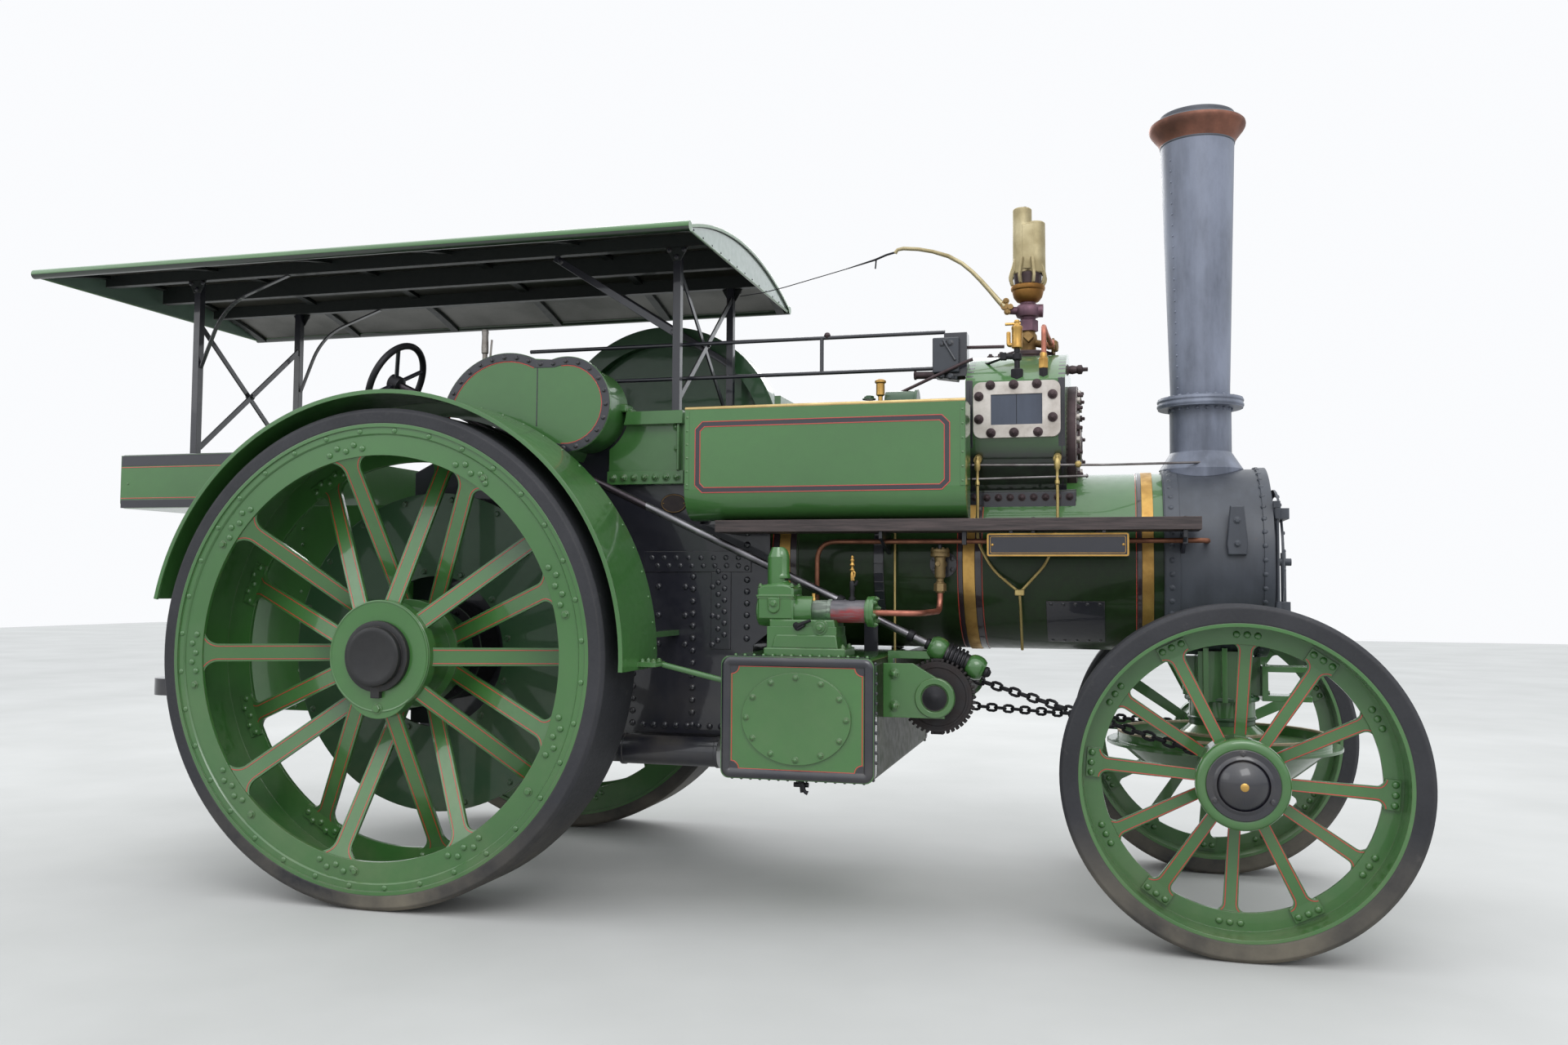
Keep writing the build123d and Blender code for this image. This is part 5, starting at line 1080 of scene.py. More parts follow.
def rivet_row(shape, start, end, out_y, side, radius=RIVET, height=0.011, pitch=PITCH):
    """Rivets between two (x, z) places on a flat side."""
    run = Vector(end) - Vector(start)
    count = max(1, round(run.length / pitch))
    for index in range(count + 1):
        spot = Vector(start) + run * (index / count)
        shape.rivet(facing(spot.x, side * out_y, spot.y, (0.0, side, 0.0)), radius, height)


HORN_ROWS = (   # start (x, z), end (x, z), in metres from the rear axle
    ((0.988, 1.49), (1.4, 1.49)), ((1.015, 1.454), (1.4, 1.454)),
    ((1.306, 1.43), (1.306, 1.12)), ((1.336, 1.403), (1.336, 1.146)),
    ((1.186, 1.405), (1.186, 0.74)), ((0.9, 1.405), (0.9, 0.74)),
    ((0.7, 1.405), (0.7, 1.0)), ((1.44, 1.6), (1.44, 1.13)),
    ((0.95, 0.735), (1.43, 0.735)),
)


def horn_rivets():
    """Round rivets on both hornplates and the firebox behind them."""
    shape = Shape()
    for side in (RIGHT, LEFT):
        for start, end in HORN_ROWS:
            rivet_row(shape, (ex(start[0]), start[1]), (ex(end[0]), end[1]), HORN_FACE, side)
        for index in range(9):
            spot = (ex(1.02 + 0.13 * (index % 3)), 1.36 - 0.13 * (index // 3))
            shape.rivet(facing(spot[0], side * HORN_FACE, spot[1], (0.0, side, 0.0)), RIVET, 0.011)
    piece("horn_rivets", shape, black)


def horn_plates_trim():
    """Cover strips and blank oval plate on the right hornplate."""
    shape = Shape()
    place = side_face(RIGHT)
    shape.prism(rectangle(ex(0.95), ex(1.46), 1.425, 1.52),
                HORN_FACE - 0.001, HORN_FACE + 0.006, 0.002, place)
    shape.prism(rectangle(ex(1.272), ex(1.366), 1.08, 1.425),
                HORN_FACE - 0.001, HORN_FACE + 0.005, 0.002, place)
    piece("horn_strips", shape, black)
    blank, edge = shapes(2)
    x, z = ex(1.09), 1.737
    blank.prism(oval(x, z, 0.063, 0.045, 40), HORN_FACE - 0.001, HORN_FACE + 0.005, 0.0015, place)
    edge.stripe(oval(x, z, 0.058, 0.04, 40), 0.0026, HORN_FACE + 0.0045, HORN_FACE + 0.0065, place)
    for screw_x in (x - 0.05, x + 0.05):
        edge.rivet(facing(screw_x, -HORN_FACE - 0.005, z, OUTWARD), 0.004, 0.003)
    piece("oval_plate", blank, dark_bronze, "cast_iron")
    piece("oval_rim", edge, bronze, "brass")


SMOKE_RADIUS = 0.403
FRONT_X = 3.47           # front axle, from the rear axle


def smokebox_rivets():
    """Rivet rings, side seams and the lamp bracket on the smokebox."""
    shape = Shape()
    front_radius = min((smoke.z1 - smoke.z0) / 2.0, 0.409)
    for x in (smoke.x0 + 0.03, ex(FRONT_X + 0.145)):
        radius = SMOKE_RADIUS if x < smoke.x1 - 0.06 else front_radius
        for index in range(44):
            shape.rivet(around(x, radius, index * 360.0 / 44), 0.0125, 0.009)
    hoop(shape, smoke.x0 + 0.004, smoke.x0 + 0.064, SMOKE_RADIUS, 0.004)
    for index in range(7):
        for angle in (-52.0, 232.0):
            shape.rivet(around(smoke.x0 + 0.07 + index * 0.045, SMOKE_RADIUS, angle), 0.012, 0.008)
    bracket = ((3.47, 1.5), (3.54, 1.5), (3.546, 1.545), (3.532, 1.7), (3.48, 1.7), (3.464, 1.545))
    shape.prism(from_axle(bracket), 0.392, 0.424, 0.004, side_face(RIGHT))
    for z in (1.545, 1.64):
        shape.bolt(facing(ex(3.505), -0.424, z, OUTWARD), 0.01, 0.008)
    piece("smokebox_rivets", shape, smoke_black)


def door_trim():
    """Ring and rivets of the smokebox door."""
    shape = Shape()
    face, ring = smoke.x1 + 0.017, 0.297
    place = along_x(z=barrel.z)
    shape.lathe([(0.312, face - 0.01), (0.3125, face - 0.002), (0.306, face + 0.002),
                 (0.286, face + 0.0035), (0.28, face + 0.001)], place, 72)
    for index in range(24):
        angle = math.radians(7.5 + index * 15.0)
        shape.rivet(facing(face + 0.002, ring * math.cos(angle), barrel.z + ring * math.sin(angle),
                           AHEAD), 0.009, 0.006)
    piece("door_trim", shape, smoke_black, body="smokebox_door")


def chimney_trim():
    """Rivet rings on the saddle and the joint, with the joint's rolled edges."""
    shape = Shape()
    for index in range(20):
        angle = TURN * (index + 0.5) / 20
        out = (math.cos(angle), math.sin(angle), 0.0)
        for z, reach in ((2.205, 0.1265), (2.146, 0.131)):
            shape.rivet(facing(funnel.x + reach * out[0], reach * out[1], z, out), 0.0085, 0.006)
    joint = [(0.1795, 2.158), (0.183, 2.163), (0.183, 2.17), (0.1795, 2.175), (0.1795, 2.18),
             (0.1825, 2.184), (0.1825, 2.19), (0.1795, 2.195)]
    shape.lathe(joint, at(funnel.x, 0.0, 0.0), 64)
    for index in range(16):
        angle = TURN * (index + 0.5) / 16
        out = (math.cos(angle), math.sin(angle), 0.0)
        shape.rivet(facing(funnel.x + 0.158 * out[0], 0.158 * out[1], 2.198, UP), 0.009, 0.006)
    for index in range(22):
        z = 2.24 + index * 0.048
        reach = 0.125 + (z - 2.198) / (3.335 - 2.198) * 0.032
        out = (math.cos(2.45), -math.sin(2.45), 0.0)
        shape.rivet(facing(funnel.x + reach * out[0], reach * out[1], z, out), 0.005, 0.003)
    piece("chimney_trim", shape, funnel_grey, "smokebox_black")


def chimney_cap_shell():
    """Round-lipped cap: copper flare with a dark crown."""
    place = at(funnel_top.x, 0.0, 0.0)
    flare = [(0.1585, 3.335), (0.16, 3.34), (0.1635, 3.348), (0.1725, 3.363), (0.186, 3.38),
             (0.1985, 3.396), (0.2045, 3.408), (0.2058, 3.417), (0.2045, 3.4245)]
    crown = [(0.2035, 3.424), (0.2, 3.429), (0.186, 3.434), (0.17, 3.4385), (0.162, 3.444),
             (0.1612, 3.452), (0.1625, 3.46), (0.16, 3.4655), (0.152, 3.466), (0.149, 3.46),
             (0.148, 3.42), (0.146, 3.335)]
    neck = [(0.157, 3.329), (0.1595, 3.331), (0.16, 3.336), (0.158, 3.3395)]
    lower, upper = shapes(2)
    lower.lathe(flare, place, 96)
    upper.lathe(crown, place, 96)
    upper.lathe(neck, place, 96)
    first = piece("cap_flare", lower, cap_copper, "copper", angle=60.0)
    piece("cap_crown", upper, cap_dark, "smokebox_black", angle=60.0)
    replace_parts(first, "chimney_cap")


boiler_bands()
boiler_patch()
horn_rivets()
horn_plates_trim()
smokebox_rivets()
door_trim()
chimney_trim()
chimney_cap_shell()


# Side covers, boards and nameboards
def framed(shape_black, shape_red, outline, place, height, width, red_gap=0.0):
    """Black band along a closed outline with a red line on both of its edges."""
    shape_black.stripe(outline, width, height - 0.0004, height + 0.0008, place)
    for edge in (-width / 2.0 - red_gap, width / 2.0 + red_gap):
        shape_red.stripe(offset(outline, edge, True), LINE, height - 0.0004, height + 0.0012, place)


def cut_corners(x0, x1, z0, z1, cut):
    """Rectangle with its corners cut off, anticlockwise."""
    return [(x0 + cut, z0), (x1 - cut, z0), (x1, z0 + cut), (x1, z1 - cut), (x1 - cut, z1),
            (x0 + cut, z1), (x0, z1 - cut), (x0, z0 + cut)]


def side_cover_trim():
    """Lined border, brass bead, edge angle and rivets of both side covers."""
    dark, red, bright, bolts = shapes(4)
    for side in (RIGHT, LEFT):
        box = cover if side == RIGHT else cover_left
        place = side_face(side)
        out = abs(box.y0) if side == RIGHT else abs(box.y1)
        outline = cut_corners(ex(1.28), ex(2.364), 1.777, 2.064, 0.026)
        framed(dark, red, outline, place, out, 0.022, 0.0)
        bright.tube([(box.x0 + 0.001, side * (out - 0.007), box.z1 - 0.001),
                     (box.x1 - 0.001, side * (out - 0.007), box.z1 - 0.001)], 0.0088, 12)
        for x in (box.x0 + 0.012, box.x1 - 0.012):
            bolts.prism(rectangle(x - 0.01, x + 0.01, box.z0 + 0.13, box.z1 - 0.014), out - 0.001,
                        out + 0.0016, 0.0008, place)
            rivet_row(bolts, (x, box.z0 + 0.15), (x, box.z1 - 0.04), out + 0.0014, side,
                      0.0042, 0.0026, 0.062)
    piece("cover_borders", dark, black)
    piece("cover_lines", red, red_line, "paint_green")
    piece("cover_beads", bright, pale_brass, "brass")
    piece("cover_rivets", bolts, green)


def board_trim():
    """Bolt heads on the running boards."""
    shape = Shape()
    for side in (RIGHT, LEFT):
        for x in (2.07, 2.7, 3.29):
            for y in (0.47, 0.59):
                shape.rivet(facing(ex(x + 0.007), side * y, board.z1, UP), 0.011, 0.005)
    piece("board_bolts", shape, black_iron, "steel")


def nameboard_trim():
    """Brass border and screws of the blank nameboards."""
    bright = Shape()
    for side in (RIGHT, LEFT):
        place = side_face(side)
        out = abs(plate.y0)
        z0, z1 = plate_low, plate_high
        frame_line = rounded(plate.x0 + 0.004, plate.x1 - 0.004, z0 + 0.004, z1 - 0.004, 0.006, 3)
        bright.stripe(frame_line, 0.007, out - 0.003, out + 0.004, place)
        inner = rounded(plate.x0 + 0.014, plate.x1 - 0.014, z0 + 0.014, z1 - 0.014, 0.006, 3)
        bright.stripe(inner, 0.002, out - 0.001, out + 0.0012, place)
        for x in (plate.x0 + 0.022, plate.x1 - 0.022):
            bright.rivet(facing(x, side * out, (z0 + z1) / 2.0, (0.0, side, 0.0)), 0.006, 0.003)
    piece("nameboard_borders", bright, brass)


plate_low = plate.z0
plate_high = plate.z0 + 0.095
cover_left = span("side_cover_left")
side_cover_trim()
board_trim()
nameboard_trim()


# Cross tank
TANK_RIM = (   # way inwards, height
    (0.0005, -0.056), (-0.002, -0.053), (-0.002, -0.012), (0.0, -0.004), (0.0045, 0.003), (0.011, 0.008),
    (0.0185, 0.01), (0.026, 0.0092), (0.033, 0.0062), (0.0385, 0.0025), (0.041, -0.001),
)


def tank_trim():
    """Rounded black frames, lining, rivets, cover and nuts of the cross tank's two ends."""
    dark, red, fresh, cocks = shapes(4)
    x0, x1, z0, z1 = tank.x0, tank.x1, tank.z0, tank.z1
    for side in (RIGHT, LEFT):
        out = abs(tank_face if side == RIGHT else tank.y1)
        place = side_face(side)
        outline = rounded(x0, x1, z0, z1, 0.04, 8)
        dark.rim(outline, TANK_RIM, out, place)
        for spot, way, _ in spaced(outline, 0.039, True):
            beads = fresh if way.x < -0.9 else dark
            beads.rivet(facing(spot.x + 0.002 * way.y, side * (out - 0.036), spot.y - 0.002 * way.x,
                               (way.y, 0.0, -way.x)), 0.0075, 0.0075)
        line = notched(x0 + 0.046, x1 - 0.046, z0 + 0.04, z1 - 0.04, 0.031)
        red.stripe(line, LINE, out - 0.0004, out + 0.0012, place)
        for x, z, start in ((x1 - 0.0405, z0 + 0.037, 90.0), (x1 - 0.0405, z1 - 0.037, 180.0),
                            (x0 + 0.0405, z1 - 0.037, 270.0), (x0 + 0.0405, z0 + 0.037, 0.0)):
            corner = [(x, z)] + arc((x, z), 0.033, start, start + 90.0, 6)
            dark.prism(corner, out - 0.002, out + 0.001, 0.0, place)
        for index in range(12):
            angle = TURN * index / 12.0
            spot = (0.206 * math.cos(angle), 0.163 * math.sin(angle))
            raised = 0.0092 if side == RIGHT else 0.0052
            fresh.bolt(facing(tank.x + spot[0], side * (out + raised), tank.z + spot[1], (0.0, side, 0.0),
                              index * 19.0), 0.0105, 0.0085, stud=0.003)
        fresh.prism(oval(tank.x, tank.z, 0.2262, 0.1842, 96), out - 0.001,
                    out + (0.009 if side == RIGHT else 0.006), 0.0035, place)
    cock_x = tank.x + 0.01
    cocks.tube([(cock_x, tank_face + 0.05, z0 + 0.01), (cock_x, tank_face + 0.05, z0 - 0.028)], 0.013)
    cocks.tube([(cock_x - 0.03, tank_face + 0.05, z0 - 0.022),
                (cock_x + 0.03, tank_face + 0.05, z0 - 0.022)], 0.01)
    cocks.tube([(cock_x, tank_face + 0.05, z0 - 0.028), (cock_x + 0.004, tank_face + 0.045, z0 - 0.052)],
               0.007)
    lever = [(0.004, -0.014), (0.012, -0.024), (0.014, -0.038), (0.02, -0.048), (0.03, -0.052)]
    cocks.tube([(cock_x + dx, tank_face + 0.036, z0 + dz) for dx, dz in lever],
               [0.011, 0.009, 0.0075, 0.0075, 0.009], 12)
    piece("tank_borders", dark, black, angle=50.0)
    piece("tank_lines", red, red_line, "paint_green")
    piece("tank_bolts", fresh, green)
    piece("tank_cock", cocks, black_iron, "cast_iron")


def notched(x0, x1, z0, z1, notch):
    """Rectangle whose corners turn inwards in small arcs, anticlockwise."""
    points = []
    for x, z, start in ((x1, z0, 180.0), (x1, z1, 270.0), (x0, z1, 360.0), (x0, z0, 450.0)):
        points += arc((x, z), notch, start, start - 90.0, 4)
    return points


tank_face = tank.y0 + 0.01
tank_trim()


# Gear cover and drive disc
GEAR_BIG = (ex(0.375), 2.085, 0.327)
GEAR_SMALL = (ex(0.665), 2.168, 0.216)


def gear_outline(inset):
    """Outline of the two-lobed gear cover, moved inwards, with straight runs between the lobes."""
    big = arc(GEAR_BIG[:2], GEAR_BIG[2] - inset, 62.0, 215.0, 20)
    small = arc(GEAR_SMALL[:2], GEAR_SMALL[2] - inset, -128.0, 108.0, 22)
    return small + big


GEAR_SEAM = 0.527


def gear_cover_trim():
    """Black border, bolts, red line and panel seam of the gear cover."""
    dark, red, bolts = shapes(3)
    place = side_face(RIGHT)
    out = -gear.y0
    line = gear_outline(0.02)
    dark.stripe(line, 0.036, out - 0.0006, out + 0.0016, place, closed=False)
    small = [point for point in gear_outline(0.0405) if point[0] > ex(GEAR_SEAM + 0.1)]
    big = [point for point in gear_outline(0.0405) if point[0] < ex(GEAR_SEAM - 0.004)]
    for path in (small, big):
        red.stripe(path, LINE, out - 0.0006, out + 0.0012, place, closed=False)
    seam = rectangle(ex(GEAR_SEAM - 0.0025), ex(GEAR_SEAM + 0.0025), gear.z0 + 0.15, GEAR_BIG[1] + 0.284)
    dark.prism(seam, out - 0.0006, out + 0.001, 0.0, place)
    for spot, _, here in spaced(line, 0.062, False):
        bolts.bolt(facing(spot.x, -out - 0.0014, spot.y, OUTWARD, here * 900.0), 0.0085, 0.008)
    piece("gear_border", dark, black)
    piece("gear_line", red, red_line, "paint_green")
    piece("gear_bolts", bolts, black)


DISC_FACE = 0.614
DRUM_FACE = 0.6


def drive_disc_trim():
    """Bolts round the disc and studs on the dark drum inside its eye."""
    shape, studs = shapes(2)
    for index in range(18):
        angle = index * 20.0 + 4.0
        spot = polar(0.7, angle)
        shape.bolt(facing(rear.x + spot[0], -DISC_FACE, rear.z + spot[1], OUTWARD, angle), 0.011, 0.009)
    for index in range(12):
        spot = polar(0.372, index * 30.0 + 10.0)
        shape.bolt(facing(rear.x + spot[0], -DISC_FACE, rear.z + spot[1], OUTWARD, index * 7.0), 0.012, 0.01)
        near = polar(0.205, index * 30.0)
        studs.bolt(facing(rear.x + near[0], -DRUM_FACE, rear.z + near[1], OUTWARD, index * 11.0),
                   0.013, 0.012, stud=0.012)
    studs.lathe([(0.2305, -0.178), (0.2305, -0.002), (0.226, 0.002), (0.19, 0.002), (0.184, -0.004)],
                along_right(rear.x, -DRUM_FACE, rear.z), 72)
    piece("disc_bolts", shape, dark_green)
    piece("drum_studs", studs, black_iron, "cast_iron")


def horn_cheek_trim():
    """Bolts and ribs of the green casting over the right hornplate."""
    shape = Shape()
    cheek = span("horn_cheek")
    web = -cheek.y0 - 0.04
    foot = -cheek.y0 - 0.02
    for x, z in ((1.112, 2.082), (1.117, 1.984)):
        shape.bolt(facing(ex(x), -web, z, OUTWARD, 10.0), 0.014, 0.012, stud=0.008)
    count = 7
    for index in range(count):
        x = cheek.x0 + 0.03 + index * (cheek.x1 - cheek.x0 - 0.06) / (count - 1)
        shape.bolt(facing(x, -foot, cheek.z0 + 0.03, OUTWARD, index * 13.0), 0.014, 0.012, stud=0.01)
    rib = rectangle(cheek.x1 - 0.03, cheek.x1 - 0.018, cheek.z0 + 0.06, cheek.z1 - 0.06)
    shape.prism(rib, web - 0.002, foot + 0.01, 0.002, side_face(RIGHT))
    cap = at(ex(0.83), -0.46, cheek.z1)
    shape.block((-0.055, -0.045, -0.002), (0.055, 0.045, 0.035), 0.006, cap)
    shape.block((-0.075, -0.03, -0.002), (0.075, 0.03, 0.016), 0.004, cap)
    piece("cheek_bolts", shape, green)
    cup = Shape()
    cup.lathe([(0.01, -0.002), (0.01, 0.012), (0.019, 0.016), (0.019, 0.044), (0.021, 0.046),
               (0.021, 0.052), (0.016, 0.06), (0.0, 0.063)],
              at(ex(0.8), -0.46, cheek.z1 + 0.035), 24)
    piece("bearing_cup", cup, copper)


gear_cover_trim()
drive_disc_trim()
horn_cheek_trim()


# Cylinder
CHEST_Y = 0.424
CHEST_NUTS = (   # x from the rear axle, z
    (2.519, 2.226), (2.617, 2.226), (2.714, 2.226), (2.779, 2.179), (2.779, 2.082),
    (2.521, 2.021), (2.618, 2.021), (2.718, 2.021), (2.47, 2.179), (2.47, 2.081),
)


def chest_trim():
    """Nuts on washers and the slate inset, in two panes, of the valve chest covers."""
    studs, slate, joints = shapes(3)
    for side in (RIGHT, LEFT):
        place = side_face(side)
        for index, (x, z) in enumerate(CHEST_NUTS):
            spot = facing(ex(x), side * CHEST_Y, z, (0.0, side, 0.0), index * 17.0)
            studs.lathe([(0.0205, -0.001), (0.0205, 0.004), (0.017, 0.006), (0.01, 0.006)], spot, 20)
            studs.bolt(spot @ at(0.0, 0.0, 0.005), 0.015, 0.012, washer=False, stud=0.009)
        panel = rounded(ex(2.52), ex(2.737), 2.054, 2.186, 0.002, 2)
        slate.prism(panel, CHEST_Y - 0.009, CHEST_Y - 0.004, 0.001, place)
        joints.stripe([(ex(2.6285), 2.0555), (ex(2.6285), 2.1845)], 0.0022,
                      CHEST_Y - 0.006, CHEST_Y - 0.0034, place, closed=False)
        joints.stripe(offset(panel, -0.0016, True), 0.003, CHEST_Y - 0.006, CHEST_Y - 0.0032, place)
    piece("chest_nuts", studs, brown_iron, "steel")
    piece("chest_panels", slate, slate_blue, "smokebox_black")
    piece("chest_joints", joints, black_iron, "cast_iron")


def crown_arc(reach):
    """Half outline of the cylinder's crown as (y, z), from the left shoulder to the right one."""
    middle, radius = 1.8442, 0.5698 + reach
    limit = math.degrees(math.asin(0.4 / 0.5698))
    return [(-y, z) for y, z in arc((0.0, middle), radius, 90.0 - limit, 90.0 + limit, 24)]


CYLINDER_Z = 2.006
ROD_Y = 0.42             # drain cock rods, from the middle


def cylinder_trim():
    """Cover studs, end bands, foot flange, side rods with their cocks, and plugs of the cylinder."""
    studs, band, foot, rods, cocks = shapes(5)
    x1 = cylinder_front
    for index in range(14):
        angle = math.radians(index * 360.0 / 14.0 + 90.0)
        z = CYLINDER_Z + 0.235 * math.sin(angle)
        if z > 1.815:
            studs.bolt(facing(x1 + 0.04, 0.235 * math.cos(angle), z, AHEAD, index * 9.0),
                       0.0152, 0.0145, stud=0.012)
    studs.lathe([(0.265, ex(2.83)), (0.2665, ex(2.833)), (0.2665, ex(2.866)), (0.263, ex(2.8712)),
                 (0.093, ex(2.8712))], along_x(z=CYLINDER_Z), 72)
    studs.lathe([(0.092, 0.0), (0.092, 0.01), (0.086, 0.015), (0.03, 0.0155), (0.024, 0.019), (0.0, 0.02)],
                along_x(x1 + 0.04, z=CYLINDER_Z), 48)
    place = Matrix(((0, 0, 1, 0), (1, 0, 0, 0), (0, 1, 0, 0), (0, 0, 0, 1)))
    for x, wide in ((2.4125, 0.0285), (2.801, 0.028)):
        low = [(0.3, 1.785), (0.364, 1.8925), (0.4, 1.998)]
        line = low + [(0.4, 2.25)] + crown_arc(0.0) + [(-0.4, 2.25)] + [(-y, z) for y, z in reversed(low)]
        line = [line[0]] + [point for before, point in zip(line, line[1:]) if point != before]
        spot = place @ at(0.0, 0.0, ex(x))
        band.stripe(offset(line, -0.001, False), 0.0022, 0.0, wide, spot, closed=False)
        band.stripe(offset(line, -0.0024, False), 0.0018, wide * 0.4, wide * 0.6, spot, closed=False)
    for side in (RIGHT, LEFT):
        foot.block((ex(2.412), side * 0.3055 - 0.009, 1.682),
                   (ex(2.868), side * 0.3055 + 0.009, 1.776), 0.003)
        for index in range(9):
            spot = facing(ex(2.442) + index * 0.05, side * 0.314, 1.752, (0.0, side, 0.0), index * 15.0)
            studs.bolt(spot, 0.0125, 0.01, stud=0.005)
        rivet_row(foot, (ex(2.425), 1.695), (ex(2.855), 1.695), 0.314, side, 0.0045, 0.003, 0.036)
        upper = [(ex(2.44), side * ROD_Y, 1.885), (ex(2.99), side * ROD_Y, 1.876)]
        if side == RIGHT:
            upper.append((ex(3.395), -0.15, 1.905))
        rods.tube(bent(upper, 0.06), 0.0052, 8)
        rods.rod([(2.44, side * ROD_Y, 1.825), (2.915, side * ROD_Y, 1.831)], 0.0052, 8)
        rods.rivet(facing(ex(2.915), side * ROD_Y, 1.831, AHEAD), 0.009, 0.008)
        for x in (2.463, 2.796):
            cocks.tube([(ex(x), side * 0.38, 1.918), (ex(x), side * 0.418, 1.906)], 0.017, 16)
            cocks.lathe([(0.006, 1.795), (0.01, 1.8), (0.01, 1.812), (0.0065, 1.818), (0.0065, 1.858),
                         (0.012, 1.866), (0.014, 1.884), (0.012, 1.9), (0.006, 1.908), (0.006, 1.921),
                         (0.0, 1.924)], at(ex(x), side * ROD_Y, 0.0), 20)
            cocks.tube([(ex(x), side * ROD_Y, 1.8), (ex(x + 0.001), side * ROD_Y, 1.735),
                        (ex(x), side * 0.419, 1.64)], 0.0062, 8)
        cocks.rivet(facing(ex(2.882), side * ROD_Y, 1.881, (0.0, side, 0.0)), 0.015, 0.01)
    studs.lathe([(0.027, -0.006), (0.027, 0.012), (0.017, 0.02), (0.02, 0.034), (0.016, 0.052), (0.021, 0.06),
                 (0.021, 0.074), (0.009, 0.08), (0.009, 0.1), (0.0, 0.101)],
                facing(x1 - 0.012, -0.15, 2.326, AHEAD), 20)
    studs.lathe([(0.02, -0.004), (0.02, 0.014), (0.03, 0.018), (0.03, 0.044), (0.012, 0.048), (0.0, 0.049)],
                facing(cylinder.x0 + 0.004, -0.3, 2.305, (-1.0, 0.0, 0.0)), 20)
    piece("cylinder_studs", studs, brown_iron, "steel")
    piece("cylinder_bands", band, black)
    piece("cylinder_foot", foot, black)
    piece("drain_rods", rods, dull_steel, "steel")
    piece("drain_cocks", cocks, old_brass, "brass")


WHISTLE_X = 2.65
WHISTLE_Y = -0.042        # lever and wire


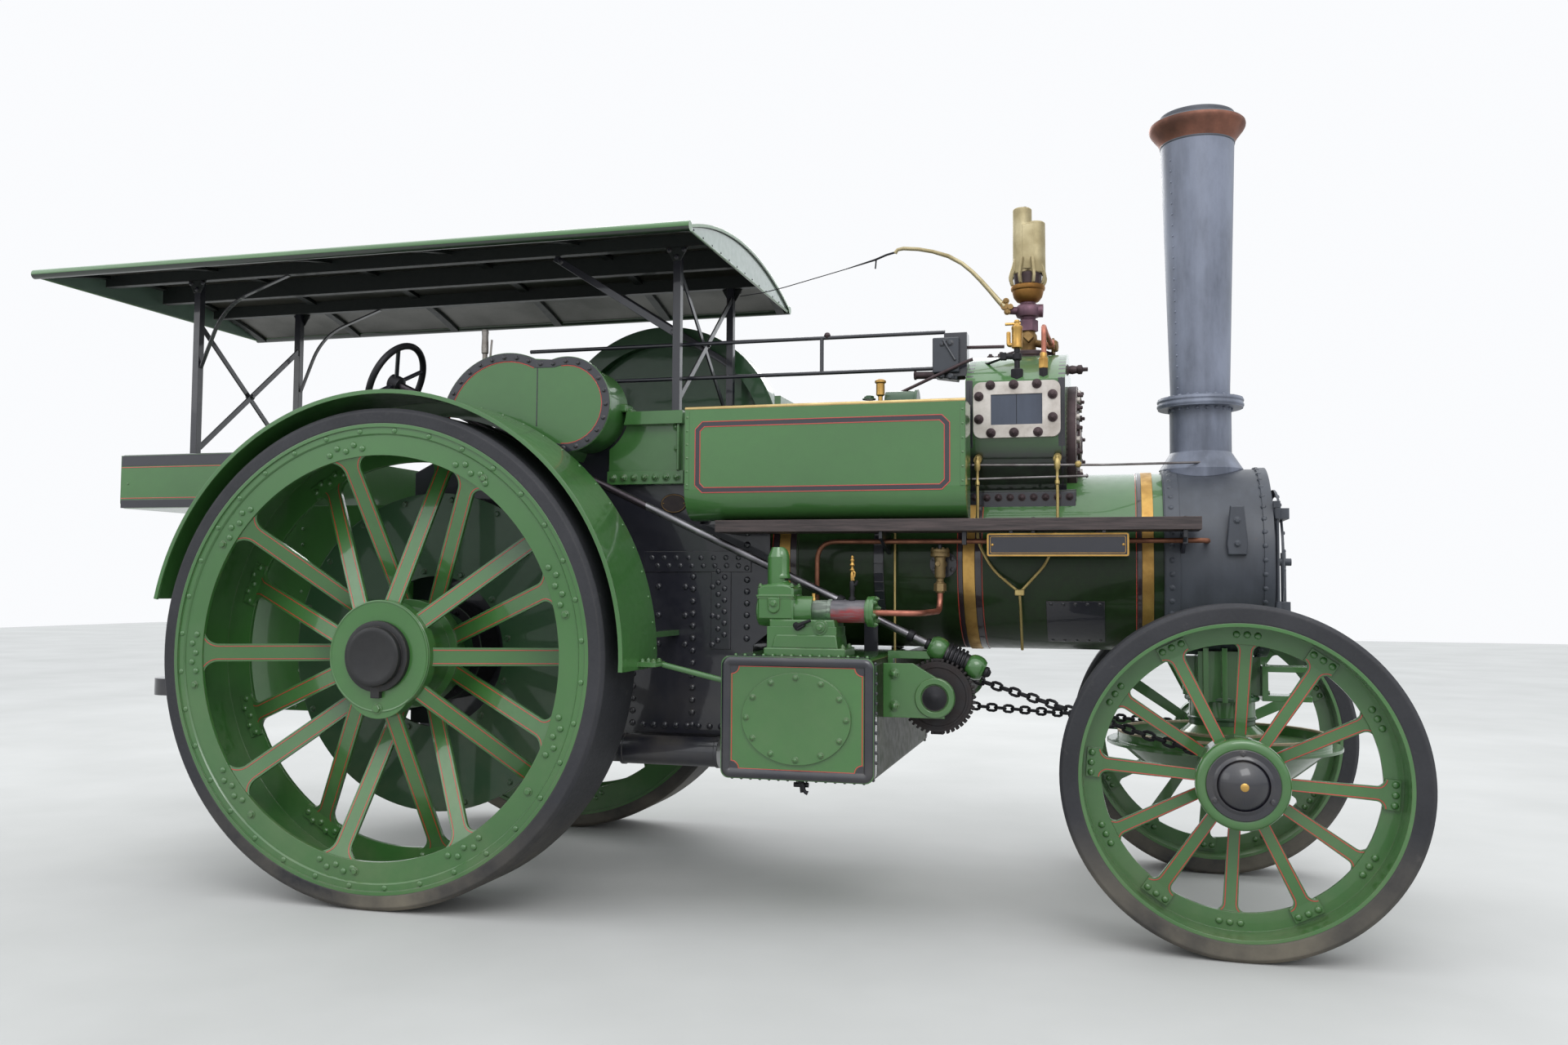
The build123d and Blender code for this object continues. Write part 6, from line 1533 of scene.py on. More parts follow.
def whistle():
    """Two chimed whistle tubes held by claws over a bowl, on a valve stack, with the lever and its wire."""
    x = ex(WHISTLE_X)
    tubes, dark, bowl, stack, plug = shapes(5)
    place = at(x, 0.0, 0.0)
    for offset_x, top, radius in ((-0.024, 3.108, 0.044), (0.034, 3.04, 0.046)):
        spot = at(x + offset_x, 0.0, 0.0)
        tubes.lathe([(radius - 0.004, 2.8), (radius + 0.0005, 2.806), (radius, 2.84),
                     (radius - 0.001, top - 0.006), (radius - 0.006, top), (radius - 0.012, top),
                     (radius - 0.013, top - 0.01), (0.0, top - 0.012)], spot, 40)
    tubes.block((x - 0.03, -0.046, 2.812), (x + 0.036, 0.046, 3.034), 0.01)
    dark.bolt(facing(x - 0.012, 0.0, 3.096, UP), 0.017, 0.013, stud=0.01)
    dark.lathe([(0.046, 2.745), (0.06, 2.752), (0.064, 2.8), (0.04, 2.812), (0.0, 2.812)], place, 40)
    claw = [(0.066, 2.745), (0.08, 2.752), (0.088, 2.768), (0.0905, 2.784), (0.086, 2.804), (0.074, 2.842),
            (0.066, 2.872), (0.05, 2.872), (0.056, 2.84), (0.068, 2.805), (0.076, 2.786), (0.07, 2.76)]
    for index in range(8):
        turned = place @ Matrix.Rotation(math.radians(index * 45.0 + 22.5), 4, "Z") @ side_face(RIGHT)
        tubes.prism(claw, -0.006, 0.006, 0.002, turned)
    bowl.lathe([(0.03, 2.668), (0.05, 2.676), (0.064, 2.694), (0.07, 2.716), (0.07, 2.722), (0.076, 2.727),
                (0.078, 2.736), (0.076, 2.745), (0.066, 2.75), (0.0, 2.75)], place, 48)
    collar = [(0.03, 2.582), (0.034, 2.592), (0.036, 2.6), (0.05, 2.604), (0.056, 2.616), (0.057, 2.634),
              (0.054, 2.65), (0.046, 2.658), (0.036, 2.662), (0.034, 2.672), (0.0, 2.675)]
    stack.lathe(collar, place, 40)
    stack.tube([(x - 0.05, -0.018, 2.632), (x - 0.098, -0.03, 2.634)], 0.018, 14)
    stack.tube([(x + 0.02, 0.0, 2.632), (x + 0.068, 0.0, 2.63)], 0.03, 18)
    stack.prism(hexagon(0.0455), 2.536, 2.588, 0.004, place)
    plug.lathe([(0.06, 2.414), (0.044, 2.424), (0.036, 2.44), (0.036, 2.47), (0.042, 2.484), (0.04, 2.516),
                (0.032, 2.53), (0.032, 2.538)], place, 36)
    diamond = facing(x + 0.006, -0.036, 2.5, OUTWARD, 45.0)
    plug.block((-0.018, -0.018, 0.0), (0.018, 0.018, 0.03), 0.003, diamond)
    plug.tube([(x + 0.03, 0.0, 2.482), (x + 0.118, -0.04, 2.456)], 0.017, 14)
    plug.bolt(facing(x + 0.114, -0.04, 2.456, (1.0, -0.2, 0.0)), 0.028, 0.02)
    dark.prism(oval(-0.03, 0.0, 0.172, 0.108, 48), 2.378, 2.4145, 0.003, place)
    for index, spot in enumerate(oval(-0.03, 0.0, 0.146, 0.083, 20)[1::2]):
        dark.bolt(facing(x + spot[0], spot[1], 2.413, UP, index * 11.0), 0.0155, 0.014, stud=0.008)
    dark.lathe([(0.112, 2.4135), (0.112, 2.428), (0.104, 2.4335), (0.05, 2.434)], place, 48)
    top = piece("whistle_tubes", tubes, cream_brass, "brass", angle=30.0)
    piece("whistle_bowl", bowl, bowl_bronze, "brass")
    piece("valve_collars", stack, purple_copper, "copper")
    piece("valve_stack", plug, bronze, "brass")
    piece("crown_flange", dark, brown_iron, "cast_iron")
    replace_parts(top, "safety_valve")
    lever = Shape()
    line = [(2.548, 2.65), (2.522, 2.676), (2.485, 2.722), (2.442, 2.774), (2.4, 2.82), (2.353, 2.862),
            (2.29, 2.9), (2.218, 2.926), (2.15, 2.942), (2.08, 2.95), (2.052, 2.946), (2.04, 2.93)]
    lever.tube(route_at(WHISTLE_Y, line), [0.016, 0.0125, 0.011, 0.0105] + [0.01] * 3
               + [0.009] * 3 + [0.008, 0.009], 12)
    piece("whistle_lever", lever, cream_brass, "brass")
    wire, joint = shapes(2)
    joint.rod([(2.575, -0.058, 2.645), (2.575, -0.02, 2.645)], 0.013, 14)
    joint.rod([(2.548, -0.056, 2.652), (2.548, -0.028, 2.652)], 0.019, 16)
    for px, pz, turn in ((2.555, 2.672, 20.0), (2.56, 2.622, 50.0)):
        joint.bolt(facing(ex(px), -0.052, pz, OUTWARD, turn), 0.011, 0.008)
    route = [(2.04, 2.934), (2.0, 2.925), (1.946, 2.905), (1.8, 2.868), (1.506, 2.8), (1.4, 2.78),
             (1.28, 2.768)]
    wire.tube(route_at(WHISTLE_Y, route), [0.005, 0.005, 0.005, 0.0022, 0.0022, 0.0022, 0.0022], 6)
    wire.rod([(1.95, WHISTLE_Y, 2.907), (1.946, WHISTLE_Y, 2.862)], 0.004, 6)
    piece("whistle_wire", wire, black_iron, "steel")
    piece("whistle_joint", joint, bronze, "brass")


def lubricator():
    """Brass lubricator and copper relief pipe on their dark foot valves at the crown's edge."""
    shape, pipe, dark = shapes(3)
    x, y = ex(2.628), -0.37
    spot = at(x, y, 0.0)
    dark.prism(hexagon(0.029, 30.0), 2.252, 2.3, 0.004, spot)
    dark.lathe([(0.018, 2.298), (0.012, 2.306), (0.012, 2.336), (0.02, 2.342), (0.02, 2.366), (0.013, 2.372),
                (0.013, 2.392)], spot, 20)
    dark.tube([(x, y, 2.354), (ex(2.572), y + 0.004, 2.358)], 0.012, 12)
    dark.block((ex(2.556), y - 0.01, 2.342), (ex(2.584), y + 0.016, 2.374), 0.003)
    shape.lathe([(0.013, 2.388), (0.023, 2.393), (0.0236, 2.404), (0.0226, 2.408), (0.0226, 2.47),
                 (0.024, 2.474), (0.024, 2.484), (0.016, 2.49), (0.011, 2.498), (0.013, 2.506),
                 (0.01, 2.513), (0.0, 2.515)], spot, 28)
    shape.rod([(2.578, y, 2.497), (2.644, y, 2.497)], 0.0065, 10)
    elbow = [(ex(2.612), y + 0.02, 2.41), (ex(2.59), y + 0.03, 2.41), (ex(2.588), y + 0.05, 2.47)]
    shape.tube(bent(elbow, 0.02), 0.0095, 10)
    other = at(ex(2.739), y, 0.0)
    dark.prism(hexagon(0.0205, 30.0), 2.252, 2.302, 0.003, other)
    shape.prism(hexagon(0.0215, 30.0), 2.3, 2.344, 0.003, other)
    shape.lathe([(0.015, 2.343), (0.015, 2.362), (0.011, 2.368)], other, 20)
    pipe.tube(bent([(ex(2.741), y, 2.36), (ex(2.741), y, 2.47), (ex(2.738), y + 0.05, 2.492),
                    (ex(2.745), y + 0.14, 2.47), (ex(2.76), y + 0.27, 2.452)], 0.045), 0.0112, 12)
    pipe.rod([(2.742, -0.1, 2.452), (2.772, -0.1, 2.452)], 0.022, 14)
    dark.tube(bent([(ex(2.45), -0.18, 2.372), (ex(2.49), -0.27, 2.345), (ex(2.56), -0.352, 2.352)], 0.03),
              0.006, 8)
    piece("lubricator", shape, brass)
    piece("relief_pipe", pipe, pink_copper, "copper")
    piece("foot_valves", dark, black_iron, "cast_iron")


cylinder_front = ex(2.83)
chest_trim()
cylinder_trim()
whistle()
lubricator()


# Rods and small gear on top
TOP_ROD_Y = -0.3
ROCKER_Y = -0.38


def top_gear():
    """Oil box, cups, sleeves and green rocker of the long rods over the motion."""
    dark, bright, fresh, rods = shapes(4)
    dark.block((ex(2.262), -0.362, 2.3), (ex(2.378), -0.238, 2.455), 0.004)
    dark.prism(from_axle([(2.27, 2.285), (2.366, 2.27), (2.376, 2.302), (2.266, 2.302)]),
               0.262, 0.338, 0.003, side_face(RIGHT))
    dark.rod([(2.292, TOP_ROD_Y, 2.454), (2.292, TOP_ROD_Y, 2.462)], 0.008, 10)
    dark.rod([(2.31, -0.366, 2.44), (2.362, -0.366, 2.352)], 0.0055, 8)
    for px, pz, radius in ((2.318, 2.442, 0.01), (2.34, 2.428, 0.01), (2.304, 2.425, 0.008),
                           (2.3, 2.286, 0.011), (2.34, 2.282, 0.011)):
        dark.bolt(facing(ex(px), -0.361, pz, OUTWARD, px * 900.0), radius, 0.008)
    rods.rod([(2.182, TOP_ROD_Y, 2.302), (2.282, TOP_ROD_Y, 2.3)], 0.0165, 14)
    rods.rod([(2.172, TOP_ROD_Y, 2.302), (2.182, TOP_ROD_Y, 2.302)], 0.02, 6)
    rods.lathe([(0.0, -0.016), (0.01, -0.012), (0.016, 0.0), (0.01, 0.012), (0.0, 0.016)],
               at(ex(1.775), TOP_ROD_Y, 2.5), 16)
    rods.rod([(2.09, -0.38, 2.2), (2.4, -0.37, 2.338), (2.44, -0.37, 2.352)], 0.0072, 8)
    rods.rod([(2.372, TOP_ROD_Y, 2.418), (2.568, TOP_ROD_Y, 2.414)], 0.0075, 8)
    spot = at(ex(2.048), -0.45, 0.0)
    bright.lathe([(0.01, 2.165), (0.01, 2.19), (0.0185, 2.196), (0.0185, 2.246), (0.0245, 2.25),
                  (0.0245, 2.258), (0.016, 2.264), (0.0, 2.265)], spot, 24)
    fresh.rod([(2.062, ROCKER_Y, 2.17), (2.198, ROCKER_Y, 2.168)], 0.052, 24)
    fresh.rod([(2.192, ROCKER_Y, 2.168), (2.204, ROCKER_Y, 2.168)], 0.058, 24)
    fresh.bolt(facing(ex(1.996), -0.44, 2.18, UP), 0.022, 0.016)
    piece("oil_box", dark, charcoal, "paint_black")
    piece("rod_sleeves", rods, brown_iron, "steel")
    piece("oil_cup", bright, brass)
    piece("rocker", fresh, dark_green)


def reversing_lever():
    """Polished sleeve, latch rod and handle on the reversing lever, with its bolted foot."""
    shape, dark = shapes(2)
    x, y = ex(0.09), -0.366
    shape.tube([(x, y, 2.02), (x, y, 2.484)], 0.0122, 12)
    shape.lathe([(0.012, 2.476), (0.0165, 2.482), (0.0172, 2.51), (0.015, 2.56), (0.0172, 2.588),
                 (0.012, 2.5935), (0.0, 2.594)], at(x, y, 0.0), 20)
    shape.tube([(x + 0.026, y, 2.06), (x + 0.026, y, 2.43), (x + 0.03, y, 2.47), (x + 0.036, y, 2.545)],
               0.0052, 8)
    for z in (2.1, 2.26, 2.42):
        shape.block((x - 0.014, y - 0.016, z - 0.012), (x + 0.034, y + 0.012, z + 0.012), 0.003)
    dark.block((ex(0.03), -0.41, 1.956), (ex(0.15), -0.355, 1.966), 0.002)
    for dx in (0.052, 0.128):
        dark.bolt(facing(ex(dx), -0.382, 1.966, UP, dx * 400.0), 0.011, 0.009)
    piece("lever_sleeve", shape, steel, "steel")
    piece("lever_foot", dark, black)


top_gear()
reversing_lever()


# Feed pump and pipes
PUMP_Y = -0.75
PUMP_Z = 1.262


def pump_trim():
    """Cast box, air vessel, column, foot, worn barrel and small fittings of the feed pump."""
    fresh, worn, pale, bolts, dark, bright = shapes(6)
    y, z = PUMP_Y, PUMP_Z
    x0, cock_x = ex(1.6), ex(1.874)
    place = side_face(RIGHT)
    along = along_x(0.0, y, z)
    fresh.lathe([(0.0, x0 - 0.01), (0.03, x0 - 0.01), (0.052, x0 - 0.006), (0.062, x0 + 0.004),
                 (0.0645, x0 + 0.02), (0.0645, x0 + 0.15)], along, 48)
    body = [(1.606, 1.226), (1.758, 1.226), (1.76, 1.352), (1.75, 1.366), (1.716, 1.372), (1.65, 1.372),
            (1.616, 1.366), (1.606, 1.352)]
    fresh.prism(from_axle(body), 0.686, 0.826, 0.008, place)
    for z0, reach in ((1.3235, 0.0035), (1.3155, 0.0012)):
        fresh.block((ex(1.606) - reach, y - 0.076 - reach, z0 - 0.004),
                    (ex(1.76) + reach, y + 0.062 + reach, z0 + 0.004), 0.0015)
    tongue = [(1.652, 1.318), (1.652, 1.278)]
    tongue += arc((1.6775, 1.278), 0.0255, 180.0, 360.0, 10) + [(1.703, 1.318)]
    fresh.prism(from_axle(tongue), 0.82, 0.836, 0.004, place)
    bolts.bolt(facing(ex(1.6775), -0.836, 1.292, OUTWARD, 12.0), 0.012, 0.009)
    for px in (1.617, 1.75):
        for dy in (-0.064, 0.05):
            bolts.bolt(facing(ex(px), y + dy, 1.362, UP, px * 300.0), 0.009, 0.009, stud=0.004)
    vessel = at(ex(1.6875), y, 0.0)
    fresh.lathe([(0.056, 1.366), (0.05, 1.374), (0.034, 1.381), (0.03, 1.388)], vessel, 40)
    fresh.lathe([(0.03, 1.394), (0.0385, 1.396), (0.0395, 1.404), (0.037, 1.411), (0.0345, 1.416),
                 (0.0348, 1.47), (0.033, 1.492), (0.027, 1.511), (0.017, 1.522), (0.008, 1.5265),
                 (0.0, 1.5275)], vessel, 48)
    dark.lathe([(0.0305, 1.386), (0.0305, 1.396)], vessel, 32)
    pale.lathe([(0.0445, x0 + 0.15), (0.046, x0 + 0.158), (0.0455, x0 + 0.29), (0.049, x0 + 0.292),
                (0.0495, x0 + 0.304), (0.046, x0 + 0.307)], along, 48)
    worn.lathe([(0.046, x0 + 0.306), (0.0468, x0 + 0.31), (0.0465, x0 + 0.446), (0.0445, x0 + 0.45)],
               along, 48)
    fresh.lathe([(0.045, x0 + 0.446), (0.05, x0 + 0.448), (0.0505, x0 + 0.462), (0.048, x0 + 0.466),
                 (0.063, x0 + 0.468), (0.064, x0 + 0.482), (0.06, x0 + 0.487), (0.0, x0 + 0.487)], along, 48)
    for index in range(6):
        spot = polar(0.054, index * 60.0 + 15.0)
        bolts.bolt(facing(x0 + 0.487, y + spot[0], z + spot[1], AHEAD), 0.0085, 0.008, stud=0.004)
    column = [(1.659, 1.164), (1.94, 1.166), (1.934, 1.206), (1.93, 1.228), (1.66, 1.228)]
    fresh.prism(from_axle(column), 0.664, 0.832, 0.005, place)
    foot = [(1.672, 1.112), (1.949, 1.112), (1.942, 1.16), (1.936, 1.167), (1.694, 1.167), (1.686, 1.16)]
    fresh.prism(from_axle(foot), 0.656, 0.842, 0.004, place)
    fresh.block((ex(1.64), -0.848, 1.078), (ex(1.98), -0.652, 1.1135), 0.004)
    for px in (1.658, 1.963):
        for py in (-0.815, -0.685):
            bolts.bolt(facing(ex(px), py, 1.1125, UP, px * 500.0), 0.011, 0.011, stud=0.006)
    fresh.tube([(cock_x, -0.828, 1.198), (cock_x, -0.838, 1.198)], 0.031, 28)
    fresh.tube([(cock_x, -0.836, 1.198), (cock_x, -0.845, 1.198)], 0.022, 24)
    bolts.bolt(facing(cock_x, -0.845, 1.196, OUTWARD, 20.0), 0.012, 0.01)
    dark.rod([(1.772, -0.838, 1.196), (1.8, -0.846, 1.212), (1.837, -0.846, 1.226)],
             [0.011, 0.008, 0.006], 10)
    dark.rod([(1.772, -0.826, 1.206), (1.784, -0.846, 1.196)], 0.014, 12)
    dark.rod([(1.782, -0.842, 1.188), (1.812, -0.846, 1.206)], 0.006, 8)
    tap_x, tap_y = ex(1.99), -0.755
    bright.lathe([(0.011, 1.3), (0.011, 1.312), (0.0075, 1.318), (0.0085, 1.334), (0.0, 1.336)],
                 at(ex(1.828), tap_y, 0.0), 20)
    tap = at(tap_x, tap_y, 0.0)
    dark.lathe([(0.014, 1.3), (0.014, 1.318), (0.009, 1.322), (0.009, 1.346), (0.011, 1.35), (0.011, 1.382),
                (0.008, 1.388)], tap, 20)
    dark.tube([(tap_x, tap_y, 1.372), (ex(2.006), -0.76, 1.372), (ex(2.012), -0.76, 1.388)], 0.006, 8)
    beads = [(0.007, 1.386), (0.008, 1.392), (0.008, 1.418), (0.005, 1.424), (0.011, 1.432), (0.005, 1.44),
             (0.005, 1.444), (0.0115, 1.452), (0.006, 1.46), (0.006, 1.464), (0.01, 1.471), (0.005, 1.477),
             (0.006, 1.485), (0.003, 1.49), (0.0, 1.491)]
    bright.lathe(beads, tap, 20)
    hook = [(1.996, 1.428), (2.003, 1.42), (2.002, 1.408), (1.996, 1.4), (1.998, 1.388)]
    bright.tube(route_at(-0.764, hook), 0.0042, 8)
    piece("pump_castings", fresh, green)
    # The barrel's and sleeve's top colours are painted light; their bare streaks are wear.
    piece("pump_barrel", worn, red_streaks_and_painted_top, "paint_green")
    piece("pump_sleeve", pale, sleeve_sheen_and_streaks, "paint_green")
    piece("pump_bolts", bolts, green)
    piece("pump_handle", dark, black_iron, "cast_iron")
    piece("pump_brass", bright, brass)


DRAIN_Y = -0.419


def pipes():
    """Brass clack valve, copper-brown feed pipes, thin drain pipes and small iron parts on the right side."""
    feed, thin, valve, dark = shapes(4)
    copper_feed = Shape()
    valve_x, valve_y = ex(2.308), -0.455
    run_y, run_z = -0.525, 1.556
    bar_y, bar_z = -0.55, 0.64
    copper_feed.tube(bent([(ex(2.086), -0.75, 1.258), (ex(2.262), -0.74, 1.256), (ex(2.306), -0.48, 1.262),
                           (valve_x, valve_y, 1.3), (valve_x, valve_y, 1.352)], 0.09, 10), 0.0125, 14)
    feed.tube(bent([(ex(1.787), run_y, 1.08), (ex(1.787), run_y, run_z), (ex(3.389), run_y, run_z),
                    (ex(3.389), -0.4, run_z)], 0.085), 0.0106, 12)
    for px in (2.42, 2.96, 3.3):
        dark.block((ex(px) - 0.01, -0.54, 1.54), (ex(px) + 0.01, -0.51, 1.6), 0.002)
    spot = at(valve_x, valve_y, 0.0)
    valve.lathe([(0.013, 1.338), (0.019, 1.342), (0.019, 1.384), (0.0145, 1.389), (0.0145, 1.398),
                 (0.02, 1.403), (0.023, 1.41), (0.0225, 1.478), (0.025, 1.49), (0.04, 1.494),
                 (0.0405, 1.508), (0.0385, 1.51), (0.0385, 1.512), (0.04, 1.514), (0.04, 1.524),
                 (0.037, 1.527), (0.0, 1.528)], spot, 40)
    valve.prism(hexagon(0.0265, 10.0), 1.347, 1.38, 0.003, spot)
    valve.rod([(2.302, -0.476, 1.462), (2.302, -0.49, 1.462)], 0.01, 14)
    valve.rod([(2.31, valve_y, 1.462), (2.314, -0.395, 1.462)], 0.018, 16)
    for index in range(4):
        near = polar(0.033, index * 90.0 + 30.0)
        valve.bolt(facing(valve_x + near[0], valve_y + near[1], 1.527, UP), 0.0055, 0.005)
    dark.lathe([(0.01, 1.527), (0.01, 1.545), (0.006, 1.55), (0.006, 1.563), (0.0, 1.564)], spot, 16)
    dark.rod([(2.314, -0.38, 1.462), (2.314, -0.402, 1.462)], 0.058, 40)
    for index in range(6):
        near = polar(0.047, index * 60.0 + 30.0)
        dark.bolt(facing(ex(2.314) + near[0], -0.401, 1.462 + near[1], OUTWARD, index * 9.0), 0.008, 0.007)
    for path in (((2.463, 1.65), (2.463, 1.555), (2.527, 1.436), (2.63, 1.35)),
                 ((2.798, 1.65), (2.755, 1.47), (2.646, 1.35))):
        thin.tube(bent(route_at(DRAIN_Y, path), 0.05), 0.0062, 8)
    thin.tube(bent([(ex(2.638), DRAIN_Y, 1.345), (ex(2.64), -0.405, 1.3), (ex(2.64), -0.3, 1.097)], 0.04),
              0.0062, 8)
    thin.rod([(2.107, -0.418, 1.62), (2.107, -0.418, 0.995)], 0.0055, 8)
    thin.block((ex(2.618), -0.428, 1.33), (ex(2.658), -0.411, 1.356), 0.003)
    dark.rod([(0.916, bar_y, bar_z), (1.363, bar_y, bar_z)], 0.064, 24)
    dark.rod([(0.912, bar_y, bar_z), (0.928, bar_y, bar_z)], 0.068, 24)
    dark.rod([(1.351, bar_y, bar_z), (1.367, bar_y, bar_z)], 0.068, 24)
    strap = [around(ex(2.0305), 0.3935, angle) for angle in range(-38, 25, 6)]
    for before, after in zip(strap, strap[1:]):
        run = after.translation - before.translation
        wide, along = Vector(AHEAD), run.normalized()
        turned = Matrix((wide, along, wide.cross(along))).transposed().to_4x4()
        turned.translation = before.translation
        dark.block((-0.0215, -0.002, -0.004), (0.0215, run.length + 0.002, 0.005), 0.001, turned)
    piece("feed_pipes", feed, tarnished_copper, "copper")
    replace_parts(piece("feed_bend", copper_feed, pink_copper, "copper"), "feed_pipe")
    piece("drain_pipes", thin, old_brass, "brass")
    piece("clack_valve", valve, cast_brass, "brass")
    piece("boiler_irons", dark, black)


pump_trim()
pipes()


# Canopy
ROOF_HALF = roof.y1 - 0.023
POST_Y = 0.402
POST_FRONT = ex(1.092)
POST_BACK = ex(-1.53)


def roof_height(y):
    """Height of the roof's underside at one place across."""
    rise, half = 0.14, 0.848
    radius = (half * half + rise * rise) / (2.0 * rise)
    return roof.z1 - radius + math.sqrt(radius * radius - y * y) - 0.014


def roof_shell(shape, x0, x1, y0, y1, drop, wall, steps=10):
    """Curved sheet under the roof, between two places along X and across."""
    points, faces = [], []
    for index in range(steps + 1):
        y = y0 + (y1 - y0) * index / steps
        for x in (x0, x1):
            for down in (drop, drop + wall):
                points.append((x, y, roof_height(y) - down))
    for index in range(steps):
        a, b = 4 * index, 4 * index + 4
        faces += [[a, a + 2, b + 2, b], [a + 1, b + 1, b + 3, a + 3], [a, b, b + 1, a + 1],
                  [a + 2, a + 3, b + 3, b + 2]]
    end = 4 * steps
    faces += [[0, 1, 3, 2], [end, end + 2, end + 3, end + 1]]
    shape.add(points, faces)


def canopy_trim():
    """Varnished panels between ribs under the roof, end boards, beads, gussets and bolts."""
    panels, ribs, bolts, fresh, boards = shapes(5)
    bays = 5
    x0, x1 = roof.x0 + 0.05, roof.x1 - 0.05
    step = (x1 - x0) / bays
    for index in range(bays):
        for y0, y1 in ((-0.8, -0.43), (-0.375, -0.03), (0.03, 0.375), (0.43, 0.8)):
            roof_shell(panels, x0 + index * step + 0.03, x0 + (index + 1) * step - 0.03,
                       y0, y1, 0.0005, 0.003)
    for index in range(bays + 1):
        roof_shell(ribs, x0 + index * step - 0.022, x0 + index * step + 0.022,
                   -0.815, 0.815, 0.0005, 0.018, 16)
    for side in (RIGHT, LEFT):
        for index in range(24):
            x = roof.x0 + 0.07 + index * (roof.x1 - roof.x0 - 0.14) / 23.0
            low = side * (ROOF_HALF - 0.045)
            bolts.rivet(facing(x, low, roof_height(low) + 0.0135, (0.0, side * 0.33, 1.0)), 0.007, 0.004)
    edge = []
    for index in range(33):
        y = -ROOF_HALF + 2.0 * ROOF_HALF * index / 32.0
        edge.append((roof.x1 - 0.004, y, roof_height(y) + 0.003))
    fresh.tube(edge, 0.0035, 8)
    chord = roof_height(ROOF_HALF - 0.02) - 0.01
    half = ROOF_HALF - 0.022
    outline = [(-half, chord), (half, chord)]
    outline += [(half - half * index / 16.0, roof_height(half - half * index / 16.0) - 0.001)
                for index in range(33)]
    for x0_board, x_bead in ((roof.x1 - 0.016, roof.x1 - 0.01), (roof.x0 + 0.01, roof.x0 + 0.01)):
        place = Matrix(((0, 0, 1, x0_board), (1, 0, 0, 0), (0, 1, 0, 0), (0, 0, 0, 1)))
        boards.prism(outline, 0.0, 0.006, 0.001, place)
        fresh.tube([(x_bead, -half, chord), (x_bead, half, chord)], 0.006, 10)
        for index in range(13):
            y = -half * 0.94 + half * 1.88 * index / 12.0
            toward = math.copysign(1.0, x_bead)
            bolts.rivet(facing(x_bead, y, chord + 0.013, (toward, 0.0, 0.0)), 0.005, 0.003)
    for x in (POST_FRONT, POST_BACK):
        for y in (-POST_Y, POST_Y):
            outline = [(-0.055, 0.0), (0.055, 0.0), (0.02, -0.062), (-0.02, -0.062)]
            place = Matrix(((1, 0, 0, x), (0, 0, 1, y - 0.003 + math.copysign(0.021, y)),
                            (0, 1, 0, post_top), (0, 0, 0, 1)))
            ribs.prism(outline[::-1], 0.0, 0.006, 0.001, place)
            for bx, bz in ((-0.036, -0.014), (0.036, -0.014), (0.0, -0.046)):
                bolts.bolt(facing(x + bx, y + math.copysign(0.025, y), post_top + bz,
                                  (0.0, math.copysign(1.0, y), 0.0)), 0.009, 0.007)
    piece("roof_panels", panels, roof_panel, "paint_dark_green")
    piece("roof_ribs", ribs, beam_green, "paint_dark_green")
    piece("roof_bolts", bolts, black)
    piece("roof_bead", fresh, green)
    # The end boards' pale green is a painted sky reflection.
    piece("roof_end_boards", boards, sky_reflection_green, "paint_green")


def flat_bar(shape, start, end, width, thick, across):
    """Straight flat bar between two points, its wide side across one direction."""
    start, end = Vector(start), Vector(end)
    run = (end - start).normalized()
    wide = (Vector(across) - run * run.dot(Vector(across))).normalized()
    place = Matrix((wide, run.cross(wide), run)).transposed().to_4x4()
    place.translation = start
    shape.block((-width / 2.0, -thick / 2.0, 0.0), (width / 2.0, thick / 2.0, (end - start).length),
                min(0.0015, thick / 4.0), place)


def canopy_stays():
    """Crossed flat bars between the posts, with the curved rear stays and the long front stays."""
    flat = Shape()
    for x, low, high in ((POST_FRONT, horn.z1 + 0.08, post_top - 0.06),
                         (POST_BACK, tender.z1 + 0.06, post_top - 0.22)):
        for way in (1.0, -1.0):
            flat_bar(flat, (x + way * 0.01, -way * 0.384, low), (x + way * 0.01, way * 0.384, high),
                     0.03, 0.008, UP)
        for way in (1.0, -1.0):
            flat.bolt(facing(x + way * 0.0145, 0.0, (low + high) / 2.0, (way, 0.0, 0.0)), 0.013, 0.009)
    for y in (-POST_Y, POST_Y):
        route = bent([(ex(-1.512), y, 2.47), (ex(-1.377), y, 2.79), (ex(-1.0), y, 2.92)], 0.3, 12)
        for before, after in zip(route, route[1:]):
            reach = (after - before).normalized() * 0.002
            flat_bar(flat, before - reach, after + reach, 0.024, 0.008, (0.0, 1.0, 0.0))
        flat_bar(flat, (POST_FRONT, y, 2.516), (ex(0.47), y, 2.915), 0.034, 0.01, (1.0, 0.0, 1.0))
        for px, pz in ((1.072, 2.528), (0.5, 2.896)):
            flat.bolt(facing(ex(px), y + math.copysign(0.005, y), pz, (0.0, math.copysign(1.0, y), 0.0)),
                      0.011, 0.008)
    stays = piece("canopy_bars", flat, black)
    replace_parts(stays, "canopy_braces")


post_top = span("canopy_posts").z1
canopy_trim()
canopy_stays()


# Tender and mudguards
TENDER_SIDE_Z = 1.735


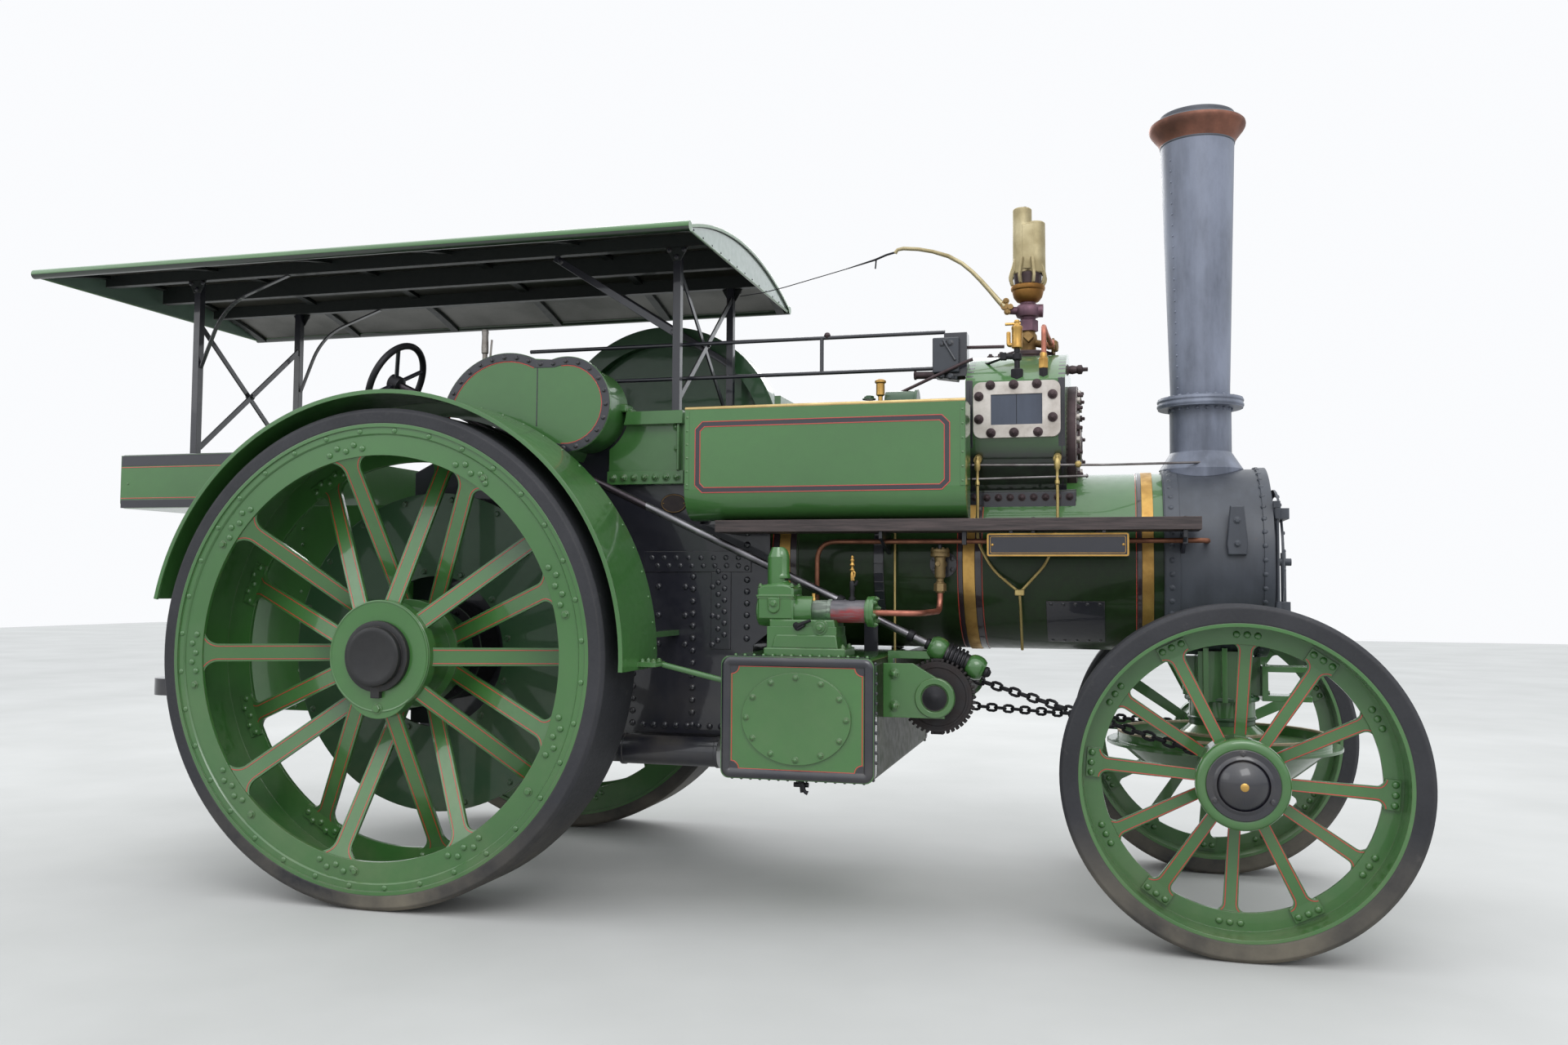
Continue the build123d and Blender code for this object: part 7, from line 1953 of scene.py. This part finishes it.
def tender_trim():
    """Coping, black bands, lining and rivets of the tender."""
    dark, red, rivets = shapes(3)
    low, high = TENDER_SIDE_Z, tender.z1
    x0, x1 = tender.x0, ex(-0.76)
    out = tender.y1
    bands = ((high - 0.028, 0.052), (low + 0.022, 0.04))     # height, width
    for side in (RIGHT, LEFT):
        place = side_face(side)
        for z, width in bands:
            dark.stripe([(x0 + 0.004, z), (x1, z)], width, out - 0.001, out + 0.0012, place, closed=False)
        for z in (high - 0.06, low + 0.05):
            red.stripe([(x0 + 0.004, z), (x1, z)], LINE, out - 0.001, out + 0.0014, place, closed=False)
        rivets.rivet(facing(x0 + 0.045, side * out, (low + high) / 2.0 - 0.01, (0.0, side, 0.0)),
                     0.006, 0.004)
        seams = [((x, 0.8), (x, 1.7)) for x in (x1 + 0.03, ex(-1.07), ex(-0.27))]
        for start, end in seams + [((ex(-1.04), 0.78), (ex(-0.3), 0.78))]:
            rivet_row(rivets, start, end, out, side, 0.008, 0.005, 0.075)
        dark.tube([(x, side * (out - 0.008), high - 0.004) for x in (x0 + 0.012, x1)], 0.008, 8)
    place = Matrix(((0, 0, -1, 0), (-1, 0, 0, 0), (0, 1, 0, 0), (0, 0, 0, 1)))
    rear_out = -tender.x0
    for z, width in bands:
        dark.stripe([(-out + 0.006, z), (out - 0.006, z)], width,
                    rear_out - 0.001, rear_out - 0.0002, place, closed=False)
    piece("tender_borders", dark, black)
    piece("tender_lines", red, red_line, "paint_green")
    piece("tender_rivets", rivets, green)


GUARD_RADIUS = 1.13
GUARD_FACE = 1.117


def guard_trim(side, name):
    """Rolled outer bead, rivets, and bolts of the front foot of one mudguard."""
    bead = Shape()
    radius = GUARD_RADIUS
    y = side * (GUARD_FACE - 0.005)
    path = []
    for index in range(49):
        angle = math.radians(-2.0 + 170.0 * index / 48.0)
        path.append((rear.x + (radius - 0.004) * math.cos(angle), y,
                     rear.z + (radius - 0.004) * math.sin(angle)))
    bead.tube(path, 0.0048, 8)
    for index in range(30):
        angle = math.radians(2.0 + 162.0 * index / 29.0)
        out = (math.cos(angle), 0.0, math.sin(angle))
        reach = radius + 0.006
        bead.rivet(facing(rear.x + reach * out[0], side * 0.765, rear.z + reach * out[2], out), 0.007, 0.004)
    for dx in (1.148, 1.196):
        for dy in (0.868, 0.932):
            bead.bolt(facing(ex(dx), side * dy, 1.05, UP, dx * 700.0), 0.0105, 0.009, stud=0.004)
    bead.block((ex(1.07), side * 0.9 - 0.05, 1.034), (ex(1.136), side * 0.9 + 0.05, 1.046), 0.003)
    gusset = [(1.076, 1.04), (1.128, 1.04), (1.128, 1.052), (1.082, 1.12), (1.076, 1.12)]
    bead.prism(from_axle(gusset), 0.894, 0.906, 0.002, side_face(side))
    piece(f"guard_bead_{name}", bead, green)


tender_trim()
guard_trim(RIGHT, "right")
guard_trim(LEFT, "left")


# Steering
COLUMN_BACK = Vector((ex(-0.262), -0.57, 2.314))
COLUMN_FRONT = Vector((ex(2.48), -0.57, 1.03))
COLUMN_RUN = (COLUMN_FRONT - COLUMN_BACK).normalized()


def column_point(x):
    """Point of the steering column at one place along X, from the rear axle."""
    return COLUMN_BACK + COLUMN_RUN * ((ex(x) - COLUMN_BACK.x) / COLUMN_RUN.x)


def column_place(x):
    """Place on the column whose height runs forward along it."""
    return facing(*column_point(x), COLUMN_RUN)


WORM_MIDDLE = Vector((ex(2.3929), -0.57, 1.0708))


def worm_place(along):
    """Place on the column's line at a distance from the worm's middle, looking forward."""
    return facing(*(WORM_MIDDLE + COLUMN_RUN * along), COLUMN_RUN)


def steering_trim():
    """Worm thread, ball cups, collars, wheel teeth, pin, and bracket bolts of the steering."""
    dark, fresh, coil, iron_bits = shapes(4)
    start = worm_place(-0.042)
    turns = 5
    thread = []
    for index in range(turns * 20 + 1):
        angle = TURN * index / 20.0
        local = Vector((0.0425 * math.cos(angle), 0.0425 * math.sin(angle), 0.084 * index / (turns * 20.0)))
        thread.append(start @ local)
    coil.tube(thread, 0.0068, 8)
    sleeve = Shape()
    sleeve.lathe([(0.018, -0.052), (0.0375, -0.05), (0.0375, 0.05), (0.018, 0.052)], worm_place(0.0), 32)
    piece("worm_sleeve", sleeve, matte_black, "cast_iron")
    for way in (-1.0, 1.0):
        place = worm_place(0.0) @ Matrix.Scale(way, 4, UP)
        fresh.lathe([(0.02, 0.045), (0.032, 0.046), (0.04, 0.052), (0.047, 0.062), (0.0505, 0.074),
                     (0.0515, 0.09), (0.049, 0.104), (0.043, 0.115), (0.033, 0.1225), (0.0185, 0.1245)],
                    place, 40)
        dark.lathe([(0.018, 0.124), (0.024, 0.126), (0.024, 0.138), (0.018, 0.141)], place, 24)
    dark.lathe([(0.0172, 0.14), (0.0172, 0.156), (0.01, 0.163), (0.0, 0.164)], worm_place(-0.012), 20)
    for along in (-0.225, -0.56):
        dark.lathe([(0.0175, 0.0), (0.025, 0.003), (0.025, 0.026), (0.0175, 0.03)], worm_place(along), 24)
    for index in range(44):
        angle = index * 360.0 / 44.0
        spot = polar(0.1455, angle)
        tooth = facing(roller_x + spot[0], -0.61, roller_z + spot[1],
                       (math.cos(math.radians(angle)), 0.0, math.sin(math.radians(angle))))
        iron_bits.block((-0.022, -0.0055, -0.004), (0.022, 0.0055, 0.0095), 0.0025, tooth)
    axis = along_right(roller_x, -0.633, roller_z)
    iron_bits.lathe([(0.128, -0.002), (0.128, 0.003), (0.12, 0.003), (0.116, -0.002)], axis, 64)
    boss = along_right(roller_x, -0.702, roller_z)
    fresh.lathe([(0.0815, -0.002), (0.0815, 0.004), (0.078, 0.008), (0.058, 0.008), (0.054, 0.004),
                 (0.054, -0.002)], boss, 64)
    dark.lathe([(0.05, 0.0), (0.05, 0.006), (0.044, 0.01), (0.02, 0.011), (0.016, 0.014), (0.0, 0.015)],
               boss, 40)
    for x, z in ((roller_x - 0.165, roller_z + 0.095), (roller_x - 0.165, roller_z - 0.035)):
        fresh.bolt(facing(x, -0.702, z, OUTWARD, 12.0), 0.017, 0.013, stud=0.008)
    for z in (1.02, 1.055):
        fresh.bolt(facing(ex(2.109), -0.57, z, (-1.0, 0.0, 0.0)), 0.012, 0.01)
    piece("worm_thread", coil, black_iron, "steel")
    piece("worm_cups", fresh, green)
    piece("column_collars", dark, black_iron, "steel")
    piece("worm_teeth", iron_bits, dark_iron, "cast_iron")


def chain_link(shape, place, length, width, thick):
    """One oval link of round bar."""
    half = length / 2.0 - width / 2.0
    side = width / 2.0 - thick / 2.0
    path = [Vector((half + side * math.cos(a), side * math.sin(a), 0.0)) for a in
            (math.radians(t) for t in (-90, -45, 0, 45, 90))]
    path += [Vector((-half + side * math.cos(a), side * math.sin(a), 0.0)) for a in
             (math.radians(t) for t in (90, 135, 180, 225, 270))]
    shape.tube([place @ point for point in path], thick / 2.0, 8, closed=True)


LINK_PITCH = 0.042
LINK_WIDTH = 0.042
LINK_BAR = 0.0135


def chain_along(shape, route, pitch):
    """Links along a route, each turned a quarter against the last."""
    route = [Vector(point) for point in route]
    spots, gone, aim = [], 0.0, 0.0
    for before, after in zip(route, route[1:]):
        run = after - before
        while aim <= gone + run.length:
            spots.append((before + run.normalized() * (aim - gone), run.normalized()))
            aim += pitch
        gone += run.length
    for index, (spot, way) in enumerate(spots):
        side = way.cross(Vector(UP)).normalized()
        up = side.cross(way)
        if index % 2:
            side, up = up, -side
        place = Matrix((way, side, up)).transposed().to_4x4()
        place.translation = spot
        chain_link(shape, place, pitch + 0.022, LINK_WIDTH, LINK_BAR)


def chains():
    """Open links in place of the plain chain runs from the roller to the steering ring."""
    shape = Shape()
    start_reach = 0.0755
    for start_y, side, above in ((-0.22, -1.0, 1.0), (-0.13, 1.0, -1.0)):
        middle = Vector((roller_x, start_y, roller_z))
        end = Vector((ex(3.31), side * 0.505, 0.725))
        way = (end - middle).normalized()
        up = Vector((-way.z, 0.0, way.x)).normalized()
        start = middle + up * above * start_reach
        chain_along(shape, [start, end], LINK_PITCH)
    item = piece("steering_links", shape, black_iron, "steel")
    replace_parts(item, "steering_chains")


def handwheel_trim():
    """Rounded rim of the handwheel and its knob."""
    shape = Shape()
    place = column_place(-0.262)
    shape.tube([place @ Vector((0.19 * math.cos(a), 0.19 * math.sin(a), 0.0)) for a in
                (TURN * k / 64 for k in range(64))], 0.0158, 14, closed=True)
    shape.lathe([(0.0, -0.034), (0.014, -0.032), (0.018, -0.025), (0.039, -0.022), (0.039, 0.022),
                 (0.03, 0.028), (0.017, 0.03)], place, 32)
    piece("handwheel_rim", shape, black_iron, "steel")


roller_x = ex(2.32)
roller_z = 0.915
steering_trim()
chains()
handwheel_trim()


# Front carriage
def carriage_trim():
    """Collar beads and bolts of the perch, with the pale worn edges of the steering ring."""
    fresh, worn = shapes(2)
    spot = at(front.x, 0.0, 0.0)
    fresh.lathe([(0.1515, 0.884), (0.1545, 0.887), (0.1545, 0.896), (0.151, 0.902), (0.12, 0.9025)], spot, 64)
    fresh.lathe([(0.1365, 0.78), (0.1365, 0.8), (0.142, 0.803), (0.142, 0.812), (0.1365, 0.815)], spot, 64)
    for index in range(8):
        angle = math.radians(index * 45.0 + 22.0)
        fresh.bolt(facing(front.x + 0.128 * math.cos(angle), 0.128 * math.sin(angle), 0.902, UP),
                   0.01, 0.01)
    piece("perch_trim", fresh, dark_green)
    worn.lathe([(0.4385, 0.738), (0.4385, 0.7465), (0.432, 0.749), (0.4255, 0.7465), (0.4255, 0.738)],
               spot, 96)
    worn.lathe([(0.1725, 0.735), (0.1735, 0.745), (0.17, 0.749), (0.164, 0.752)], spot, 64)
    piece("ring_edges", worn, beige_steel, "paint_green", "front_carriage")


def axle_trim():
    """Blocks and bolts on the front axle under the pan."""
    shape = Shape()
    z = front.z
    for side in (RIGHT, LEFT):
        shape.block((front.x - 0.06, side * 0.58 - 0.03, z - 0.065),
                    (front.x + 0.06, side * 0.58 + 0.03, z + 0.065), 0.008)
        for dx in (-0.03, 0.03):
            shape.bolt(facing(front.x + dx, side * 0.44, z + 0.036, UP), 0.014, 0.012)
    piece("axle_trim", shape, green, body="front_carriage")


def hitch_trim():
    """Bolts of the front hitch."""
    shape = Shape()
    x0 = ex(FRONT_X + 0.16)
    for z in (0.905, 1.015):
        for y in (-0.04, 0.04):
            shape.bolt(facing(x0 + 0.024, y, z + 0.015, AHEAD), 0.01, 0.008)
    piece("hitch_bolts", shape, green)


carriage_trim()
axle_trim()
hitch_trim()


# Camera, light and floor
LENS = 28.27
SENSOR = 36.0
CAMERA_YAW = 0.263897
CAMERA_PITCH = 0.051768
CAMERA_ROLL = 0.00588
CAMERA_PLACE = Vector((2.04526, -5.69274, 1.3633))

forward = Vector((-math.sin(CAMERA_YAW) * math.cos(CAMERA_PITCH),
                  math.cos(CAMERA_YAW) * math.cos(CAMERA_PITCH), math.sin(CAMERA_PITCH)))
level = Vector((math.cos(CAMERA_YAW), math.sin(CAMERA_YAW), 0.0))
upright = level.cross(forward)
camera_right = level * math.cos(CAMERA_ROLL) + upright * math.sin(CAMERA_ROLL)
camera_up = upright * math.cos(CAMERA_ROLL) - level * math.sin(CAMERA_ROLL)
lens = bpy.data.cameras.new("camera")
lens.lens = LENS
lens.sensor_width = SENSOR
lens.clip_end = 200.0
camera = bpy.data.objects.new("camera", lens)
bpy.context.scene.collection.objects.link(camera)
turn = Matrix((camera_right, camera_up, -forward)).transposed().to_4x4()
camera.matrix_world = Matrix.Translation(CAMERA_PLACE) @ turn
bpy.context.scene.camera = camera


def lamp(name, place, target, size, power, color=(1.0, 1.0, 1.0)):
    """A large soft lamp that faces one point."""
    data = bpy.data.lights.new(name, "AREA")
    data.shape = "RECTANGLE"
    data.size, data.size_y = size
    data.energy = power
    data.color = color
    item = bpy.data.objects.new(name, data)
    bpy.context.scene.collection.objects.link(item)
    item.location = place
    item.rotation_euler = (Vector(target) - Vector(place)).to_track_quat("-Z", "Y").to_euler()


AIM = (0.2, 0.0, 1.4)
lamp("key", (3.5, -7.0, 7.5), AIM, (5.0, 4.0), 260.0)
lamp("fill", (-7.0, -5.0, 5.0), AIM, (5.0, 4.0), 60.0)
lamp("back", (-2.0, 8.0, 6.5), AIM, (6.0, 3.0), 260.0)


SKY_LOW = 0.55
SKY_BAND = 1.1
SKY_HIGH = 1.95


def backdrop():
    """Pale world: overcast light, brightest overhead, and white where the camera sees it."""
    world = bpy.data.worlds.new("pale_sky")
    bpy.context.scene.world = world
    world.use_nodes = True
    tree = world.node_tree
    tree.nodes.clear()
    output = tree.nodes.new("ShaderNodeOutputWorld")
    lit = tree.nodes.new("ShaderNodeBackground")
    lit.inputs["Color"].default_value = (0.94, 0.97, 1.0, 1.0)
    way = tree.nodes.new("ShaderNodeTexCoord")
    height = tree.nodes.new("ShaderNodeSeparateXYZ")
    tree.links.new(way.outputs["Generated"], height.inputs[0])
    sky = tree.nodes.new("ShaderNodeValToRGB")
    sky.color_ramp.elements[0].position = 0.0
    sky.color_ramp.elements[0].color = (SKY_LOW, SKY_LOW, SKY_LOW, 1.0)
    sky.color_ramp.elements[1].position = 1.0
    sky.color_ramp.elements[1].color = (SKY_HIGH, SKY_HIGH, SKY_HIGH, 1.0)
    near = sky.color_ramp.elements.new(0.1)
    near.color = (SKY_BAND, SKY_BAND, SKY_BAND, 1.0)
    tree.links.new(height.outputs[2], sky.inputs[0])
    tree.links.new(sky.outputs[0], lit.inputs["Strength"])
    seen = tree.nodes.new("ShaderNodeBackground")
    seen.inputs["Color"].default_value = (0.96, 0.97, 0.99, 1.0)
    seen.inputs["Strength"].default_value = 1.0
    ray = tree.nodes.new("ShaderNodeLightPath")
    share = tree.nodes.new("ShaderNodeMixShader")
    tree.links.new(ray.outputs["Is Camera Ray"], share.inputs[0])
    tree.links.new(lit.outputs[0], share.inputs[1])
    tree.links.new(seen.outputs[0], share.inputs[2])
    tree.links.new(share.outputs[0], output.inputs[0])


def ground():
    """Plain pale floor."""
    reach = 30.0
    mesh = bpy.data.meshes.new("floor")
    mesh.from_pydata([(-reach, -reach, 0), (reach, -reach, 0), (reach, reach, 0), (-reach, reach, 0)],
                     [], [(0, 1, 2, 3)])
    floor = bpy.data.objects.new("floor", mesh)
    bpy.context.scene.collection.objects.link(floor)
    graph = Graph("floor")
    mottled = graph.ramp(graph.noise(0.8, 4.0), 0.3, 0.7)
    graph.give("Base Color", graph.mix(mottled, (0.4, 0.4, 0.39, 1.0), (0.45, 0.45, 0.44, 1.0)))
    graph.give("Roughness", 0.85)
    mesh.materials.append(graph.material)


backdrop()
ground()
bpy.context.scene.view_settings.view_transform = "Standard"
